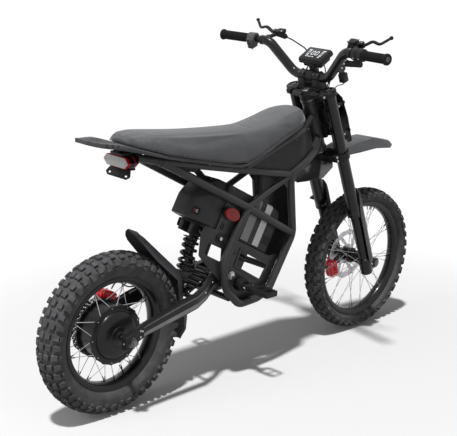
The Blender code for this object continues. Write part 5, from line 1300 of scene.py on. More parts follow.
def build_clamps():
    for name, (low, high), node in (("upper", UPPER_CLAMP, "upper_clamp"), ("lower", LOWER_CLAMP, "steering_stem")):
        middle, tall = (low + high) / 2, high - low
        pieces, bolts = [], []
        for side in (-1, 1):
            y = FORK_HALF * side
            ring = [
                (0.0232, middle - tall / 2),
                (0.0275, middle - tall / 2),
                (0.0290, middle - tall / 2 + 0.0015),
                (0.0290, middle + tall / 2 - 0.0015),
                (0.0275, middle + tall / 2),
                (0.0232, middle + tall / 2),
            ]
            pieces.append(turned(ring, along(FORK_AHEAD, y), 72, closed=True))
            pieces.append(box((0.015, 0.020, tall - 0.002), (-0.0065, (FORK_HALF - 0.004) * side, middle), 0.003))
            for share in (0,) if name == "upper" else (-0.24, 0.24):
                spot = (-0.0065, (FORK_HALF + 0.0055) * side, middle + tall * share)
                bolts.append(facing(spot, (0, side, 0)))
        wide = FORK_HALF - 0.022
        corners = [(-0.020, 0.030), (-0.0135, wide), (0.036, wide), (0.033, 0.020), (0.033, -0.020), (0.036, -wide)]
        corners += [(-0.0135, -wide), (-0.020, -0.030)]
        holes = []
        if name == "upper":
            holes = [slot_outline((0.011, 0.042 * s), (0.011, 0.054 * s), 0.0060) for s in (-1, 1)]
        bridge = plate(rounded(corners, 0.008), tall - 0.006, along(0, 0, middle - 0.001), holes, 0.0022, 3)
        pieces.append(bridge)
        if name == "upper":
            pieces.append(rod((0, 0, HEAD_TUBE[1] + 0.0006), (0, 0, high - 0.0065), 0.0278, 48))
            pieces.append(rod((0, 0, high - 0.004), (0, 0, high - 0.0005), 0.0205, 48, edge=0.001))
        else:
            pieces.append(rod((0, 0, middle), (0, 0, 0.7885), 0.0142, 40))
            pieces.append(rod((0, 0, middle), (0, 0, HEAD_TUBE[0] - 0.0006), 0.0240, 48, edge=0.001))
            rib = box((0.034, 0.004, tall + 0.004), (0.008, 0.0, middle), 0.0012)
            pieces += [moved(rib, along(0, y)) for y in (-0.035, 0.035)]
        show(f"{name}_triple_clamp", "steering", "cast", pieces, STEER, [node])
        show(f"{name}_clamp_bolts", "steering", "zinc", [at_places(socket_screw(0.0046, 0.0034), bolts)], STEER)
    nut = [hexagon(0.0135, 0.0055, along(0, 0, 0.7850))]
    lever = rounded([(-0.013, 0.0), (-0.037, -0.007), (-0.041, 0.0), (-0.037, 0.009), (-0.013, 0.010)], 0.003)
    key = plate(lever, 0.0028, along(0, 0, 0.7892), edge=0.0007)
    show("stem_nut", "steering", "steel", nut, STEER)
    show("steering_lock_lever", "steering", "cast", [key], STEER)


# Handlebar and controls


def bar_points():
    left = [(BAR_CENTRE[0], BAR_LOW_Y, BAR_CENTRE[1]), BAR_HIGH, BAR_END]
    return [(n, -y, s) for n, y, s in reversed(left)] + left


def bar_line(side):
    """The outer end of the bar on one side and the direction outwards along it."""
    end = Vector((BAR_END[0], BAR_END[1] * side, BAR_END[2]))
    bend = Vector((BAR_HIGH[0], BAR_HIGH[1] * side, BAR_HIGH[2]))
    return end, (end - bend).normalized()


def bar_scale(point):
    """Thick in the middle, with a short cone down to where the grips and levers sit."""
    share = min(1.0, max(0.0, (abs(point[1]) - 0.196) / 0.030))
    return (BAR_THICK + 0.0034 + (BAR_THIN - BAR_THICK - 0.0034) * share) / BAR_THIN


def along_bar(side, inward, radius, length, sides=48, edge=0.0012):
    end, outward = bar_line(side)
    middle = end - outward * inward
    return rod(middle - outward * length / 2, middle + outward * length / 2, radius, sides, edge=edge)


def build_bar():
    path = []
    fine = rounded_path(bar_points(), [0.055, 0.060, 0.060, 0.055], math.radians(4))
    for before, after in zip(fine, fine[1:]):
        count = max(1, round((after - before).length / 0.012))
        path += [before.lerp(after, i / count) for i in range(count)]
    path.append(fine[-1])
    bar = tube(None, BAR_THIN, level=10, path=path[1:-1], scales=bar_scale)
    show("handlebar_tube", "steering", "fork", [bar], STEER, ["handlebar"])
    n, s = BAR_CENTRE
    base = UPPER_CLAMP[1] - 0.0057
    pieces, bolts = [box((0.040, 0.098, 0.009), (n - 0.008, 0.0, base + 0.0045), 0.003)], []
    for y in (-0.035, 0.035):
        lower = [(-0.027, base), (0.015, base), (0.0165, s - 0.002), (-0.0225, s - 0.002)]
        upper = [(-0.0225, s + 0.002), (0.0165, s + 0.002), (0.012, 0.8420), (-0.017, 0.8420)]
        for corners, round_off in ((lower, 0.002), (upper, 0.0060)):
            ring = rounded([(n + x, z) for x, z in corners], [0.001, 0.001, round_off, round_off])
            pieces.append(plate(ring, 0.030, upright(y), edge=0.0018, segments=3))
        bolts += [facing((n + x, y + d, 0.8412), (0, 0, 1)) for x in (-0.0145, 0.0090) for d in (-0.009, 0.009)]
    show("bar_clamp_posts", "steering", "cast", pieces, STEER, ["bar_clamp"])
    show("bar_clamp_bolts", "steering", "alloy", [at_places(socket_screw(0.0036, 0.0024), bolts)], STEER)


def build_grips():
    """Rubber grips with rings, lengthwise ribs and a flared end."""
    for side, name, body, length in (
        (1, "grip_left", "steering", LEFT_GRIP_LENGTH),
        (-1, "throttle_grip", "throttle_body", THROTTLE_LENGTH),
    ):
        end, outward = bar_line(side)
        place = facing(end, outward)
        profile = [(0.0, 0.0), (0.0135, 0.0), (0.0185, -0.0006), (0.0200, -0.0028), (0.0200, -0.0072),
            (0.0188, -0.0098)]
        profile += [(0.0162, -0.0118)]
        start, stop = -0.0135, -length + 0.0085
        rings = 26
        for i in range(rings):
            top = start + (stop - start) * i / rings
            step = (stop - start) / rings
            profile += [(0.0150, top), (0.0150, top + step * 0.25), (0.0164, top + step * 0.40),
                (0.0164, top + step * 0.9)]
        profile += [(0.0158, stop), (0.0184, stop - 0.0030), (0.0186, -length + 0.001), (0.0175, -length)]
        profile += [(0.0116, -length), (0.0116, -length + 0.03), (0.0, -length + 0.03)]
        grip = [turned(profile, place, 56)]
        rib = box((0.0016, 0.0022, length - 0.032), (0.0161, 0.0, (start + stop) / 2), 0.0005)
        grip.append(ring_of(rib, 12, "grip", place))
        show(f"{name}_rubber", body, "grip", grip, STEER, [name])
        plug = dome(0.0095, 0.0006, place @ along(0, 0, -0.0002))
        show(f"{name}_plug", body, "switch", [plug], STEER)


def lever_points(side):
    return [
        Vector((0.1073, 0.2101 * side, 0.9411)),
        Vector((0.1100, 0.2235 * side, 0.9416)),
        Vector((0.1171, 0.2538 * side, 0.9563)),
        Vector((0.1133, 0.2841 * side, 0.9481)),
        Vector((0.1398, 0.3181 * side, 0.9653)),
    ]


def build_levers():
    clamp_inward = 0.1845
    reservoir_x, reservoir_y = 0.1060, 0.1740
    for side, word in SIDES:
        end, outward = bar_line(side)
        clamp_at = end - outward * clamp_inward
        points = lever_points(side)
        pivot = points[0]
        pieces = [along_bar(side, clamp_inward, 0.0172, 0.0145, edge=0.0015)]
        pieces.append(rod((0.105, 0.1528 * side, 0.9315), (0.105, 0.1985 * side, 0.9395), 0.0105, 32, edge=0.0020))
        pieces.append(rod((0.105, 0.1545 * side, 0.9318), (0.105, 0.1475 * side, 0.9306), 0.0062, 6))
        pieces.append(rod(clamp_at + Vector((0.012, 0, 0)), (0.097, 0.1960 * side, 0.9385), 0.0072, 20))
        pieces.append(box((0.030, 0.014, 0.012), clamp_at + Vector((0.020, -0.002 * side, 0.0)), 0.003))
        for height in (0.0080, -0.0080):
            outline = rounded([(0.0955, 0.1975), (0.0955, 0.2120), (0.1030, 0.2172), (0.1165, 0.2172),
                (0.1165, 0.1975)], 0.004)
            flat = plate([(x, y * side) for x, y in outline], 0.0046, along(0, 0, pivot.z + height), edge=0.0010)
            pieces.append(flat)
        pieces.append(box((0.019, 0.0085, 0.0190), (0.107, 0.1965 * side, pivot.z), 0.002))
        reservoir = [box((0.026, 0.034, 0.012), (reservoir_x, reservoir_y * side, 0.9475), 0.003)]
        show(f"brake_master_{word}_body", "steering", "cast", pieces, STEER, [f"brake_master_{word}"])
        reservoir.append(box((0.028, 0.036, 0.0026), (reservoir_x, reservoir_y * side, 0.9540), 0.001))
        show(f"brake_reservoir_{word}", "steering", "black", reservoir, STEER)
        screws = [facing((reservoir_x + x, (reservoir_y + 0.013) * side if x > 0 else 0.161 * side, 0.9553), (0, 0, 1))
            for x in (0.009, -0.009)]
        screws += [facing(pivot + Vector((0, 0, 0.0100)), (0, 0, 1)),
            facing(pivot - Vector((0, 0, 0.0100)), (0, 0, -1))]
        screws += [facing(clamp_at + Vector((0.0, 0.0, 0.0155)), (0, 0, 1))]
        show(f"brake_master_{word}_screws", "steering", "zinc", [at_places(button_screw(0.0034, 0.0022), screws)],
            STEER)
        path = rounded_path(points, [0.012, 0.03, 0.02])
        sections = []
        for i, point in enumerate(path):
            ahead = (path[min(i + 1, len(path) - 1)] - path[max(i - 1, 0)]).normalized()
            across = ahead.cross(Vector((0, 0, 1))).normalized()
            up = across.cross(ahead).normalized()
            share = i / (len(path) - 1)
            wide, tall = 0.0078 - 0.0026 * share, 0.0058 - 0.0010 * share
            ring = round_angles(16)
            sections.append([point + across * wide * math.cos(a) + up * tall * math.sin(a) for a in ring])
        blade = [loft(sections)]
        blade.append(rod(pivot - Vector((0, 0, 0.0050)), pivot + Vector((0, 0, 0.0050)), 0.0078, 32, edge=0.0008))
        tip = along(*points[-1])
        blade.append(turned([(0.0072 * math.cos(a), 0.0072 * math.sin(a)) for a in np.linspace(-1.57, 1.57, 11)], tip,
            20))
        name = f"brake_lever_{word}"
        show(f"{name}_blade", f"{name}_body", "fork", blade, STEER, [name])


def build_switches():
    for side, inward in ((-1, 0.1415), (1, 0.1425)):
        end, outward = bar_line(side)
        middle = end - outward * inward
        if side < 0:
            pieces = [along_bar(side, inward + 0.013, 0.0225, 0.0235, edge=0.003)]
            pieces.append(along_bar(side, inward - 0.013, 0.0222, 0.0235, edge=0.003))
            low = middle + Vector((-0.004, 0.030, -0.038))
            start, stop = low + Vector((0, 0.035, -0.002)), low + Vector((0, -0.033, 0.003))
            pieces.append(rod(start, stop, 0.0104, 32, edge=0.001))
            ring = turned([(0.0098, -0.0012), (0.0112, -0.0006), (0.0112, 0.0006), (0.0098, 0.0012)], None, 32,
                closed=True)
            step = Vector((0, 0, 0.0042))
            run = facing(start, stop - start)
            pieces.append(row_of(ring, 7, step, "black", run @ along(0, 0, 0.003)))
            pieces.append(box((0.016, 0.024, 0.024), middle + Vector((-0.003, 0.012, -0.026)), 0.004))
            show("switch_right_housing", "steering", "black", pieces, STEER, ["switch_right"])
            screws = [facing(middle + outward * d + Vector((-0.0218, 0, -0.004)), (-1, 0, -0.2))
                for d in (-0.013, 0.013)]
            show("switch_right_screws", "steering", "zinc", [at_places(button_screw(0.0026, 0.0018), screws)], STEER)
            continue
        pieces = [along_bar(side, inward, 0.0225, 0.0305, edge=0.002)]
        pieces.append(box((0.032, 0.0270, 0.040), middle + Vector((-0.012, -0.001, -0.010)), 0.0055))
        face = middle + Vector((-0.029, 0.0, -0.008))
        rim = turned([(0.0058, -0.003), (0.0074, -0.003), (0.0074, 0.0006), (0.0058, 0.0006)], facing(face, (-1, 0, 0)),
            32, closed=True)
        show("switch_left_housing", "steering", "switch", [*pieces, rim], STEER, ["switch_left"])
        toggles = [box((0.004, 0.010, 0.005), face + Vector((0.0005, 0.0, 0.0125)), 0.0015)]
        toggles.append(box((0.004, 0.012, 0.006), face + Vector((0.0005, 0.0, -0.0150)), 0.0015))
        seam = box((0.0330, 0.0009, 0.0410), middle + Vector((-0.012, -0.010, -0.010)), 0.0003)
        show("switch_left_toggles", "steering", "black", [*toggles, seam], STEER)
        button = [rod(face + Vector((0.0036, 0, 0)), face - Vector((0.0030, 0, 0)), 0.0055, 32, edge=0.0010)]
        show("horn_button_cap", "horn_button_body", "black", button, STEER, ["horn_button"])


def digit(shape, corner, wide, tall, thick):
    """A seven-segment figure lying in the steering plane, its top towards the front."""
    strokes = {
        "a": (0.0, 0.5, 1), "d": (0.0, -0.5, 1), "g": (0.0, 0.0, 1),
        "b": (0.5, 0.25, 0), "c": (0.5, -0.25, 0), "e": (-0.5, -0.25, 0), "f": (-0.5, 0.25, 0),
    }
    made = []
    for key in shape:
        across, up, flat = strokes[key]
        size = (thick, wide * 0.8, 0.0003) if flat else (tall * 0.42, thick, 0.0003)
        made.append(box(size, (corner[0] + up * tall, corner[1] - across * wide, corner[2])))
    return made


def build_cockpit():
    n, s = BAR_CENTRE
    lean = STEER @ along(0.0835, 0.0, 0.8810) @ Matrix.Rotation(math.radians(-8.0), 4, "Y")
    shape = [box((0.076, 0.110, 0.020), (0, 0, -0.0010), 0.0065),
        box((0.058, 0.084, 0.018), (-0.002, 0, -0.0170), 0.004)]
    bezel = rounded([(-0.0355, -0.0525), (0.0355, -0.0525), (0.0355, 0.0525), (-0.0355, 0.0525)], 0.007)
    shape.append(plate(bezel, 0.0030, along(0, 0, 0.0096), edge=0.0010))
    stalk = moved(joined([
        box((0.018, 0.028, 0.046), (n + 0.017, 0.0, 0.8500), 0.003),
        rod((n, -0.0145, s), (n, 0.0145, s), BAR_THICK + 0.0055, 40, edge=0.001),
    ]), lean.inverted() @ STEER)
    show("display_case", "steering", "black", [*shape, stalk], lean, ["display"])
    pane = rounded([(-0.0290, -0.0450), (0.0300, -0.0450), (0.0300, 0.0450), (-0.0290, 0.0450)], 0.005)
    show("display_glass", "steering", "glass", [plate(pane, 0.0008, along(0, 0, 0.0112), edge=0.0003)], lean)
    top = 0.01172
    lit = digit("abcdef", (0.004, 0.010, top), 0.011, 0.021, 0.0020) + digit("abcdef", (0.004, -0.008, top), 0.011,
        0.021, 0.0020)
    lit += [box((0.0040, 0.0030, 0.0003), (-0.018, 0.030 - 0.0068 * i, top)) for i in range(6)]
    lit += [box((0.0030, 0.0120, 0.0003), (0.020, y, top)) for y in (0.032, -0.032)]
    lit += digit("abcdeg", (-0.0170, -0.0300, top), 0.0042, 0.0080, 0.0009)
    lit += digit("bc", (-0.0170, -0.0230, top), 0.0042, 0.0080, 0.0009)
    lit += [box((0.0032, 0.0036, 0.0003), (u, y, top)) for u in (0.0130, 0.0060, -0.0030, -0.0095)
        for y in (0.0330, 0.0270, -0.0270, -0.0330)]
    show("display_segments", "steering", "white", lit, lean)
    look = Vector((-0.45, -0.80, 0.40)).normalized()
    centre = Vector((0.0530, -0.1420, 0.8700))
    head = [rod(centre - look * 0.012, centre + look * 0.0085, 0.0155, 8, edge=0.0012)]
    head.append(rod(centre + look * 0.0070, centre + look * 0.0100, 0.0118, 40, edge=0.0006))
    rest = [box((0.026, 0.026, 0.034), (0.064, -0.133, 0.8260), 0.004),
        box((0.016, 0.016, 0.030), (0.060, -0.134, 0.8480), 0.002)]
    rest.append(rod((0.053, -0.131, 0.866), (0.0455, -0.1200, 0.8700), 0.0088, 24))
    show("horn_head", "steering", "switch", head, STEER, ["horn"])
    show("horn_block", "steering", "black", rest, STEER)
    show("horn_screw", "steering", "zinc", [moved(button_screw(0.0036, 0.0016), facing(centre + look * 0.0098, look))],
        STEER)


# Cowl, headlight, mudguard and cables

COWL_ROWS = (
    (0.5350, 0.070, 0.0880, 0.1160),
    (0.5480, 0.090, 0.0865, 0.1170),
    (0.6500, 0.096, 0.0850, 0.1180),
    (0.7300, 0.090, 0.0830, 0.1120),
    (0.7480, 0.066, 0.0850, 0.1080),
)


def cowl_reach(t, edge, middle):
    return edge + (middle - edge) * (1 - abs(t) ** 1.6)


def build_front_panels():
    rows = []
    splits = (-1.0, -0.88, -0.6, -0.3, 0.0, 0.3, 0.6, 0.88, 1.0)
    for low, high in zip(COWL_ROWS, COWL_ROWS[1:]):
        steps = 1 if high[0] - low[0] < 0.03 else 3
        for i in range(steps):
            s, wide, edge, middle = (a + (b - a) * i / steps for a, b in zip(low, high))
            rows.append([(cowl_reach(t, edge, middle), wide * t, s) for t in splits])
    s, wide, edge, middle = COWL_ROWS[-1]
    rows.append([(cowl_reach(t, edge, middle), wide * t, s) for t in splits])
    cowl = [shell(rows, 0.003, 0.0008)]
    for side in (-1, 1):
        for s in (0.590, 0.705):
            cowl.append(box((0.048, 0.0120, 0.012), (0.0710, 0.081 * side, s), 0.0020))
        fin = rounded([(0.585, 0.020), (0.715, 0.020), (0.700, 0.0295), (0.600, 0.0295)], 0.004)
        cowl.append(moved(plate([(h, w) for h, w in fin], 0.0020, None, edge=0.0006),
                          along(0.1075, 0.060 * side) @ Matrix.Rotation(-math.pi / 2, 4, "Y") @ along(0, -0.0245, 0)))
    show("front_cowl_plate", "steering", "panel", cowl, STEER, ["front_cowl"])
    bolts = [facing((0.0590, 0.0875 * side, s), (0, side, 0)) for side in (-1, 1) for s in (0.590, 0.705)]
    show("front_cowl_bolts", "steering", "zinc", [at_places(button_screw(0.0036, 0.002), bolts)], STEER)
    lamp_at = along(0.0, 0.0, LAMP_HEIGHT) @ Matrix.Rotation(math.pi / 2, 4, "Y")
    shell_line = [
        (0.0, 0.1130),
        (0.0355, 0.1130),
        (0.0370, 0.1170),
        (0.0405, 0.1172),
        (0.0420, 0.1150),
        (0.0420, 0.0900),
        (0.0470, 0.0862),
        (0.0482, 0.0840),
        (0.0500, 0.0650),
        (0.0487, 0.0600),
        (0.0430, 0.0440),
        (0.0340, 0.0372),
        (0.0240, 0.0325),
        (0.0, 0.0305),
    ]
    lamp = [turned(shell_line, lamp_at, 80)]
    fin = box((0.0030, 0.0018, 0.034), (0.0480, 0.0, 0.0640), 0.0006)
    lamp.append(ring_of(fin, 28, "black", lamp_at))
    show("headlight_case", "steering", "black", lamp, STEER, ["headlight"])
    glass = [(0.0, 0.1200), (0.020, 0.1195), (0.030, 0.1182), (0.0362, 0.1164), (0.0362, 0.1125), (0.0, 0.1125)]
    show("headlight_lens", "steering", "lamp_glass", [turned(glass, lamp_at, 64)], STEER)


def steering_from_world(x, y, z):
    offset = Vector((x, y, z)) - STEER_POINT
    return Vector((offset.dot(STEER_FORWARD), y, offset.dot(STEER_UP)))


def build_front_fender():
    stations = (
        (0.857, 0.6500, 0.0030, 0.0060, 0.002),
        (0.880, 0.6610, 0.0220, 0.0330, 0.006),
        (0.923, 0.6830, 0.0500, 0.0750, 0.012),
        (0.973, 0.7163, 0.0480, 0.0750, 0.012),
        (0.992, 0.7240, 0.0400, 0.0560, 0.008),
        (1.0332, 0.7405, 0.0400, 0.0560, 0.008),
        (1.056, 0.7480, 0.0440, 0.0640, 0.014),
        (1.139, 0.7680, 0.0480, 0.0700, 0.030),
        (1.240, 0.7750, 0.0420, 0.0600, 0.036),
        (1.360, 0.7480, 0.0240, 0.0340, 0.026),
        (1.4000, 0.7300, 0.0060, 0.0110, 0.006),
    )
    rows = []
    for x, z, flat, wide, drop in stations:
        half = [(0.0, 0.0015), (flat * 0.55, 0.0010), (flat * 0.92, 0.0), (flat, -0.0006)]
        half += [(flat + (wide - flat) * 0.5, -drop * 0.5), (wide * 0.985, -drop * 0.96), (wide, -drop)]
        line = [(-w, d) for w, d in reversed(half[1:])] + half
        rows.append([steering_from_world(x, w, z + d) for w, d in line])
    fender = shell(rows, 0.0028, 0.0007)
    show("front_mudguard", "steering", "fender", [fender], STEER, ["front_fender"], 22)
    spots = [(1.012, 0.7330, 0.024), (1.012, 0.7330, -0.024), (0.985, 0.7215, 0.024), (0.985, 0.7215, -0.024)]
    bolts = [facing(steering_from_world(x, y, z), steering_from_world(1, 0, 1) - steering_from_world(1, 0, 0)) for x, z,
        y in spots]
    posts = []
    for place in bolts:
        spot = place.translation
        posts.append(rod(spot - Vector((0, 0, 0.0005)), (spot.x, spot.y, 0.5065), 0.0060, 20) if spot.z < 0.5065 else
                     rod(spot, (spot.x, spot.y, 0.5065), 0.0060, 20))
    show("front_mudguard_posts", "steering", "cast", posts, STEER)
    show("front_mudguard_bolts", "steering", "zinc", [at_places(socket_screw(0.0042, 0.0030), bolts)], STEER)


def build_cables():
    path = [
        (0.1050, 0.1500, 0.9300),
        (0.1120, 0.1300, 0.9180),
        (0.1340, 0.0900, 0.8750),
        (0.1180, 0.0800, 0.8200),
        (0.0700, 0.1050, 0.7600),
        (0.0300, 0.1175, 0.7250),
        (0.0260, 0.1175, 0.2750),
    ]
    hose = [tube(path, FRONT_HOSE_RADIUS, [0.02, 0.03, 0.03, 0.03, 0.03], 3)]
    clips = []
    for s, start, long in ((0.290, 0.1000, 0.020), (0.640, 0.1060, 0.012)):
        clips.append(box((long, 0.1205 - start, 0.008), (FORK_AHEAD - long + 0.010, (0.1205 + start) / 2, s), 0.0015))
    show("front_hose", "steering", "hose", hose, STEER, ["front_brake_hose"])
    show("front_hose_clips", "steering", "black", clips, STEER)
    lower = [(0.0260, 0.1165, 0.150), (0.0150, 0.1100, 0.055), (-0.006, 0.092, 0.026), (-0.010, 0.0790, 0.014)]
    show("front_hose_lower", "fork_lower", "hose", [cable(lower, HOSE_RADIUS)], STEER)
    thin = [
        cable([(0.1050, -0.1490, 0.9300), (0.1080, -0.120, 0.905), (0.1150, -0.080, 0.862), (0.098, -0.055, 0.815),
               (0.058, -0.045, 0.770), (0.050, -0.040, 0.700)], 0.0024),
        cable([(0.0900, 0.012, 0.8630), (0.0990, 0.014, 0.835), (0.0900, 0.016, 0.795), (0.060, 0.014, 0.755),
        (0.054, 0.012, 0.70)], 0.0021),
        cable([(0.0900, -0.012, 0.8630), (0.1010, -0.016, 0.832), (0.0880, -0.020, 0.790), (0.062, -0.018, 0.750),
        (0.054, -0.014, 0.70)], 0.0021),
        cable([(0.0640, -0.133, 0.8110), (0.0680, -0.120, 0.795), (0.0700, -0.085, 0.780), (0.060, -0.055, 0.745),
        (0.054, -0.040, 0.70)], 0.0017),
        cable([(0.0280, -0.2180, 0.9060), (0.0480, -0.190, 0.905), (0.0700, -0.150, 0.895), (0.0860, -0.100, 0.855),
               (0.082, -0.060, 0.810), (0.058, -0.050, 0.760), (0.052, -0.048, 0.700)], 0.0019),
    ]
    show("control_cables", "steering", "hose", thin, STEER)
    loom = [tube([(0.054, 0.0, 0.715), (0.050, 0.0, 0.66), (0.044, 0.0, 0.57)], 0.011, 0.03, 5)]
    loom.append(box((0.018, 0.110, 0.012), (0.0525, 0.0, 0.706), 0.004))
    show("cable_loom", "steering", "hose", loom, STEER)


# Frame

RAIL = ((0.068, 0.0475, 0.8507), (0.170, SIDE_Y, 0.8297), (0.7370, SIDE_Y, 0.7116))
DIAGONAL = ((0.128, 0.0725, 0.8390), (0.200, 0.0877, 0.8003), (0.523, SIDE_Y, 0.627), (0.757, SIDE_Y, 0.4925))
BRACE = ((0.520, SIDE_Y, 0.6265), (0.7260, SIDE_Y, 0.7110))
LOOP = (
    (0.525, SIDE_Y, 0.6290),
    (0.414, SIDE_Y, 0.446),
    (0.431, SIDE_Y, 0.348),
    (0.498, SIDE_Y, 0.280),
    (0.587, SIDE_Y, 0.284),
    (0.645, SIDE_Y, 0.306),
    (0.757, SIDE_Y, 0.4925),
    (0.7295, SIDE_Y, 0.7165),
)
UPPER = (
    (0.502, SIDE_Y, 0.768),
    (0.605, SIDE_Y, 0.805),
    (0.780, SIDE_Y, 0.865),
    (0.853, 0.050, 0.879),
    (0.9150, 0.0125, 0.892),
)
LOWER = (
    (0.7230, SIDE_Y, 0.7095),
    (0.815, SIDE_Y, 0.7535),
    (0.875, 0.070, 0.775),
    (0.9480, 0.0138, 0.8135),
)
TUBES = (
    (LOOP, MAIN_TUBE, [0.09, 0.08, 0.05, 0.09, 0.05, 0.07]),
    (RAIL, RAIL_TUBE, 0.2),
    (DIAGONAL, MAIN_TUBE - 0.0004, 0.3),
    (BRACE, BRACE_TUBE * 1.16, 0.05),
    (UPPER, UPPER_TUBE, [0.2, 0.06, 0.1]),
    (LOWER, RAIL_TUBE, [0.06, 0.06]),
)


def cross_rod(x, z, start_y, end_y, radius, sides=40, edge=0.0):
    return rod((x, start_y, z), (x, end_y, z), radius, sides, edge=edge)


def cut(mesh, tools):
    """The mesh with the tools' shapes taken out of it."""
    base = temporary("base", mesh)
    others = [temporary("tool", piece) for piece in tools]
    for other in others:
        step = base.modifiers.new("cut", "BOOLEAN")
        step.operation = "DIFFERENCE"
        step.solver = "EXACT"
        step.object = other
    made = mesh_from(base, 0.000005)
    for other in others:
        bpy.data.objects.remove(other, do_unlink=True)
    return made


def build_frame():
    for side, word in SIDES:
        pieces = []
        for points, radius, bend in TUBES:
            pieces.append(tube([(x, y * side, z) for x, y, z in points], radius, bend, 9))
        if side > 0:
            pieces.append(cross_rod(0.4620, 0.3065, -SIDE_Y + 0.012, SIDE_Y, 0.011))
        y = SIDE_Y * side
        beads = [
            weld((0.529, y, 0.6260), (0.86, 0, -0.46), 0.0128),
            weld((0.5330, y, 0.6320), (0.92, 0, 0.38), 0.0100),
            weld((0.7180, y, 0.7078), (0.92, 0, 0.38), 0.0100),
            weld((0.7440, y, 0.5005), (0.86, 0, -0.50), 0.0136),
            weld((0.7300, y, 0.7010), (0.12, 0, -1.0), 0.0140),
            weld((0.7330, y, 0.7150), (0.90, 0, 0.43), 0.0125),
            weld((0.5070, y, 0.7700), (0.93, 0, 0.36), 0.0105),
            weld((0.1400, 0.0755 * side, 0.8325), (0.86, 0.18 * side, -0.44), 0.0136),
            weld((0.9260, 0.0230 * side, 0.8020), (0.75, -0.58 * side, 0.33), 0.0125),
            weld((0.8960, 0.0240 * side, 0.8870), (0.84, -0.52 * side, 0.16), 0.0105),
        ]
        gusset = rounded([(0.735, 0.699), (0.737, 0.640), (0.7365, 0.640), (0.690, 0.6965)], 0.004)
        pieces.append(plate(gusset, 0.004, upright(y), edge=0.0008))
        corner = rounded([(0.545, 0.6200), (0.575, 0.6020), (0.590, 0.6500)], 0.004)
        pieces.append(plate(corner, 0.004, upright(y), edge=0.0008))
        name = f"frame_side_{word}"
        show(f"{name}_tubes", "frame", "frame", [*pieces, *beads], BIKE, [name])
    low, high = HEAD_TUBE
    ring = [
        (0.0270, high),
        (0.0285, high - 0.0010),
        (0.0285, high - 0.0130),
        (0.0275, high - 0.0145),
        (0.0250, high - 0.0175),
        (0.0250, low + 0.0175),
        (0.0275, low + 0.0145),
        (0.0285, low + 0.0130),
        (0.0285, low + 0.0010),
        (0.0270, low),
        (0.0147, low),
        (0.0147, high),
    ]
    head = [turned(ring, None, 72, closed=True)]
    gusset = rounded([(-0.024, 0.575), (-0.060, 0.640), (-0.064, 0.700), (-0.024, 0.735)], 0.008)
    head.append(plate(gusset, 0.005, upright(0.0), [slot_outline((-0.043, 0.650), (-0.043, 0.690), 0.007)], 0.001))
    show("head_tube_shell", "frame", "frame", head, STEER, ["head_tube"])
    cups = [turned([(0.0265, h), (0.0292, h), (0.0292, h + 0.0030), (0.0265, h + 0.0030)], None, 56, closed=True)
            for h in (low + 0.0002, high - 0.0034)]
    show("head_bearing_cups", "frame", "alloy", cups, STEER)


# Battery and its cradle


def leaning(points):
    """Places in the battery's side view as places in the bicycle's side view."""
    c, s = math.cos(LEAN), math.sin(LEAN)
    return [(u * c + v * s, -u * s + v * c) for u, v in points]


def cradle_outline(side):
    outline = leaning(((PLATE_REAR, BATTERY_LOW), (PLATE_REAR, 0.800), (0.135, 0.800)))
    outline += [(0.508, 0.5990)]
    outline += leaning(((0.140, BATTERY_LOW), (0.365, BATTERY_LOW)))
    outline += [(0.7080, 0.4210), (0.6560, 0.3330), (0.6350, 0.3020), (0.5850, 0.2860), (0.5000, 0.2830)]
    if side > 0:
        outline += [(0.4400, 0.3450), (0.4380, 0.4060), (0.4700, 0.4110), (0.4860, 0.4740)]
        return outline + leaning(((0.140, 0.6750), (0.0900, 0.6500), (0.030, 0.655), (0.028, 0.684)))
    outline += [(0.4400, 0.3450), (0.4240, 0.3700), (0.3430, 0.4560), (0.3150, 0.4900)]
    return outline + leaning(((0.014, 0.640), (0.012, 0.680)))


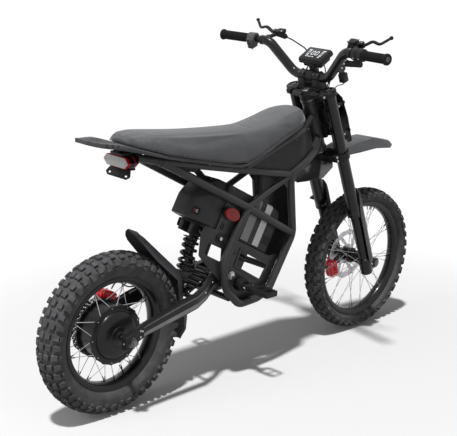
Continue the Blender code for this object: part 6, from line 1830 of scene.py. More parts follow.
def build_cradle():
    gap_hole = rounded([(0.3562, 0.5275), (0.4193, 0.4944), (0.4174, 0.4472), (0.3395, 0.4910)], 0.006)
    window = rounded(leaning(((0.2232, 0.6601), (0.3750, 0.6537), (0.3697, 0.5975), (0.2270, 0.6037))), 0.005)
    bolt_hole = circle(PIVOT[0], PIVOT[1], 0.0090, 32)
    middle_y = (PLATE_INNER + PLATE_OUTER) / 2
    thick = PLATE_OUTER - PLATE_INNER
    x, y, z = PEG_PIVOT
    plates, screws, mounts = [], [], []
    for side in (-1, 1):
        holes = [window, bolt_hole] + ([gap_hole] if side < 0 else [])
        slots = [leaning(slot_outline((u, 0.694), (u, 0.716), 0.0022)) for u in (0.084, 0.094)]
        outline = rounded(cradle_outline(side), 0.005, 3)
        plates.append(plate(outline, thick, upright(side * middle_y), [*holes, *slots], 0.0007))
        ring = leaning(((0.2120, 0.6690), (0.3870, 0.6620), (0.3800, 0.5880), (0.2170, 0.5950)))
        frame_edge = rounded(ring, 0.006)
        plates.append(plate(frame_edge, 0.0022, upright(side * (PLATE_OUTER + 0.0008)), [window], 0.0006))
        mounts.append(cross_rod(x, z, side * (PLATE_INNER + 0.001), side * (y - 0.016), 0.0250, 56, 0.002))
        mounts.append(cross_rod(x, z, side * (y - 0.017), side * (y - 0.0135), 0.0205, 48, 0.001))
        for lug in (-0.0165, 0.0165):
            mounts.append(box((0.0056, 0.024, 0.020), (x + lug, side * (y - 0.007), z), 0.002))
        mounts.append(rod((x - 0.0185, side * y, z), (x + 0.0185, side * y, z), 0.0030, 16))
        face = side * (y - 0.0159)
        dot = moved(button_screw(0.0029, 0.0018), along(0.0213, 0.0, 0.0))
        screws.append(ring_of(dot, 5, "zinc", facing((x, face, z), (0, side, 0), 0.35)))
        spots = leaning(((0.200, 0.640), (0.395, 0.640), (0.130, 0.770))) + [(0.5450, 0.3050), (0.6200, 0.3120)]
        places = [facing((a, side * (PLATE_OUTER - 0.0002), b), (0, side, 0)) for a, b in spots]
        screws.append(at_places(button_screw(0.0038, 0.0020), places))
    plates.append(cross_rod(*CRADLE_BAR, -0.0712, 0.0712, 0.0115))
    span = 2 * PLATE_INNER + 0.003
    turned_in = Matrix.Rotation(LEAN, 4, "Y")
    low = BATTERY_LOW - 0.0003
    plates.append(box((0.056, span, 0.011), (0.0620, 0.0, low - 0.0055), 0.002, turned_in))
    for side in (-1, 1):
        plates.append(box((0.090, 0.0160, 0.037), (0.0450, side * 0.0247, 0.6605), 0.003, turned_in))
    plates.append(box((0.150, span, 0.004), (0.285, 0.0, low - 0.002), 0.001, turned_in))
    plates += [box((0.010, span - 0.004, 0.0060), (u, 0.0, low - 0.006), 0.0015, turned_in)
        for u in (0.235, 0.285, 0.335)]
    show("cradle_plates", "frame", "frame", plates, BIKE, ["battery_cradle"])
    show("peg_mounts", "frame", "cast", mounts, BIKE)
    pin = [cross_rod(*SHOCK_TOP, -0.0335, 0.0335, 0.0052, 24)]
    pin += [hexagon(0.0088, 0.0046, facing((SHOCK_TOP[0], s * 0.0325, SHOCK_TOP[1]), (0, s, 0))) for s in (-1, 1)]
    show("shock_top_bolt", "frame", "zinc", pin, BIKE)
    show("cradle_screws", "frame", "black", screws, BIKE)


def build_battery():
    stations = (
        (-0.0580, 0.0315, 0.7450, 0.0270, 0.7550),
        (-0.0450, 0.0450, 0.7550, 0.0360, 0.7760),
        (-0.0100, 0.0640, 0.7850, 0.0440, 0.8240),
        (0.0200, BATTERY_HALF, 0.7930, 0.0440, 0.8460),
        (PLATE_REAR - 0.0006, BATTERY_HALF, 0.7960, 0.0440, 0.8480),
    )
    sections = []
    for u, wide, shoulder, neck, top in stations:
        right = [(u, -wide, BATTERY_LOW), (u, -wide, shoulder), (u, -neck, top)]
        sections.append(right + [(u, -y, v) for _, y, v in reversed(right)])
    handle = bevelled(box((0.040, 0.064, 0.030), (-0.0035, 0.0, 0.8360)), 0.004, 3)
    switch_turn = along(-0.0333, -0.0513, 0.7145) @ Matrix.Rotation(math.radians(-28.5), 4, "Z")
    well = box((0.0252, 0.0240, 0.0222), (0.0, 0.0, 0.0), 0.002, switch_turn)
    cap = cut(bevelled(loft(sections), 0.0030, 3, 20), [handle, well])
    case = [(PLATE_REAR - 0.008, BATTERY_LOW), (PLATE_REAR - 0.008, 0.8460), (0.3200, 0.8490), (0.3440, 0.8400)]
    case += [(0.3540, 0.8180), (0.3540, BATTERY_LOW)]
    body = plate(case, 2 * BATTERY_HALF - 0.001, Matrix.Rotation(math.pi / 2, 4, "X"), edge=0.0085, segments=4)
    grooves = []
    for u in (0.1380, 0.1905, 0.3060):
        for side in (-1, 1):
            grooves.append(box((0.0016, 0.0030, 0.130), (u, side * BATTERY_HALF, 0.7640), 0.0004))
        grooves.append(box((0.0016, 0.124, 0.0030), (u, 0.0, 0.8485), 0.0004))
    body = cut(body, grooves)
    seam = box((0.0020, 2 * BATTERY_HALF - 0.0010, 0.150), (PLATE_REAR - 0.0025, 0.0, 0.7640), 0.0006)
    show("battery_case", "frame", "case", [cap, body, seam], BATTERY, ["battery_pack"], 28)
    grip = [tube([(-0.0035, -0.034, 0.8345), (-0.0035, 0.034, 0.8345)], 0.0062, 0.01, 6)]
    grip.append(box((0.036, 0.060, 0.0020), (-0.0035, 0.0, 0.8225), 0.0004))
    show("battery_carry_handle", "frame", "black", grip, BATTERY)
    bands = []
    for low, high, paint in ((0.1985, 0.2385, "dim_stripe"), (0.2650, 0.2980, "bright_stripe")):
        thick = 0.0006
        outer = BATTERY_HALF - 0.0005 + thick
        rise = 0.0006
        flat = [(-outer, 0.6950)]
        for a in np.linspace(0, math.pi / 2, 7):
            flat.append((-outer + 0.0090 * (1 - math.cos(a)), 0.8402 + 0.0087 * math.sin(a)))
        line = flat + [(-y, v) for y, v in reversed(flat)]
        rows = [[(u, y, v + rise) for y, v in line] for u in (low, high)]
        bands.append(shell(rows, 0.0010))
        show(f"reflective_{paint}", "frame", paint, [bands[-1]], BATTERY)
    rocker_place = switch_turn @ along(0.0, 0.0040, 0.0)
    frame_ring = plate(rounded([(-0.0138, -0.0124), (0.0138, -0.0124), (0.0138, 0.0124), (-0.0138, 0.0124)], 0.003),
                       0.0024, upright(-0.0118 + 0.0075),
                       [rounded([(-0.0112, -0.0097), (0.0112, -0.0097), (0.0112, 0.0097), (-0.0112, 0.0097)], 0.001)],
                       0.0006)
    show("power_switch_surround", "frame", "black", [moved(frame_ring, switch_turn)], BATTERY)
    key = box((0.0214, 0.0090, 0.0184), (0.0, -0.0010, 0.0), 0.0018)
    show("power_switch_rocker", "power_switch_body", "glass", [moved(key, rocker_place)], BATTERY, ["power_switch"])
    stroke = box((0.0022, 0.0004, 0.0110), (0.0, -0.00560, 0.0), 0.0)
    marks = moved(stroke, rocker_place @ along(-0.0056, 0.0, 0.0))
    ring = turned([(0.0036, -0.0002), (0.0054, -0.0002), (0.0054, 0.0002), (0.0036, 0.0002)], None, 36, closed=True)
    narrow = Matrix.Diagonal((0.72, 1.0, 1.0, 1.0))
    oval = moved(ring, rocker_place @ along(0.0040, 0.0, 0.0) @ narrow @ facing((0.0, -0.00560, 0.0), (0, -1, 0)))
    show("power_switch_on_mark", "power_switch_body", "mark_red", [marks], BATTERY)
    show("power_switch_off_mark", "power_switch_body", "mark_white", [oval], BATTERY)
    vents = row_of(box((0.0026, 0.0020, 0.030), (0, 0, 0), 0.0008), 6, Vector((0.0062, 0, 0)), "black")
    pieces = [moved(vents, along(0.0985 + 0.215, s * (BATTERY_HALF - 0.0004), 0.7300)) for s in (-1, 1)]
    show("battery_vents", "frame", "black", pieces, BATTERY)
    spots = [facing((u, s * BATTERY_HALF - s * 0.0004, v), (0, s, 0)) for s in (-1, 1) for u,
        v in ((0.180, 0.828), (0.330, 0.805), (0.052, 0.700), (0.052, 0.782))]
    show("battery_screws", "frame", "black", [at_places(button_screw(0.0030, 0.0016), spots)], BATTERY)


def build_electrics():
    for side, word in SIDES:
        y = side * (PLATE_OUTER + 0.0003)
        place = along(0.4500, y, 0.6136) @ Matrix.Rotation(LEAN, 4, "Y") @ facing((0, 0, 0), (0, side, 0))
        oval = [(0.038 * a, 0.0225 * b) for a, b in circle(0.0, 0.0, 1.0, 56)]
        swap = [(b, a) for a, b in oval] if abs((place.to_3x3() @ Vector((1, 0, 0))).x) < 0.5 else oval
        back = plate(swap, 0.0100, place @ along(0, 0, 0.0050), edge=0.0014)
        lens_face = plate([(a * 0.945, b * 0.915) for a, b in swap], 0.0090, place @ along(0, 0, 0.0130), edge=0.0030,
            segments=4)
        show(f"side_reflector_{word}_base", "frame", "black", [back], BIKE)
        node = [f"side_reflector_{word}"]
        show(f"side_reflector_{word}_lens", "frame", "red_lens", [lens_face], BIKE, node)
    lock_at = Vector((0.4080, -PLATE_OUTER - 0.0003, 0.5335))
    face = facing(lock_at, (0, -1, 0))
    line = [(0.0064, -0.001), (0.0105, -0.001), (0.0105, 0.0070), (0.0098, 0.0084), (0.0078, 0.0090), (0.0064, 0.0084)]
    show("battery_lock_collar", "battery_lock_body", "black", [turned(line, face, 56, closed=True)], BIKE,
        ["battery_lock"])
    core = turned([(0.0, 0.0), (0.0063, 0.0), (0.0063, 0.0076), (0.0058, 0.0082), (0.0, 0.0082)], face, 48)
    barrel = cut(core, [moved(box((0.0080, 0.0020, 0.0060), (0, 0, 0.0090)), face)])
    show("battery_lock_barrel", "battery_lock_body", "steel", [barrel], BIKE)
    ring = turned([(0.0112, 0.0), (0.0175, 0.0), (0.0175, 0.0028), (0.0160, 0.0042), (0.0112, 0.0042)], face, 56,
        closed=True)
    show("battery_lock_surround", "frame", "black", [ring], BIKE)
    box_turn = along(0.2620, 0.0, 0.8000) @ turn(12.9, "Y")
    case = [box((0.130, 0.096, 0.030), (0, 0, 0), 0.004)]
    fin = box((0.118, 0.0022, 0.0044), (0.0, -0.042, -0.0160), 0.0007)
    case.append(row_of(fin, 15, Vector((0.0, 0.006, 0.0)), "cast"))
    case += [rod((a, b, 0.0), (a, b, 0.0190), 0.006, 20) for a in (-0.04, 0.04) for b in (-0.035, 0.035)]
    show("controller_case", "frame", "cast", case, BIKE @ box_turn, ["motor_controller"])
    leads = [cable([(0.320, y, 0.790), (0.350, y * 1.1, 0.770), (0.385, y, 0.735), (0.400, y * 0.8, 0.700)],
        POWER_CABLE_RADIUS) for y in (-0.022, -0.010, 0.004, 0.018)]
    leads.append(cable([(0.200, 0.02, 0.815), (0.160, 0.022, 0.812), (0.130, 0.010, 0.826), (0.085, 0.004, 0.845)],
        0.0020))
    show("controller_leads", "frame", "hose", leads, BIKE)


# Swingarm, rear mudguard and shock

ARM_SECTIONS = (
    (-0.0245, 0.1025, 0.2700, 0.0215),
    (0.0600, 0.1025, 0.3008, 0.0198),
    (0.2100, 0.1025, 0.3320, 0.0250),
    (0.2800, 0.1025, 0.3460, 0.0240),
    (0.3400, 0.0800, 0.3560, 0.0240),
    (0.3950, 0.0535, 0.3760, 0.0290),
    (PIVOT[0], 0.0535, PIVOT[1], 0.0270),
)


def arm_at(x):
    """The middle of the arm, its distance out and its half height at a station."""
    below, above = next((a, b) for a, b in zip(ARM_SECTIONS, ARM_SECTIONS[1:]) if a[0] <= x <= b[0])
    part = (x - below[0]) / (above[0] - below[0])
    return tuple(below[i] + (above[i] - below[i]) * part for i in (1, 2, 3))


def build_swingarm():
    stations = [s[0] for s in ARM_SECTIONS]
    fine = sorted(set(stations + [0.02, 0.14, 0.25, 0.31, 0.365]))
    sections = []
    for x in fine:
        y, z, half = arm_at(x)
        low, high = y - 0.0125, y + 0.0125
        sections.append([(x, -low, z - half), (x, -high, z - half), (x, -high, z + half), (x, -low, z + half)])
    arm = bevelled(loft(sections), 0.0032, 4, 60)
    pieces = both(arm)
    pieces.append(cross_rod(PIVOT[0], PIVOT[1], -0.0690, 0.0690, 0.0240, 56, 0.0015))
    pieces.append(cross_rod(*CROSS_ROD, -0.0880, 0.0880, 0.0080))
    slope = along(0.3560, 0.0, 0.3780) @ turn(-24.8, "Y")
    slots = []
    for i in range(6):
        at_x = -0.052 + 0.0205 * i
        slots.append(slot_outline((at_x, -0.033), (at_x, 0.033), 0.0052))
    deck = [(-0.068, -0.045), (0.068, -0.045), (0.068, 0.045), (-0.068, 0.045)]
    pieces.append(plate(rounded(deck, 0.003), 0.005, slope, slots, 0.0010))
    louvre = box((0.0150, 0.074, 0.0022), (0.0, 0.0, 0.0), 0.0006, along(-0.0565, 0, 0.0035) @ turn(24, "Y"))
    pieces.append(row_of(louvre, 6, Vector((0.0205, 0, 0)), "arm", slope))
    x, z = SHOCK_BOTTOM
    for side in (-1, 1):
        ears = rounded([(x - 0.011, z - 0.040), (x + 0.014, z - 0.040), (x + 0.012, z + 0.013), (x - 0.009, z + 0.013)],
            [0.002, 0.002, 0.009, 0.009])
        pieces.append(plate(ears, 0.0068, upright(side * 0.0195), edge=0.001))
    axle_caps = []
    for side in (-1, 1):
        y = side * 0.1150
        outline = rounded([(-0.0235, 0.2510), (0.0240, 0.2590), (0.0240, 0.3020), (-0.0120, 0.2960), (-0.0235, 0.2840)],
            0.005)
        pieces.append(plate(outline, 0.0024, upright(side * 0.1158),
            [slot_outline((-0.008, 0.2715), (0.010, 0.2748), 0.0092)], 0.0007))
        axle_caps.append(facing((0.0340, side * 0.1150, 0.3040), (0, side, 0)))
        axle_caps.append(facing((0.0340, side * 0.1150, 0.2830), (0, side, 0)))
        axle_caps.append(facing((-0.0246, side * 0.1025, 0.2700), (-1, 0, 0)))
    show("swingarm_shell", "swing", "arm", pieces, BIKE, ["swingarm"], 40)
    rows, trim = [], []
    for x in (0.0480, 0.060, 0.100, 0.140, 0.180, 0.210, 0.245, 0.280):
        y, z, half = arm_at(x)
        rows.append([(x, -(y + 0.0127), z - half * 0.80), (x, -(y + 0.0127), z - half * 0.20)])
        trim.append([(x, -(y + 0.0127), z + half * 0.66), (x, -(y + 0.0127), z + half * 0.78)])
    for x in (0.310, 0.340, 0.3680, 0.3950, 0.4300, 0.4480):
        y, z, half = arm_at(x)
        lean = 0.0128 if x < 0.39 else 0.0127
        rows.append([(x, -(y + lean), z - half * 0.80), (x, -(y + lean), z - half * 0.28)])
        trim.append([(x, -(y + lean), z + half * 0.66), (x, -(y + lean), z + half * 0.78)])
    bands = both(shell([row[::-1] for row in rows], 0.0008))
    lines = both(shell([row[::-1] for row in trim], 0.0006))
    show("swingarm_silver_band", "swing", "stripe", bands, BIKE)
    show("swingarm_pale_line", "swing", "stripe", lines, BIKE)
    spots = []
    for u, v in ((-0.058, 0.041), (-0.058, -0.041), (0.0, 0.0412), (0.0, -0.0412), (0.056, 0.041), (0.056, -0.041)):
        spots.append(slope @ along(u, v, 0.0026))
    for x in (0.0420, 0.3300, 0.3850):
        y, z, half = arm_at(x)
        spots += [facing((x, side * (y + 0.0125), z + half * 0.34), (0, side, 0)) for side in (-1, 1)]
    show("swingarm_screws", "swing", "zinc", [at_places(button_screw(0.0034, 0.0020), spots + axle_caps)], BIKE)
    pin = [cross_rod(*SHOCK_BOTTOM, -0.0270, 0.0270, 0.0042, 24)]
    pin += [hexagon(0.0080, 0.0040, facing((SHOCK_BOTTOM[0], s * 0.0232, SHOCK_BOTTOM[1]), (0, s, 0))) for s in (-1, 1)]
    show("shock_bottom_bolt", "swing", "zinc", pin, BIKE)
    cross = []
    for side in (-1, 1):
        nut = facing((0.0, side * 0.1171, REAR_RADIUS), (0, side, 0))
        cross.append(hexagon(0.0140, 0.0090, nut @ along(0, 0, 0.0008), 0.0012))
        cross.append(turned([(0.0090, 0.0), (0.0165, 0.0), (0.0165, 0.0012), (0.0090, 0.0012)],
            facing((0, side * 0.1160, REAR_RADIUS), (0, side, 0)), 40, closed=True))
    cross.append(cross_rod(0.0, REAR_RADIUS, -0.1330, 0.1330, AXLE_RADIUS, 40, 0.0012))
    show("rear_axle_nuts", "swing", "alloy", cross, BIKE, ["rear_axle"])
    bolt = [cross_rod(PIVOT[0], PIVOT[1], -0.0760, 0.0760, 0.0078, 32)]
    for side in (-1, 1):
        start = facing((PIVOT[0], side * (PLATE_OUTER + 0.0003), PIVOT[1]), (0, side, 0))
        bolt.append(turned([(0.0, 0.0), (0.0150, 0.0), (0.0150, 0.0016), (0.0, 0.0016)], start, 48))
        bolt.append(hexagon(0.0115, 0.0056, start @ along(0, 0, 0.0016), 0.001))
    show("pivot_bolt_heads", "frame", "steel", bolt, BIKE, ["swingarm_pivot_bolt"])


def build_rear_brake():
    place = along(0.0420, REAR_DISC_Y, 0.3690) @ turn(-66, "Y")
    body, bolts = caliper((0.038, 0.030, 0.066), place)
    rest = [box((0.022, 0.009, 0.078), (0.0520, 0.0945, 0.3450), 0.003),
        box((0.026, 0.014, 0.012), (0.0520, 0.1000, 0.3200), 0.002)]
    rest.append(box((0.025, 0.018, 0.018), (0.0520, 0.0880, 0.3700), 0.003))
    show("rear_caliper_body", "swing", "red", [*body, *rest], BIKE, ["rear_caliper"])
    bolts.append(at_places(socket_screw(0.0040, 0.003),
        [facing((0.052, 0.0990, h), (0, 1, 0)) for h in (0.340, 0.368)]))
    show("rear_caliper_bolts", "swing", "zinc", bolts, BIKE)
    hose = [cable([(0.066, 0.078, 0.3860), (0.088, 0.084, 0.4000), (0.120, 0.094, 0.3900), (0.160, 0.1010, 0.3660),
                   (0.220, 0.1010, 0.3640), (0.280, 0.0990, 0.3760), (0.340, 0.0780, 0.3860), (0.392, 0.0620, 0.4100)],
                   HOSE_RADIUS)]
    hose.append(cable([(0.012, 0.100, 0.2960), (0.040, 0.1000, 0.3260), (0.090, 0.0985, 0.3330),
        (0.160, 0.0970, 0.3540), (0.230, 0.0960, 0.3630), (0.300, 0.0880, 0.3740), (0.360, 0.0660, 0.3900)],
        POWER_CABLE_RADIUS))
    show("rear_hose", "swing", "hose", hose, BIKE)
    clip = [box((0.009, 0.012, 0.008), (x, 0.1000, arm_at(x)[1] + arm_at(x)[2] + 0.0040), 0.0015)
        for x in (0.150, 0.262)]
    show("rear_hose_clips", "swing", "black", clip, BIKE)


def build_rear_fender():
    rows = []
    for x, z, flat, wide, back in (
        (0.0870, 0.6000, 0.022, 0.029, 0.010),
        (0.0960, 0.5905, 0.026, 0.037, 0.018),
        (0.1120, 0.5770, 0.029, 0.043, 0.024),
        (0.1720, 0.5200, 0.030, 0.045, 0.030),
        (0.2350, 0.4610, 0.030, 0.045, 0.030),
        (0.2720, 0.4260, 0.030, 0.045, 0.030),
        (0.2800, 0.3850, 0.030, 0.045, 0.029),
        (0.2855, 0.3350, 0.030, 0.045, 0.028),
        (0.3060, 0.2650, 0.030, 0.044, 0.026),
        (0.3055, 0.2160, 0.026, 0.036, 0.016),
        (0.3004, 0.1770, 0.004, 0.007, 0.003),
    ):
        inward = (Vector((0.0, 0.0, REAR_RADIUS)) - Vector((x, 0.0, z))).normalized()
        half = [(0.0, 0.0), (flat * 0.90, 0.0), (flat, 0.0006), (flat + (wide - flat) * 0.5, back * 0.5)]
        half += [(wide * 0.99, back * 0.94), (wide, back)]
        line = [(-w, d) for w, d in half[::-1][:-1]] + half
        rows.append([(x + inward.x * d, w, z + inward.z * d) for w, d in line])
    pads = [rod((0.2790, y, 0.3470), (0.2965, y, 0.3448), 0.0050, 20) for y in (-0.0292, 0.0292)]
    fender = [shell(rows, 0.0030, 0.0006), *pads]
    show("rear_mudguard", "swing", "fender", fender, BIKE, ["rear_fender"], 25)
    away = (0.675, 0.0, 0.738)
    spots = [facing((0.236 + 0.003, y, 0.4600 + 0.003), away) for y in (-0.018, 0.018)]
    spots += [facing((0.160 + 0.003, y, 0.5310 + 0.003), away) for y in (-0.018, 0.018)]
    show("rear_mudguard_screws", "swing", "zinc", [at_places(button_screw(0.0040, 0.0020), spots)], BIKE)


def build_shock():
    top = Vector((SHOCK_TOP[0], 0.0, SHOCK_TOP[1]))
    bottom = Vector((SHOCK_BOTTOM[0], 0.0, SHOCK_BOTTOM[1]))
    length = (top - bottom).length
    lean = math.atan2(top.x - bottom.x, top.z - bottom.z)
    axis = BIKE @ Matrix.Translation(top) @ Matrix.Rotation(lean, 4, "Y")
    spring_radius, wire, cup = shape().spring_radius, shape().spring_wire, shape().spring_radius + 0.005
    spring_top = -0.0365
    ledge = spring_top + wire + 0.0003
    body = [
        (0.0, -0.0080),
        (0.0110, -0.0085),
        (0.0125, -0.0110),
        (0.0125, -0.0275),
        (0.0270, -0.0283),
        (cup, -0.0292),
        (cup, ledge + 0.0006),
        (0.0275, ledge),
        (0.0148, ledge - 0.0010),
        (0.0145, -0.0980),
        (0.0138, -0.1000),
        (0.0068, -0.1000),
        (0.0068, -0.0450),
        (0.0, -0.0450),
    ]
    eye = rod((0, -0.0155, 0), (0, 0.0155, 0), 0.0125, 40, edge=0.001)
    upper = [turned(body, None, 64), eye, box((0.022, 0.020, 0.018), (0, 0, -0.0130), 0.003)]
    show("shock_upper_body", "shock_upper", "arm", upper, axis, ["shock_body"])
    notch = box((0.0040, 0.0050, 0.0026), (cup, 0, ledge + 0.0022), 0.0008)
    show("shock_preload_ring", "shock_upper", "alloy", [ring_of(notch, 12, "alloy")], axis)
    seat = length - 0.0450
    rod_line = [
        (0.0, -0.0900),
        (0.0062, -0.0900),
        (0.0062, -seat + 0.0006),
        (0.0270, -seat + 0.0004),
        (cup, -seat - 0.0010),
        (cup, -seat - 0.0050),
        (0.0225, -seat - 0.0075),
        (0.0215, -seat - 0.0130),
        (0.0150, -length + 0.0210),
        (0.0110, -length + 0.0180),
        (0.0095, -length + 0.0070),
        (0.0, -length + 0.0070),
    ]
    lower = [turned(rod_line, None, 64), rod((0, -0.0150, -length), (0, 0.0150, -length), 0.0115, 40, edge=0.001)]
    show("shock_lower_body", "shock_lower", "switch", lower, axis, ["shock_rod"])
    low = -(length - 0.0450 - 0.0003 - wire - 0.0005)
    turns, close, count = 5.0, 0.5, 48
    points = []
    for i in range(round(turns * count) + 1):
        t = i / count
        rise = min(t, 1.0) * close + min(max(t - 1.0, 0.0), turns - 2.0) + max(t - (turns - 1.0), 0.0) * close
        a = 2 * math.pi * t
        height = spring_top + (low - spring_top) * rise / (turns - 2 + 2 * close)
        points.append(Vector((spring_radius * math.cos(a), spring_radius * math.sin(a), height)))
    coil = tube(None, wire, level=6, path=points)
    spring = show("shock_coil", "shock_upper", "coil", [coil], axis, ["shock_spring"], 50)
    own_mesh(spring)


def build_pegs():
    for side, word in SIDES:
        x, y, z = PEG_PIVOT
        outline = [
            (-0.0100, 0.0000), (-0.0100, 0.0120), (-0.0160, 0.0300), (-0.0060, 0.098), (0.0480, 0.098),
            (0.0440, 0.0300), (0.0100, 0.0120), (0.0100, 0.0000),
        ]
        holes = [rounded([(0.000, 0.036), (0.002, 0.060), (0.037, 0.060), (0.035, 0.036)], 0.004)]
        holes.append(rounded([(0.003, 0.068), (0.005, 0.089), (0.040, 0.089), (0.038, 0.068)], 0.004))
        step = plate(rounded(outline, 0.005), 0.0155, along(0.0, 0.0, -0.002), holes, 0.0012)
        tooth = turned([(0.0, 0.0), (0.0030, 0.0), (0.0026, 0.0035), (0.0014, 0.0046), (0.0, 0.0046)], None, 10)
        places = []
        for i in range(7):
            across = 0.0335 + 0.0100 * i
            shift = 0.008 * (across - 0.03) / 0.08
            places += [along(-0.0100 + shift, across, 0.0054), along(0.0418 + shift * 0.4, across, 0.0054)]
        places += [along(a, b, 0.0054) for a,
            b in ((0.008, 0.0645), (0.020, 0.0645), (0.032, 0.0645), (0.010, 0.0935), (0.022, 0.0935), (0.034, 0.0935))]
        teeth = at_places(tooth, places)
        barrel = rod((-0.0130, 0, 0), (0.0130, 0, 0), 0.0095, 40, edge=0.001)
        place = along(x, side * y, z) @ Matrix.Diagonal((1.0, side, 1.0, 1.0)) @ turn(-4.0, "X")
        made = [moved(piece, place) for piece in (step, teeth, barrel)]
        name = f"foot_peg_{word}"
        show(f"{name}_step", f"{name}_body", "cast", made, BIKE, [name])
        pin = [facing((x - 0.0195, side * y, z), (-1, 0, 0)), facing((x + 0.0195, side * y, z), (1, 0, 0))]
        show(f"{name}_pin", "frame", "zinc", [at_places(button_screw(0.0046, 0.0022), pin)], BIKE)


# Seat, panels and tail

SEAT_STATIONS = (
    (0.033, 0.045, 0.032, 0.9060, 0.9090),
    (0.055, 0.078, 0.054, 0.9170, 0.9260),
    (0.095, 0.097, 0.066, 0.9160, 0.9255),
    (0.150, 0.106, 0.070, 0.9100, 0.9200),
    (0.300, 0.110, 0.069, 0.8950, 0.9050),
    (0.490, 0.112, 0.067, 0.8830, 0.8960),
    (0.570, 0.109, 0.066, 0.8830, 0.9000),
    (0.660, 0.104, 0.065, 0.9000, 0.9150),
    (0.740, 0.098, 0.062, 0.9210, 0.9350),
    (0.790, 0.083, 0.054, 0.9290, 0.9400),
    (0.825, 0.058, 0.038, 0.9260, 0.9350),
    (0.848, 0.028, 0.018, 0.9120, 0.9200),
)
BASE_STATIONS = (
    (-0.118, 0.028, 0.9240, 0.013),
    (-0.080, 0.056, 0.9155, 0.0145),
    (-0.024, 0.083, 0.9075, 0.0155),
    (0.010, 0.096, 0.8990, 0.015),
    (0.040, 0.101, 0.8900, 0.013),
    (0.150, 0.107, 0.8560, 0.010),
    (0.300, 0.110, 0.8215, 0.010),
    (0.420, 0.111, 0.7945, 0.010),
    (0.490, 0.111, 0.7880, 0.010),
    (0.570, 0.108, 0.8115, 0.010),
    (0.660, 0.103, 0.8455, 0.010),
    (0.740, 0.096, 0.8730, 0.010),
    (0.790, 0.082, 0.8850, 0.011),
    (0.825, 0.057, 0.8910, 0.011),
    (0.848, 0.027, 0.8930, 0.010),
)


def station_at(table, x):
    below, above = next((a, b) for a, b in zip(table, table[1:]) if a[0] <= x <= b[0])
    part = (x - below[0]) / (above[0] - below[0])
    return [a + (b - a) * part for a, b in zip(below[1:], above[1:])]


def seat_line(steps):
    """The seat's stations with smooth ones between them."""
    made = []
    columns = [curved([(s[0], s[i], 0.0) for s in SEAT_STATIONS], steps) for i in (1, 2, 3, 4)]
    for row in zip(*columns):
        made.append((row[0].x, *[p.y for p in row]))
    return made


def cushion_ring(x, wide, crest_wide, crest, top):
    """One slice of the cushion from the middle of its underside round the right side and back."""
    low = station_at(BASE_STATIONS, x)[1] + 0.0012
    tall = crest - low
    side_line = []
    for share in (0.0, 0.10, 0.28, 0.46, 0.64, 0.80, 0.92):
        bulge = math.sin(math.pi * min(1.0, share * 1.05)) * 0.0045
        out = wide + (crest_wide - wide) * (share ** 1.15)
        side_line.append((-(out + bulge), low + tall * share + (0.0025 if share == 0.0 else 0.0)))
    edge = [(-crest_wide * 1.015, crest - 0.0020), (-crest_wide * 0.985, crest + 0.0012),
        (-crest_wide * 0.93, crest + (top - crest) * 0.22)]
    over = [(-crest_wide * w, crest + (top - crest) * (1 - w * w) + 0.0004) for w in (0.80, 0.62, 0.42, 0.20)]
    right = [(-wide * 0.55, low), (-wide * 0.93, low), *side_line, *edge, *over]
    ring = right + [(0.0, top)] + [(-y, z) for y, z in reversed(right)] + [(0.0, low)]
    return [Vector((x, y, z)) for y, z in ring]


def plump(cushion, pressure, limit, voxel):
    """Puffs the cover by a short cloth run and keeps each point near where it started."""
    work = temporary("cushion", cushion)
    remesh = work.modifiers.new("even", "REMESH")
    remesh.mode = "VOXEL"
    remesh.voxel_size = voxel
    remesh.use_smooth_shade = True
    start = temporary("cushion_even", mesh_from(work, 0.0))
    rest = np.empty(len(start.data.vertices) * 3)
    start.data.vertices.foreach_get("co", rest)
    rest = rest.reshape(-1, 3)
    held = start.vertex_groups.new(name="held")
    floor_at = [station_at(BASE_STATIONS, min(max(p[0], -0.118), 0.848))[1] for p in rest]
    low = [int(i) for i, p in enumerate(rest) if p[2] < floor_at[i] + 0.006]
    held.add(low, 1.0, "REPLACE")
    cloth = start.modifiers.new("cloth", "CLOTH")
    cloth.settings.quality = 4
    cloth.settings.mass = 0.2
    cloth.settings.tension_stiffness = 30
    cloth.settings.compression_stiffness = 12
    cloth.settings.shear_stiffness = 8
    cloth.settings.bending_stiffness = 0.8
    cloth.settings.use_pressure = True
    cloth.settings.uniform_pressure_force = pressure
    cloth.settings.vertex_group_mass = "held"
    cloth.settings.effector_weights.gravity = 0.0
    cloth.point_cache.frame_start = 1
    cloth.point_cache.frame_end = 20
    scene = bpy.context.scene
    for number in range(1, 21):
        scene.frame_set(number)
    graph = bpy.context.evaluated_depsgraph_get()
    after = start.evaluated_get(graph).to_mesh()
    moved_to = np.empty(len(after.vertices) * 3)
    after.vertices.foreach_get("co", moved_to)
    moved_to = moved_to.reshape(-1, 3)
    start.evaluated_get(graph).to_mesh_clear()
    start.modifiers.remove(cloth)
    scene.frame_set(1)
    step = moved_to - rest
    reach = np.linalg.norm(step, axis=1, keepdims=True)
    step *= np.minimum(1.0, limit / np.maximum(reach, 1e-9))
    start.data.vertices.foreach_set("co", (rest + step).ravel())
    start.vertex_groups.clear()
    return mesh_from(start, 0.0)


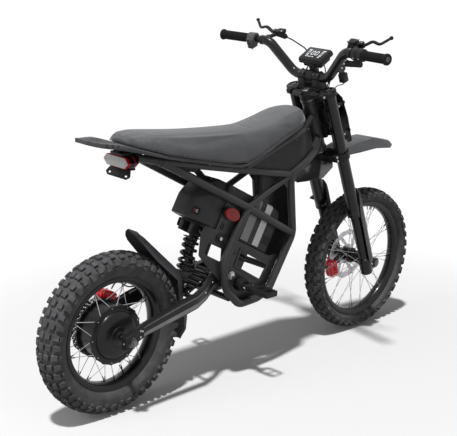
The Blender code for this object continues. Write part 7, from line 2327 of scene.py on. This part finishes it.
def build_seat():
    stations = seat_line(5)
    rings = [cushion_ring(*s) for s in stations]
    ends = []
    for ring, toward in ((rings[0], -1), (rings[-1], 1)):
        middle = sum(ring, Vector()) / len(ring)
        for keep, push in ((0.86, 0.0035), (0.55, 0.0055)):
            ends.append([middle + (p - middle) * keep + Vector((toward * push, 0, 0)) for p in ring])
    rings = [ends[1], ends[0], *rings, ends[2], ends[3]]
    cushion = loft(rings)
    cover = plump(cushion, shape().seat_pressure, 0.0022, 0.0045)
    soft = temporary("cushion_smooth", cover)
    calm = soft.modifiers.new("calm", "SMOOTH")
    calm.iterations = 3
    calm.factor = 0.5
    subdivided = soft.modifiers.new("fine", "SUBSURF")
    subdivided.levels = 1
    subdivided.render_levels = 1
    cover = mesh_from(soft, 0.0)
    # Upward share of each point's normal, kept for the seat's painted top light.
    upward = cover.attributes.new("upward", "FLOAT", "POINT")
    upward.data.foreach_set("value", [max(0.0, v.normal.z) for v in cover.vertices])
    seat = show("seat_cover", "frame", "vinyl", [cover], BIKE, ["seat_cushion"], 75)
    seams = []
    for side in (-1, 1):
        low_line = []
        for x, wide, *_ in stations[2:-2]:
            low_line.append(Vector((x, side * (wide + 0.0010), station_at(BASE_STATIONS, x)[1] + 0.0052)))
        seams.append(tube(None, 0.0013, level=3, path=low_line))
    show("seat_piping", "frame", "thread", seams, BIKE)


def build_seat_base():
    columns = [curved([(s[0], s[i], 0.0) for s in BASE_STATIONS], 3) for i in (1, 2, 3)]
    sections = []
    for wide, top, thick in zip(*columns):
        x, w, z, t = wide.x, wide.y, top.y, thick.y
        half = [(w * 0.97, z - t), (w, z - t * 0.72), (w, z - t * 0.25), (w * 0.975, z)]
        sections.append([(x, -y, h) for y, h in half[::-1]][::-1] + [(x, y, h) for y, h in half[::-1]])
    base = loft(sections)
    tools = []
    slope = math.atan2(0.9240 - 0.9075, 0.094)
    for i, (x, half) in enumerate(((-0.094, 0.022), (-0.076, 0.030), (-0.058, 0.037), (-0.040, 0.043),
        (-0.022, 0.048))):
        z = station_at(BASE_STATIONS, x)[1]
        recess = plate(slot_outline((0, -half), (0, half), 0.0042), 0.009,
            along(x, 0.0, z) @ Matrix.Rotation(slope, 4, "Y"))
        tools.append(recess)
    for side in (-1, 1):
        for x in (-0.066, -0.050, -0.034):
            wide, top, thick = station_at(BASE_STATIONS, x)
            tools.append(box((0.0060, 0.0060, 0.0300), (x, side * (wide + 0.0002), top - 0.004), 0.0))
    base = cut(base, tools)
    show("tail_plate", "frame", "grey", [base], BIKE, ["seat_base"], 30)
    spots = []
    for side in (-1, 1):
        for x in (0.055, 0.215, 0.330):
            wide, top, thick = station_at(BASE_STATIONS, x)
            spots.append(facing((x, side * (wide - 0.014), top - thick), (0, 0, -1)))
    show("seat_base_screws", "frame", "zinc", [at_places(button_screw(0.0040, 0.0022), spots)], BIKE)


def build_panels():
    for side, word in SIDES:
        rows = []
        lines = (
            ((0.520, 0.7690), (0.524, 0.7710)),
            ((0.600, 0.7440), (0.600, 0.7990)),
            ((0.735, 0.7200), (0.735, 0.8450)),
            ((0.7930, 0.7490), (0.7910, 0.8620)),
            ((0.830, 0.7650), (0.825, 0.8700)),
            ((0.874, 0.7800), (0.862, 0.8760)),
        )
        for low, high in lines:
            near = PANEL_Y - max(0.0, low[0] - 0.790) * 0.28
            far = PANEL_Y - max(0.0, high[0] - 0.790) * 0.60
            start, end = Vector((low[0], near, low[1])), Vector((high[0], far, high[1]))
            row = []
            for t in (0.0, 0.10, 0.16, 0.5, 0.84, 0.90, 1.0):
                point = start.lerp(end, t)
                proud = 0.0018 if 0.12 < t < 0.88 and 0.56 < point.x < 0.84 else 0.0
                row.append((point.x, side * (point.y + proud), point.z))
            rows.append(row)
        rows = spread(rows, 4)
        if side > 0:
            rows = [row[::-1] for row in rows]
        panel = shell(rows, 0.0025)
        show(f"side_panel_{word}_skin", "frame", "panel", [panel], BIKE, [f"side_panel_{word}"], 20)
        spots = []
        for x, z in ((0.612, 0.7650), (0.752, 0.8350), (0.762, 0.7450), (0.838, 0.8600)):
            y = PANEL_Y - max(0.0, x - 0.790) * 0.45 + 0.0018
            spots.append(facing((x, side * y, z), (0, side, 0)))
        show(f"side_panel_{word}_screws", "frame", "alloy", [at_places(button_screw(0.0038, 0.0018), spots)], BIKE)
    inner = SIDE_Y - MAIN_TUBE - 0.0003
    line = ((0.7000, 0.4000), (0.7270, 0.4460), (0.7540, 0.4920), (0.7500, 0.5500), (0.7410, 0.6250), (0.7320, 0.7000))
    rows = []
    for x, z in line:
        rows.append([(x + dx, y, z) for y,
            dx in ((-inner, 0.0), (-inner * 0.72, 0.0), (-inner * 0.62, -0.005), (inner * 0.62, -0.005),
            (inner * 0.72, 0.0), (inner, 0.0))])
    cover = [shell(rows, 0.003, 0.0005)]
    show("front_cover_sheet", "frame", "panel", cover, BIKE, ["front_cover"])
    spots = [facing((x + 0.0005, y, z), (1, 0, 0.1)) for x, z in ((0.7500, 0.5500), (0.7370, 0.6600))
        for y in (-0.062, 0.062)]
    show("front_cover_screws", "frame", "alloy", [at_places(button_screw(0.0036, 0.002), spots)], BIKE)


def build_tail():
    inner = RAIL[0][1] - RAIL_TUBE + 0.0006
    lamp_at = Vector((0.0390, 0.0, 0.8385))
    lamp_half = 0.0215
    back = lamp_at.x + lamp_half + 0.0003
    pieces = [cross_rod(0.0700, 0.8503, -inner, inner, 0.0080)]
    pieces.append(box((0.052, 0.060, 0.0100), (0.0440, 0.0, 0.8626), 0.002))
    pieces.append(box((0.012, 0.060, 0.060), (back + 0.0060, 0.0, 0.8376), 0.002))
    pieces.append(box((0.036, 0.060, 0.0050), (back - 0.0060, 0.0, 0.8110), 0.001))
    pieces.append(dome(0.0085, 0.0075, along(0.0285, 0.0, 0.8675), 32))
    lower, upper = Vector((0.0205, 0.0, 0.7875)), Vector((0.0380, 0.0, 0.8155))
    across = (upper - lower).length
    lean = math.atan2(upper.x - lower.x, upper.z - lower.z)
    holder_place = Matrix.Translation(lower) @ Matrix.Rotation(lean, 4, "Y") @ ONTO_X
    outline = [(-0.0460, 0.0), (-0.0600, 0.0110), (-0.0480, across), (0.0480, across), (0.0600, 0.0110), (0.0460, 0.0)]
    holes = [slot_outline((y - 0.0035, 0.0105), (y + 0.0035, 0.0105), 0.0030) for y in (-0.0406, 0.0406)]
    pieces.append(plate(rounded(outline, 0.004), 0.003, holder_place, holes, 0.0006))
    show("tail_bracket_plates", "frame", "cast", pieces, BIKE, ["tail_bracket"])
    outline = [(-0.0635, 0.0), (-0.046, 0.0178), (0.046, 0.0178), (0.0635, 0.0), (0.046, -0.0178), (-0.046, -0.0178)]
    place = Matrix.Translation(lamp_at) @ ONTO_X
    body = plate(rounded([(y * 0.985, z * 0.96) for y, z in outline], 0.004), 2 * lamp_half - 0.008,
        place @ along(0, 0, 0.004), edge=0.002)
    show("tail_light_body", "frame", "gloss", [body], BIKE, ["tail_light"])
    rim = plate(rounded(outline, 0.004), 0.0090, place @ along(0, 0, -lamp_half + 0.0052), edge=0.0022, segments=3)
    band = plate(rounded([(y, z * 0.985) for y, z in outline], 0.004), 0.0040, place @ along(0, 0, 0.0100), edge=0.0010)
    show("tail_light_edge", "frame", "red_edge", [rim, band], BIKE)
    glass = plate(rounded([(y * 0.94, z * 0.90) for y, z in outline], 0.003), 0.0040,
        place @ along(0, 0, -lamp_half + 0.0012), edge=0.0012)
    show("tail_light_lens", "frame", "tail_lens", [glass], BIKE)
    screws = [place @ along(y, 0.0, -lamp_half - 0.0002) @ Matrix.Rotation(math.pi, 4, "X") for y in (-0.0505, 0.0505)]
    show("tail_light_screws", "frame", "alloy", [at_places(button_screw(0.0024, 0.0012), screws)], BIKE)


# Studio

PHOTO_WIDTH = 457.0
SENSOR_WIDTH = 36.0
FOCAL_PIXELS = 1108.18
CAMERA_PLACE = (-2.7142, -2.6512, 1.6210)
CAMERA_TURN = (0.79445, 0.27577, 0.03814)
FLOOR_HALF = 30.0
# Floor tone near the bike and far off: the lower one is painted shade round where the bike stands.
FLOOR_PAINTED_SHADE_TONES = (0.91, 1.13)
KEY_FROM = (-0.31, -0.15, 1.0)
KEY_ANGLE = math.radians(3.6)
LAMPS = (
    ("rear_lamp", (-3.6, 0.4, 1.5), (1.6, 2.2), 30.0),
    ("right_lamp", (-0.6, -3.8, 1.3), (2.4, 1.6), 16.0),
)


def build_stage():
    """A pale floor, with painted shade round the bike, that counts as darker for diffuse rays only, a sun, two lamps
    hidden from gloss and the camera.
    """
    floor_mesh = bpy.data.meshes.new("floor")
    corners = [(-FLOOR_HALF, -FLOOR_HALF, 0), (FLOOR_HALF, -FLOOR_HALF, 0), (FLOOR_HALF, FLOOR_HALF, 0),
               (-FLOOR_HALF, FLOOR_HALF, 0)]
    floor_mesh.from_pydata(corners, [], [(0, 1, 2, 3)])
    floor = temporary("studio_floor", floor_mesh)
    shade = Shader("studio_floor", (0.90, 0.90, 0.90), 0.85, Specular_IOR_Level=0.1)
    x, y, _ = shade.parts(shade.object_place())
    seen = shade.ray("Is Camera Ray") + shade.ray("Is Glossy Ray") + shade.ray("Is Transmission Ray")
    # Painted shade on the floor: darker round the bike where its shade falls, turning to the far tone further out.
    near, far = (shade.tone(tone) for tone in FLOOR_PAINTED_SHADE_TONES)
    white = shade.mix((x * x * 0.55 + y * y * 0.8).between(0.4, 2.6), near, far)
    shade.set("Base Color", shade.mix(seen, shade.tone(shape().floor_bounce), white))
    floor_mesh.materials.append(shade.material)
    world = bpy.data.worlds.new("studio")
    bpy.context.scene.world = world
    world.use_nodes = True
    tree = world.node_tree
    tree.nodes.clear()
    path = tree.nodes.new("ShaderNodeLightPath")
    seen_by = path.outputs["Is Camera Ray"]
    for other in ("Is Transmission Ray", "Is Glossy Ray"):
        either = tree.nodes.new("ShaderNodeMath")
        either.operation = "MAXIMUM"
        tree.links.new(seen_by, either.inputs[0])
        tree.links.new(path.outputs[other], either.inputs[1])
        seen_by = either.outputs[0]
    skies = []
    for strength in (shape().sky_strength, 1.0):
        skies.append(tree.nodes.new("ShaderNodeBackground"))
        skies[-1].inputs["Color"].default_value = (1.0, 1.0, 1.0, 1.0)
        skies[-1].inputs["Strength"].default_value = strength
    mix = tree.nodes.new("ShaderNodeMixShader")
    out = tree.nodes.new("ShaderNodeOutputWorld")
    tree.links.new(seen_by, mix.inputs[0])
    for place, sky in enumerate(skies, 1):
        tree.links.new(sky.outputs[0], mix.inputs[place])
    tree.links.new(mix.outputs[0], out.inputs["Surface"])
    sun = bpy.data.lights.new("key_sun", "SUN")
    sun.energy = shape().key_strength
    sun.angle = KEY_ANGLE
    made = temporary("key_sun", sun)
    made.matrix_world = facing((0.0, 0.0, 3.0), KEY_FROM)
    for name, place, size, power in LAMPS:
        lamp = bpy.data.lights.new(name, "AREA")
        lamp.shape = "RECTANGLE"
        lamp.size, lamp.size_y = size
        lamp.energy = power
        made = temporary(name, lamp)
        made.matrix_world = facing(place, Vector(place) - Vector((0.0, 0.0, 0.5)))
        made.visible_glossy = False
    lens = bpy.data.cameras.new("photo_camera")
    lens.sensor_width = SENSOR_WIDTH
    lens.lens = FOCAL_PIXELS * SENSOR_WIDTH / PHOTO_WIDTH
    made = temporary("photo_camera", lens)
    yaw, pitch, roll = CAMERA_TURN
    look = Vector((math.cos(pitch) * math.cos(yaw), math.cos(pitch) * math.sin(yaw), -math.sin(pitch)))
    made.matrix_world = facing(CAMERA_PLACE, -look) @ Matrix.Rotation(roll, 4, "Z")
    bpy.context.scene.camera = made
    bpy.context.scene.view_settings.view_transform = "Standard"


# Sidebar, operators and the build


def make_tools():
    """The finishes and the node trees for repeated parts."""
    make_paints()
    TREES.update(round=round_tree(), line=line_tree(), places=place_tree())


def colour(name, default, what):
    return bpy.props.FloatVectorProperty(
        name=name, description=what, default=default, size=3, min=0.0, max=1.0, subtype="COLOR"
    )


def length(name, default, what):
    return bpy.props.FloatProperty(
        name=name, description=what, default=default, min=0.001, max=0.1, precision=4, unit="LENGTH"
    )


class BicycleShape(bpy.types.PropertyGroup):
    frame_colour: colour("Frame", (0.036, 0.036, 0.0375), "Colour of the frame tubes")
    seat_colour: colour("Seat", (0.052, 0.053, 0.056), "Colour of the seat cover")
    tyre_colour: colour("Tyres", (0.080, 0.080, 0.083), "Colour of the tyre walls")
    caliper_colour: colour("Calipers", (0.80, 0.012, 0.017), "Colour of the brake calipers")
    reflector_colour: colour("Reflectors", (0.42, 0.004, 0.008), "Colour of the red lenses")
    rear_tread: length("Rear tread", 0.0090, "Height of the rear tyre's knobs")
    front_tread: length("Front tread", 0.0076, "Height of the front tyre's knobs")
    spring_radius: length("Spring radius", 0.0240, "Radius of the shock's coil at its wire")
    spring_wire: length("Spring wire", 0.0054, "Radius of the coil's wire")
    spoke_count: bpy.props.IntProperty(
        name="Spokes", description="Number of spokes in each wheel", default=36, min=12, max=48, step=4
    )
    seat_pressure: bpy.props.FloatProperty(
        name="Seat pressure", description="Pressure that fills the seat cover", default=4.0, min=0.0, max=10.0
    )
    key_strength: bpy.props.FloatProperty(
        name="Key light", description="Strength of the main light", default=2.95, min=0.0, max=10.0
    )
    floor_bounce: bpy.props.FloatProperty(
        name="Floor bounce", description="Tone of the floor for the light that it throws back",
        default=0.30, min=0.0, max=1.2
    )
    sky_strength: bpy.props.FloatProperty(
        name="Fill light", description="Strength of the light from all round", default=0.15, min=0.0, max=2.0
    )


class BuildStep:
    """Runs one builder and stops with an error if it added nothing."""
    bl_options = {"REGISTER", "UNDO"}

    def execute(self, context):
        before = len(bpy.data.objects) + len(PAINTS)
        self.build()
        if len(bpy.data.objects) + len(PAINTS) == before:
            raise RuntimeError(f"{self.bl_label} added nothing")
        return {"FINISHED"}


class BICYCLE_OT_finishes(BuildStep, bpy.types.Operator):
    """Every paint, plastic, rubber and metal used by the pieces"""
    bl_idname = "bicycle.finishes"
    bl_label = "Finishes"
    build = staticmethod(make_tools)


class BICYCLE_OT_rear_wheel(BuildStep, bpy.types.Operator):
    """Rear tyre, rim, spokes, hub motor and brake disc"""
    bl_idname = "bicycle.rear_wheel"
    bl_label = "Rear wheel"
    build = staticmethod(build_rear_wheel)


class BICYCLE_OT_front_wheel(BuildStep, bpy.types.Operator):
    """Front tyre, rim, spokes, hub and brake disc"""
    bl_idname = "bicycle.front_wheel"
    bl_label = "Front wheel"
    build = staticmethod(build_front_wheel)


class BICYCLE_OT_fork(BuildStep, bpy.types.Operator):
    """Fork tubes, sliders, guards and front axle"""
    bl_idname = "bicycle.fork"
    bl_label = "Fork"
    build = staticmethod(build_fork)


class BICYCLE_OT_front_caliper(BuildStep, bpy.types.Operator):
    """Front brake caliper with its lug and bolts"""
    bl_idname = "bicycle.front_caliper"
    bl_label = "Front caliper"
    build = staticmethod(build_front_caliper)


class BICYCLE_OT_clamps(BuildStep, bpy.types.Operator):
    """Upper and lower fork clamps, stem nut and steering lock"""
    bl_idname = "bicycle.clamps"
    bl_label = "Fork clamps"
    build = staticmethod(build_clamps)


class BICYCLE_OT_bar(BuildStep, bpy.types.Operator):
    """Handlebar with its two clamp posts"""
    bl_idname = "bicycle.bar"
    bl_label = "Handlebar"
    build = staticmethod(build_bar)


class BICYCLE_OT_grips(BuildStep, bpy.types.Operator):
    """Left grip and turning throttle grip"""
    bl_idname = "bicycle.grips"
    bl_label = "Grips"
    build = staticmethod(build_grips)


class BICYCLE_OT_levers(BuildStep, bpy.types.Operator):
    """Brake levers, master cylinders and reservoirs with their screws"""
    bl_idname = "bicycle.levers"
    bl_label = "Brake levers"
    build = staticmethod(build_levers)


class BICYCLE_OT_switches(BuildStep, bpy.types.Operator):
    """Switch housings and horn button"""
    bl_idname = "bicycle.switches"
    bl_label = "Switches"
    build = staticmethod(build_switches)


class BICYCLE_OT_cockpit(BuildStep, bpy.types.Operator):
    """Display and horn"""
    bl_idname = "bicycle.cockpit"
    bl_label = "Cockpit"
    build = staticmethod(build_cockpit)


class BICYCLE_OT_front_panels(BuildStep, bpy.types.Operator):
    """Cowl and headlight at the front of the steering"""
    bl_idname = "bicycle.front_panels"
    bl_label = "Front plate"
    build = staticmethod(build_front_panels)


class BICYCLE_OT_front_fender(BuildStep, bpy.types.Operator):
    """Front mudguard with its posts and bolts"""
    bl_idname = "bicycle.front_fender"
    bl_label = "Front mudguard"
    build = staticmethod(build_front_fender)


class BICYCLE_OT_cables(BuildStep, bpy.types.Operator):
    """Front brake hose as two pieces with a gap between them, control cables and loom"""
    bl_idname = "bicycle.cables"
    bl_label = "Hoses and cables"
    build = staticmethod(build_cables)


class BICYCLE_OT_frame(BuildStep, bpy.types.Operator):
    """Left and right frame tubes, welds and head tube"""
    bl_idname = "bicycle.frame"
    bl_label = "Frame"
    build = staticmethod(build_frame)


class BICYCLE_OT_cradle(BuildStep, bpy.types.Operator):
    """Side plates that hold the battery and the foot pegs, and the upper shock bolt"""
    bl_idname = "bicycle.cradle"
    bl_label = "Battery cradle"
    build = staticmethod(build_cradle)


class BICYCLE_OT_battery(BuildStep, bpy.types.Operator):
    """Battery case, handle, power switch, vents, screws and reflective bands"""
    bl_idname = "bicycle.battery"
    bl_label = "Battery"
    build = staticmethod(build_battery)


class BICYCLE_OT_electrics(BuildStep, bpy.types.Operator):
    """Reflectors, battery lock, controller and its leads"""
    bl_idname = "bicycle.electrics"
    bl_label = "Electrics"
    build = staticmethod(build_electrics)


class BICYCLE_OT_swingarm(BuildStep, bpy.types.Operator):
    """Swingarm with its bands, axle nuts, pivot and shock bolts"""
    bl_idname = "bicycle.swingarm"
    bl_label = "Swingarm"
    build = staticmethod(build_swingarm)


class BICYCLE_OT_rear_brake(BuildStep, bpy.types.Operator):
    """Rear caliper with its hose and the motor cable"""
    bl_idname = "bicycle.rear_brake"
    bl_label = "Rear brake"
    build = staticmethod(build_rear_brake)


class BICYCLE_OT_rear_fender(BuildStep, bpy.types.Operator):
    """Rear mudguard and its fixings"""
    bl_idname = "bicycle.rear_fender"
    bl_label = "Rear mudguard"
    build = staticmethod(build_rear_fender)


class BICYCLE_OT_shock(BuildStep, bpy.types.Operator):
    """Shock bodies and the coil"""
    bl_idname = "bicycle.shock"
    bl_label = "Shock absorber"
    build = staticmethod(build_shock)


class BICYCLE_OT_pegs(BuildStep, bpy.types.Operator):
    """Left and right folding foot pegs"""
    bl_idname = "bicycle.pegs"
    bl_label = "Foot pegs"
    build = staticmethod(build_pegs)


class BICYCLE_OT_seat(BuildStep, bpy.types.Operator):
    """Padded seat cover with its lower seam"""
    bl_idname = "bicycle.seat"
    bl_label = "Seat"
    build = staticmethod(build_seat)


class BICYCLE_OT_seat_base(BuildStep, bpy.types.Operator):
    """Seat base with the slotted tail plate"""
    bl_idname = "bicycle.seat_base"
    bl_label = "Seat base"
    build = staticmethod(build_seat_base)


class BICYCLE_OT_panels(BuildStep, bpy.types.Operator):
    """Side panels and front cover"""
    bl_idname = "bicycle.panels"
    bl_label = "Panels"
    build = staticmethod(build_panels)


class BICYCLE_OT_tail(BuildStep, bpy.types.Operator):
    """Tail light, bracket and plate holder"""
    bl_idname = "bicycle.tail"
    bl_label = "Tail"
    build = staticmethod(build_tail)


class BICYCLE_OT_stage(BuildStep, bpy.types.Operator):
    """Floor, soft light and the photo's camera"""
    bl_idname = "bicycle.stage"
    bl_label = "Studio"
    build = staticmethod(build_stage)


STEPS = tuple(BuildStep.__subclasses__())


class BICYCLE_PT_sidebar(bpy.types.Panel):
    """Sizes, colours and one button for each group of pieces"""
    bl_idname = "BICYCLE_PT_sidebar"
    bl_label = "Electric Bicycle"
    bl_space_type = "VIEW_3D"
    bl_region_type = "UI"
    bl_category = "Bicycle"

    def draw(self, context):
        column = self.layout.column()
        for name in BicycleShape.__annotations__:
            column.prop(context.scene.bicycle_shape, name)
        for step in STEPS:
            column.operator(step.bl_idname)


CLASSES = (BicycleShape, *STEPS, BICYCLE_PT_sidebar)


def register():
    for made in CLASSES:
        bpy.utils.register_class(made)
    bpy.types.Scene.bicycle_shape = bpy.props.PointerProperty(type=BicycleShape)


def unregister():
    del bpy.types.Scene.bicycle_shape
    for made in reversed(CLASSES):
        bpy.utils.unregister_class(made)


def main():
    register()
    for step in STEPS:
        group, name = step.bl_idname.split(".")
        getattr(getattr(bpy.ops, group), name)()


if __name__ == "__main__":
    main()
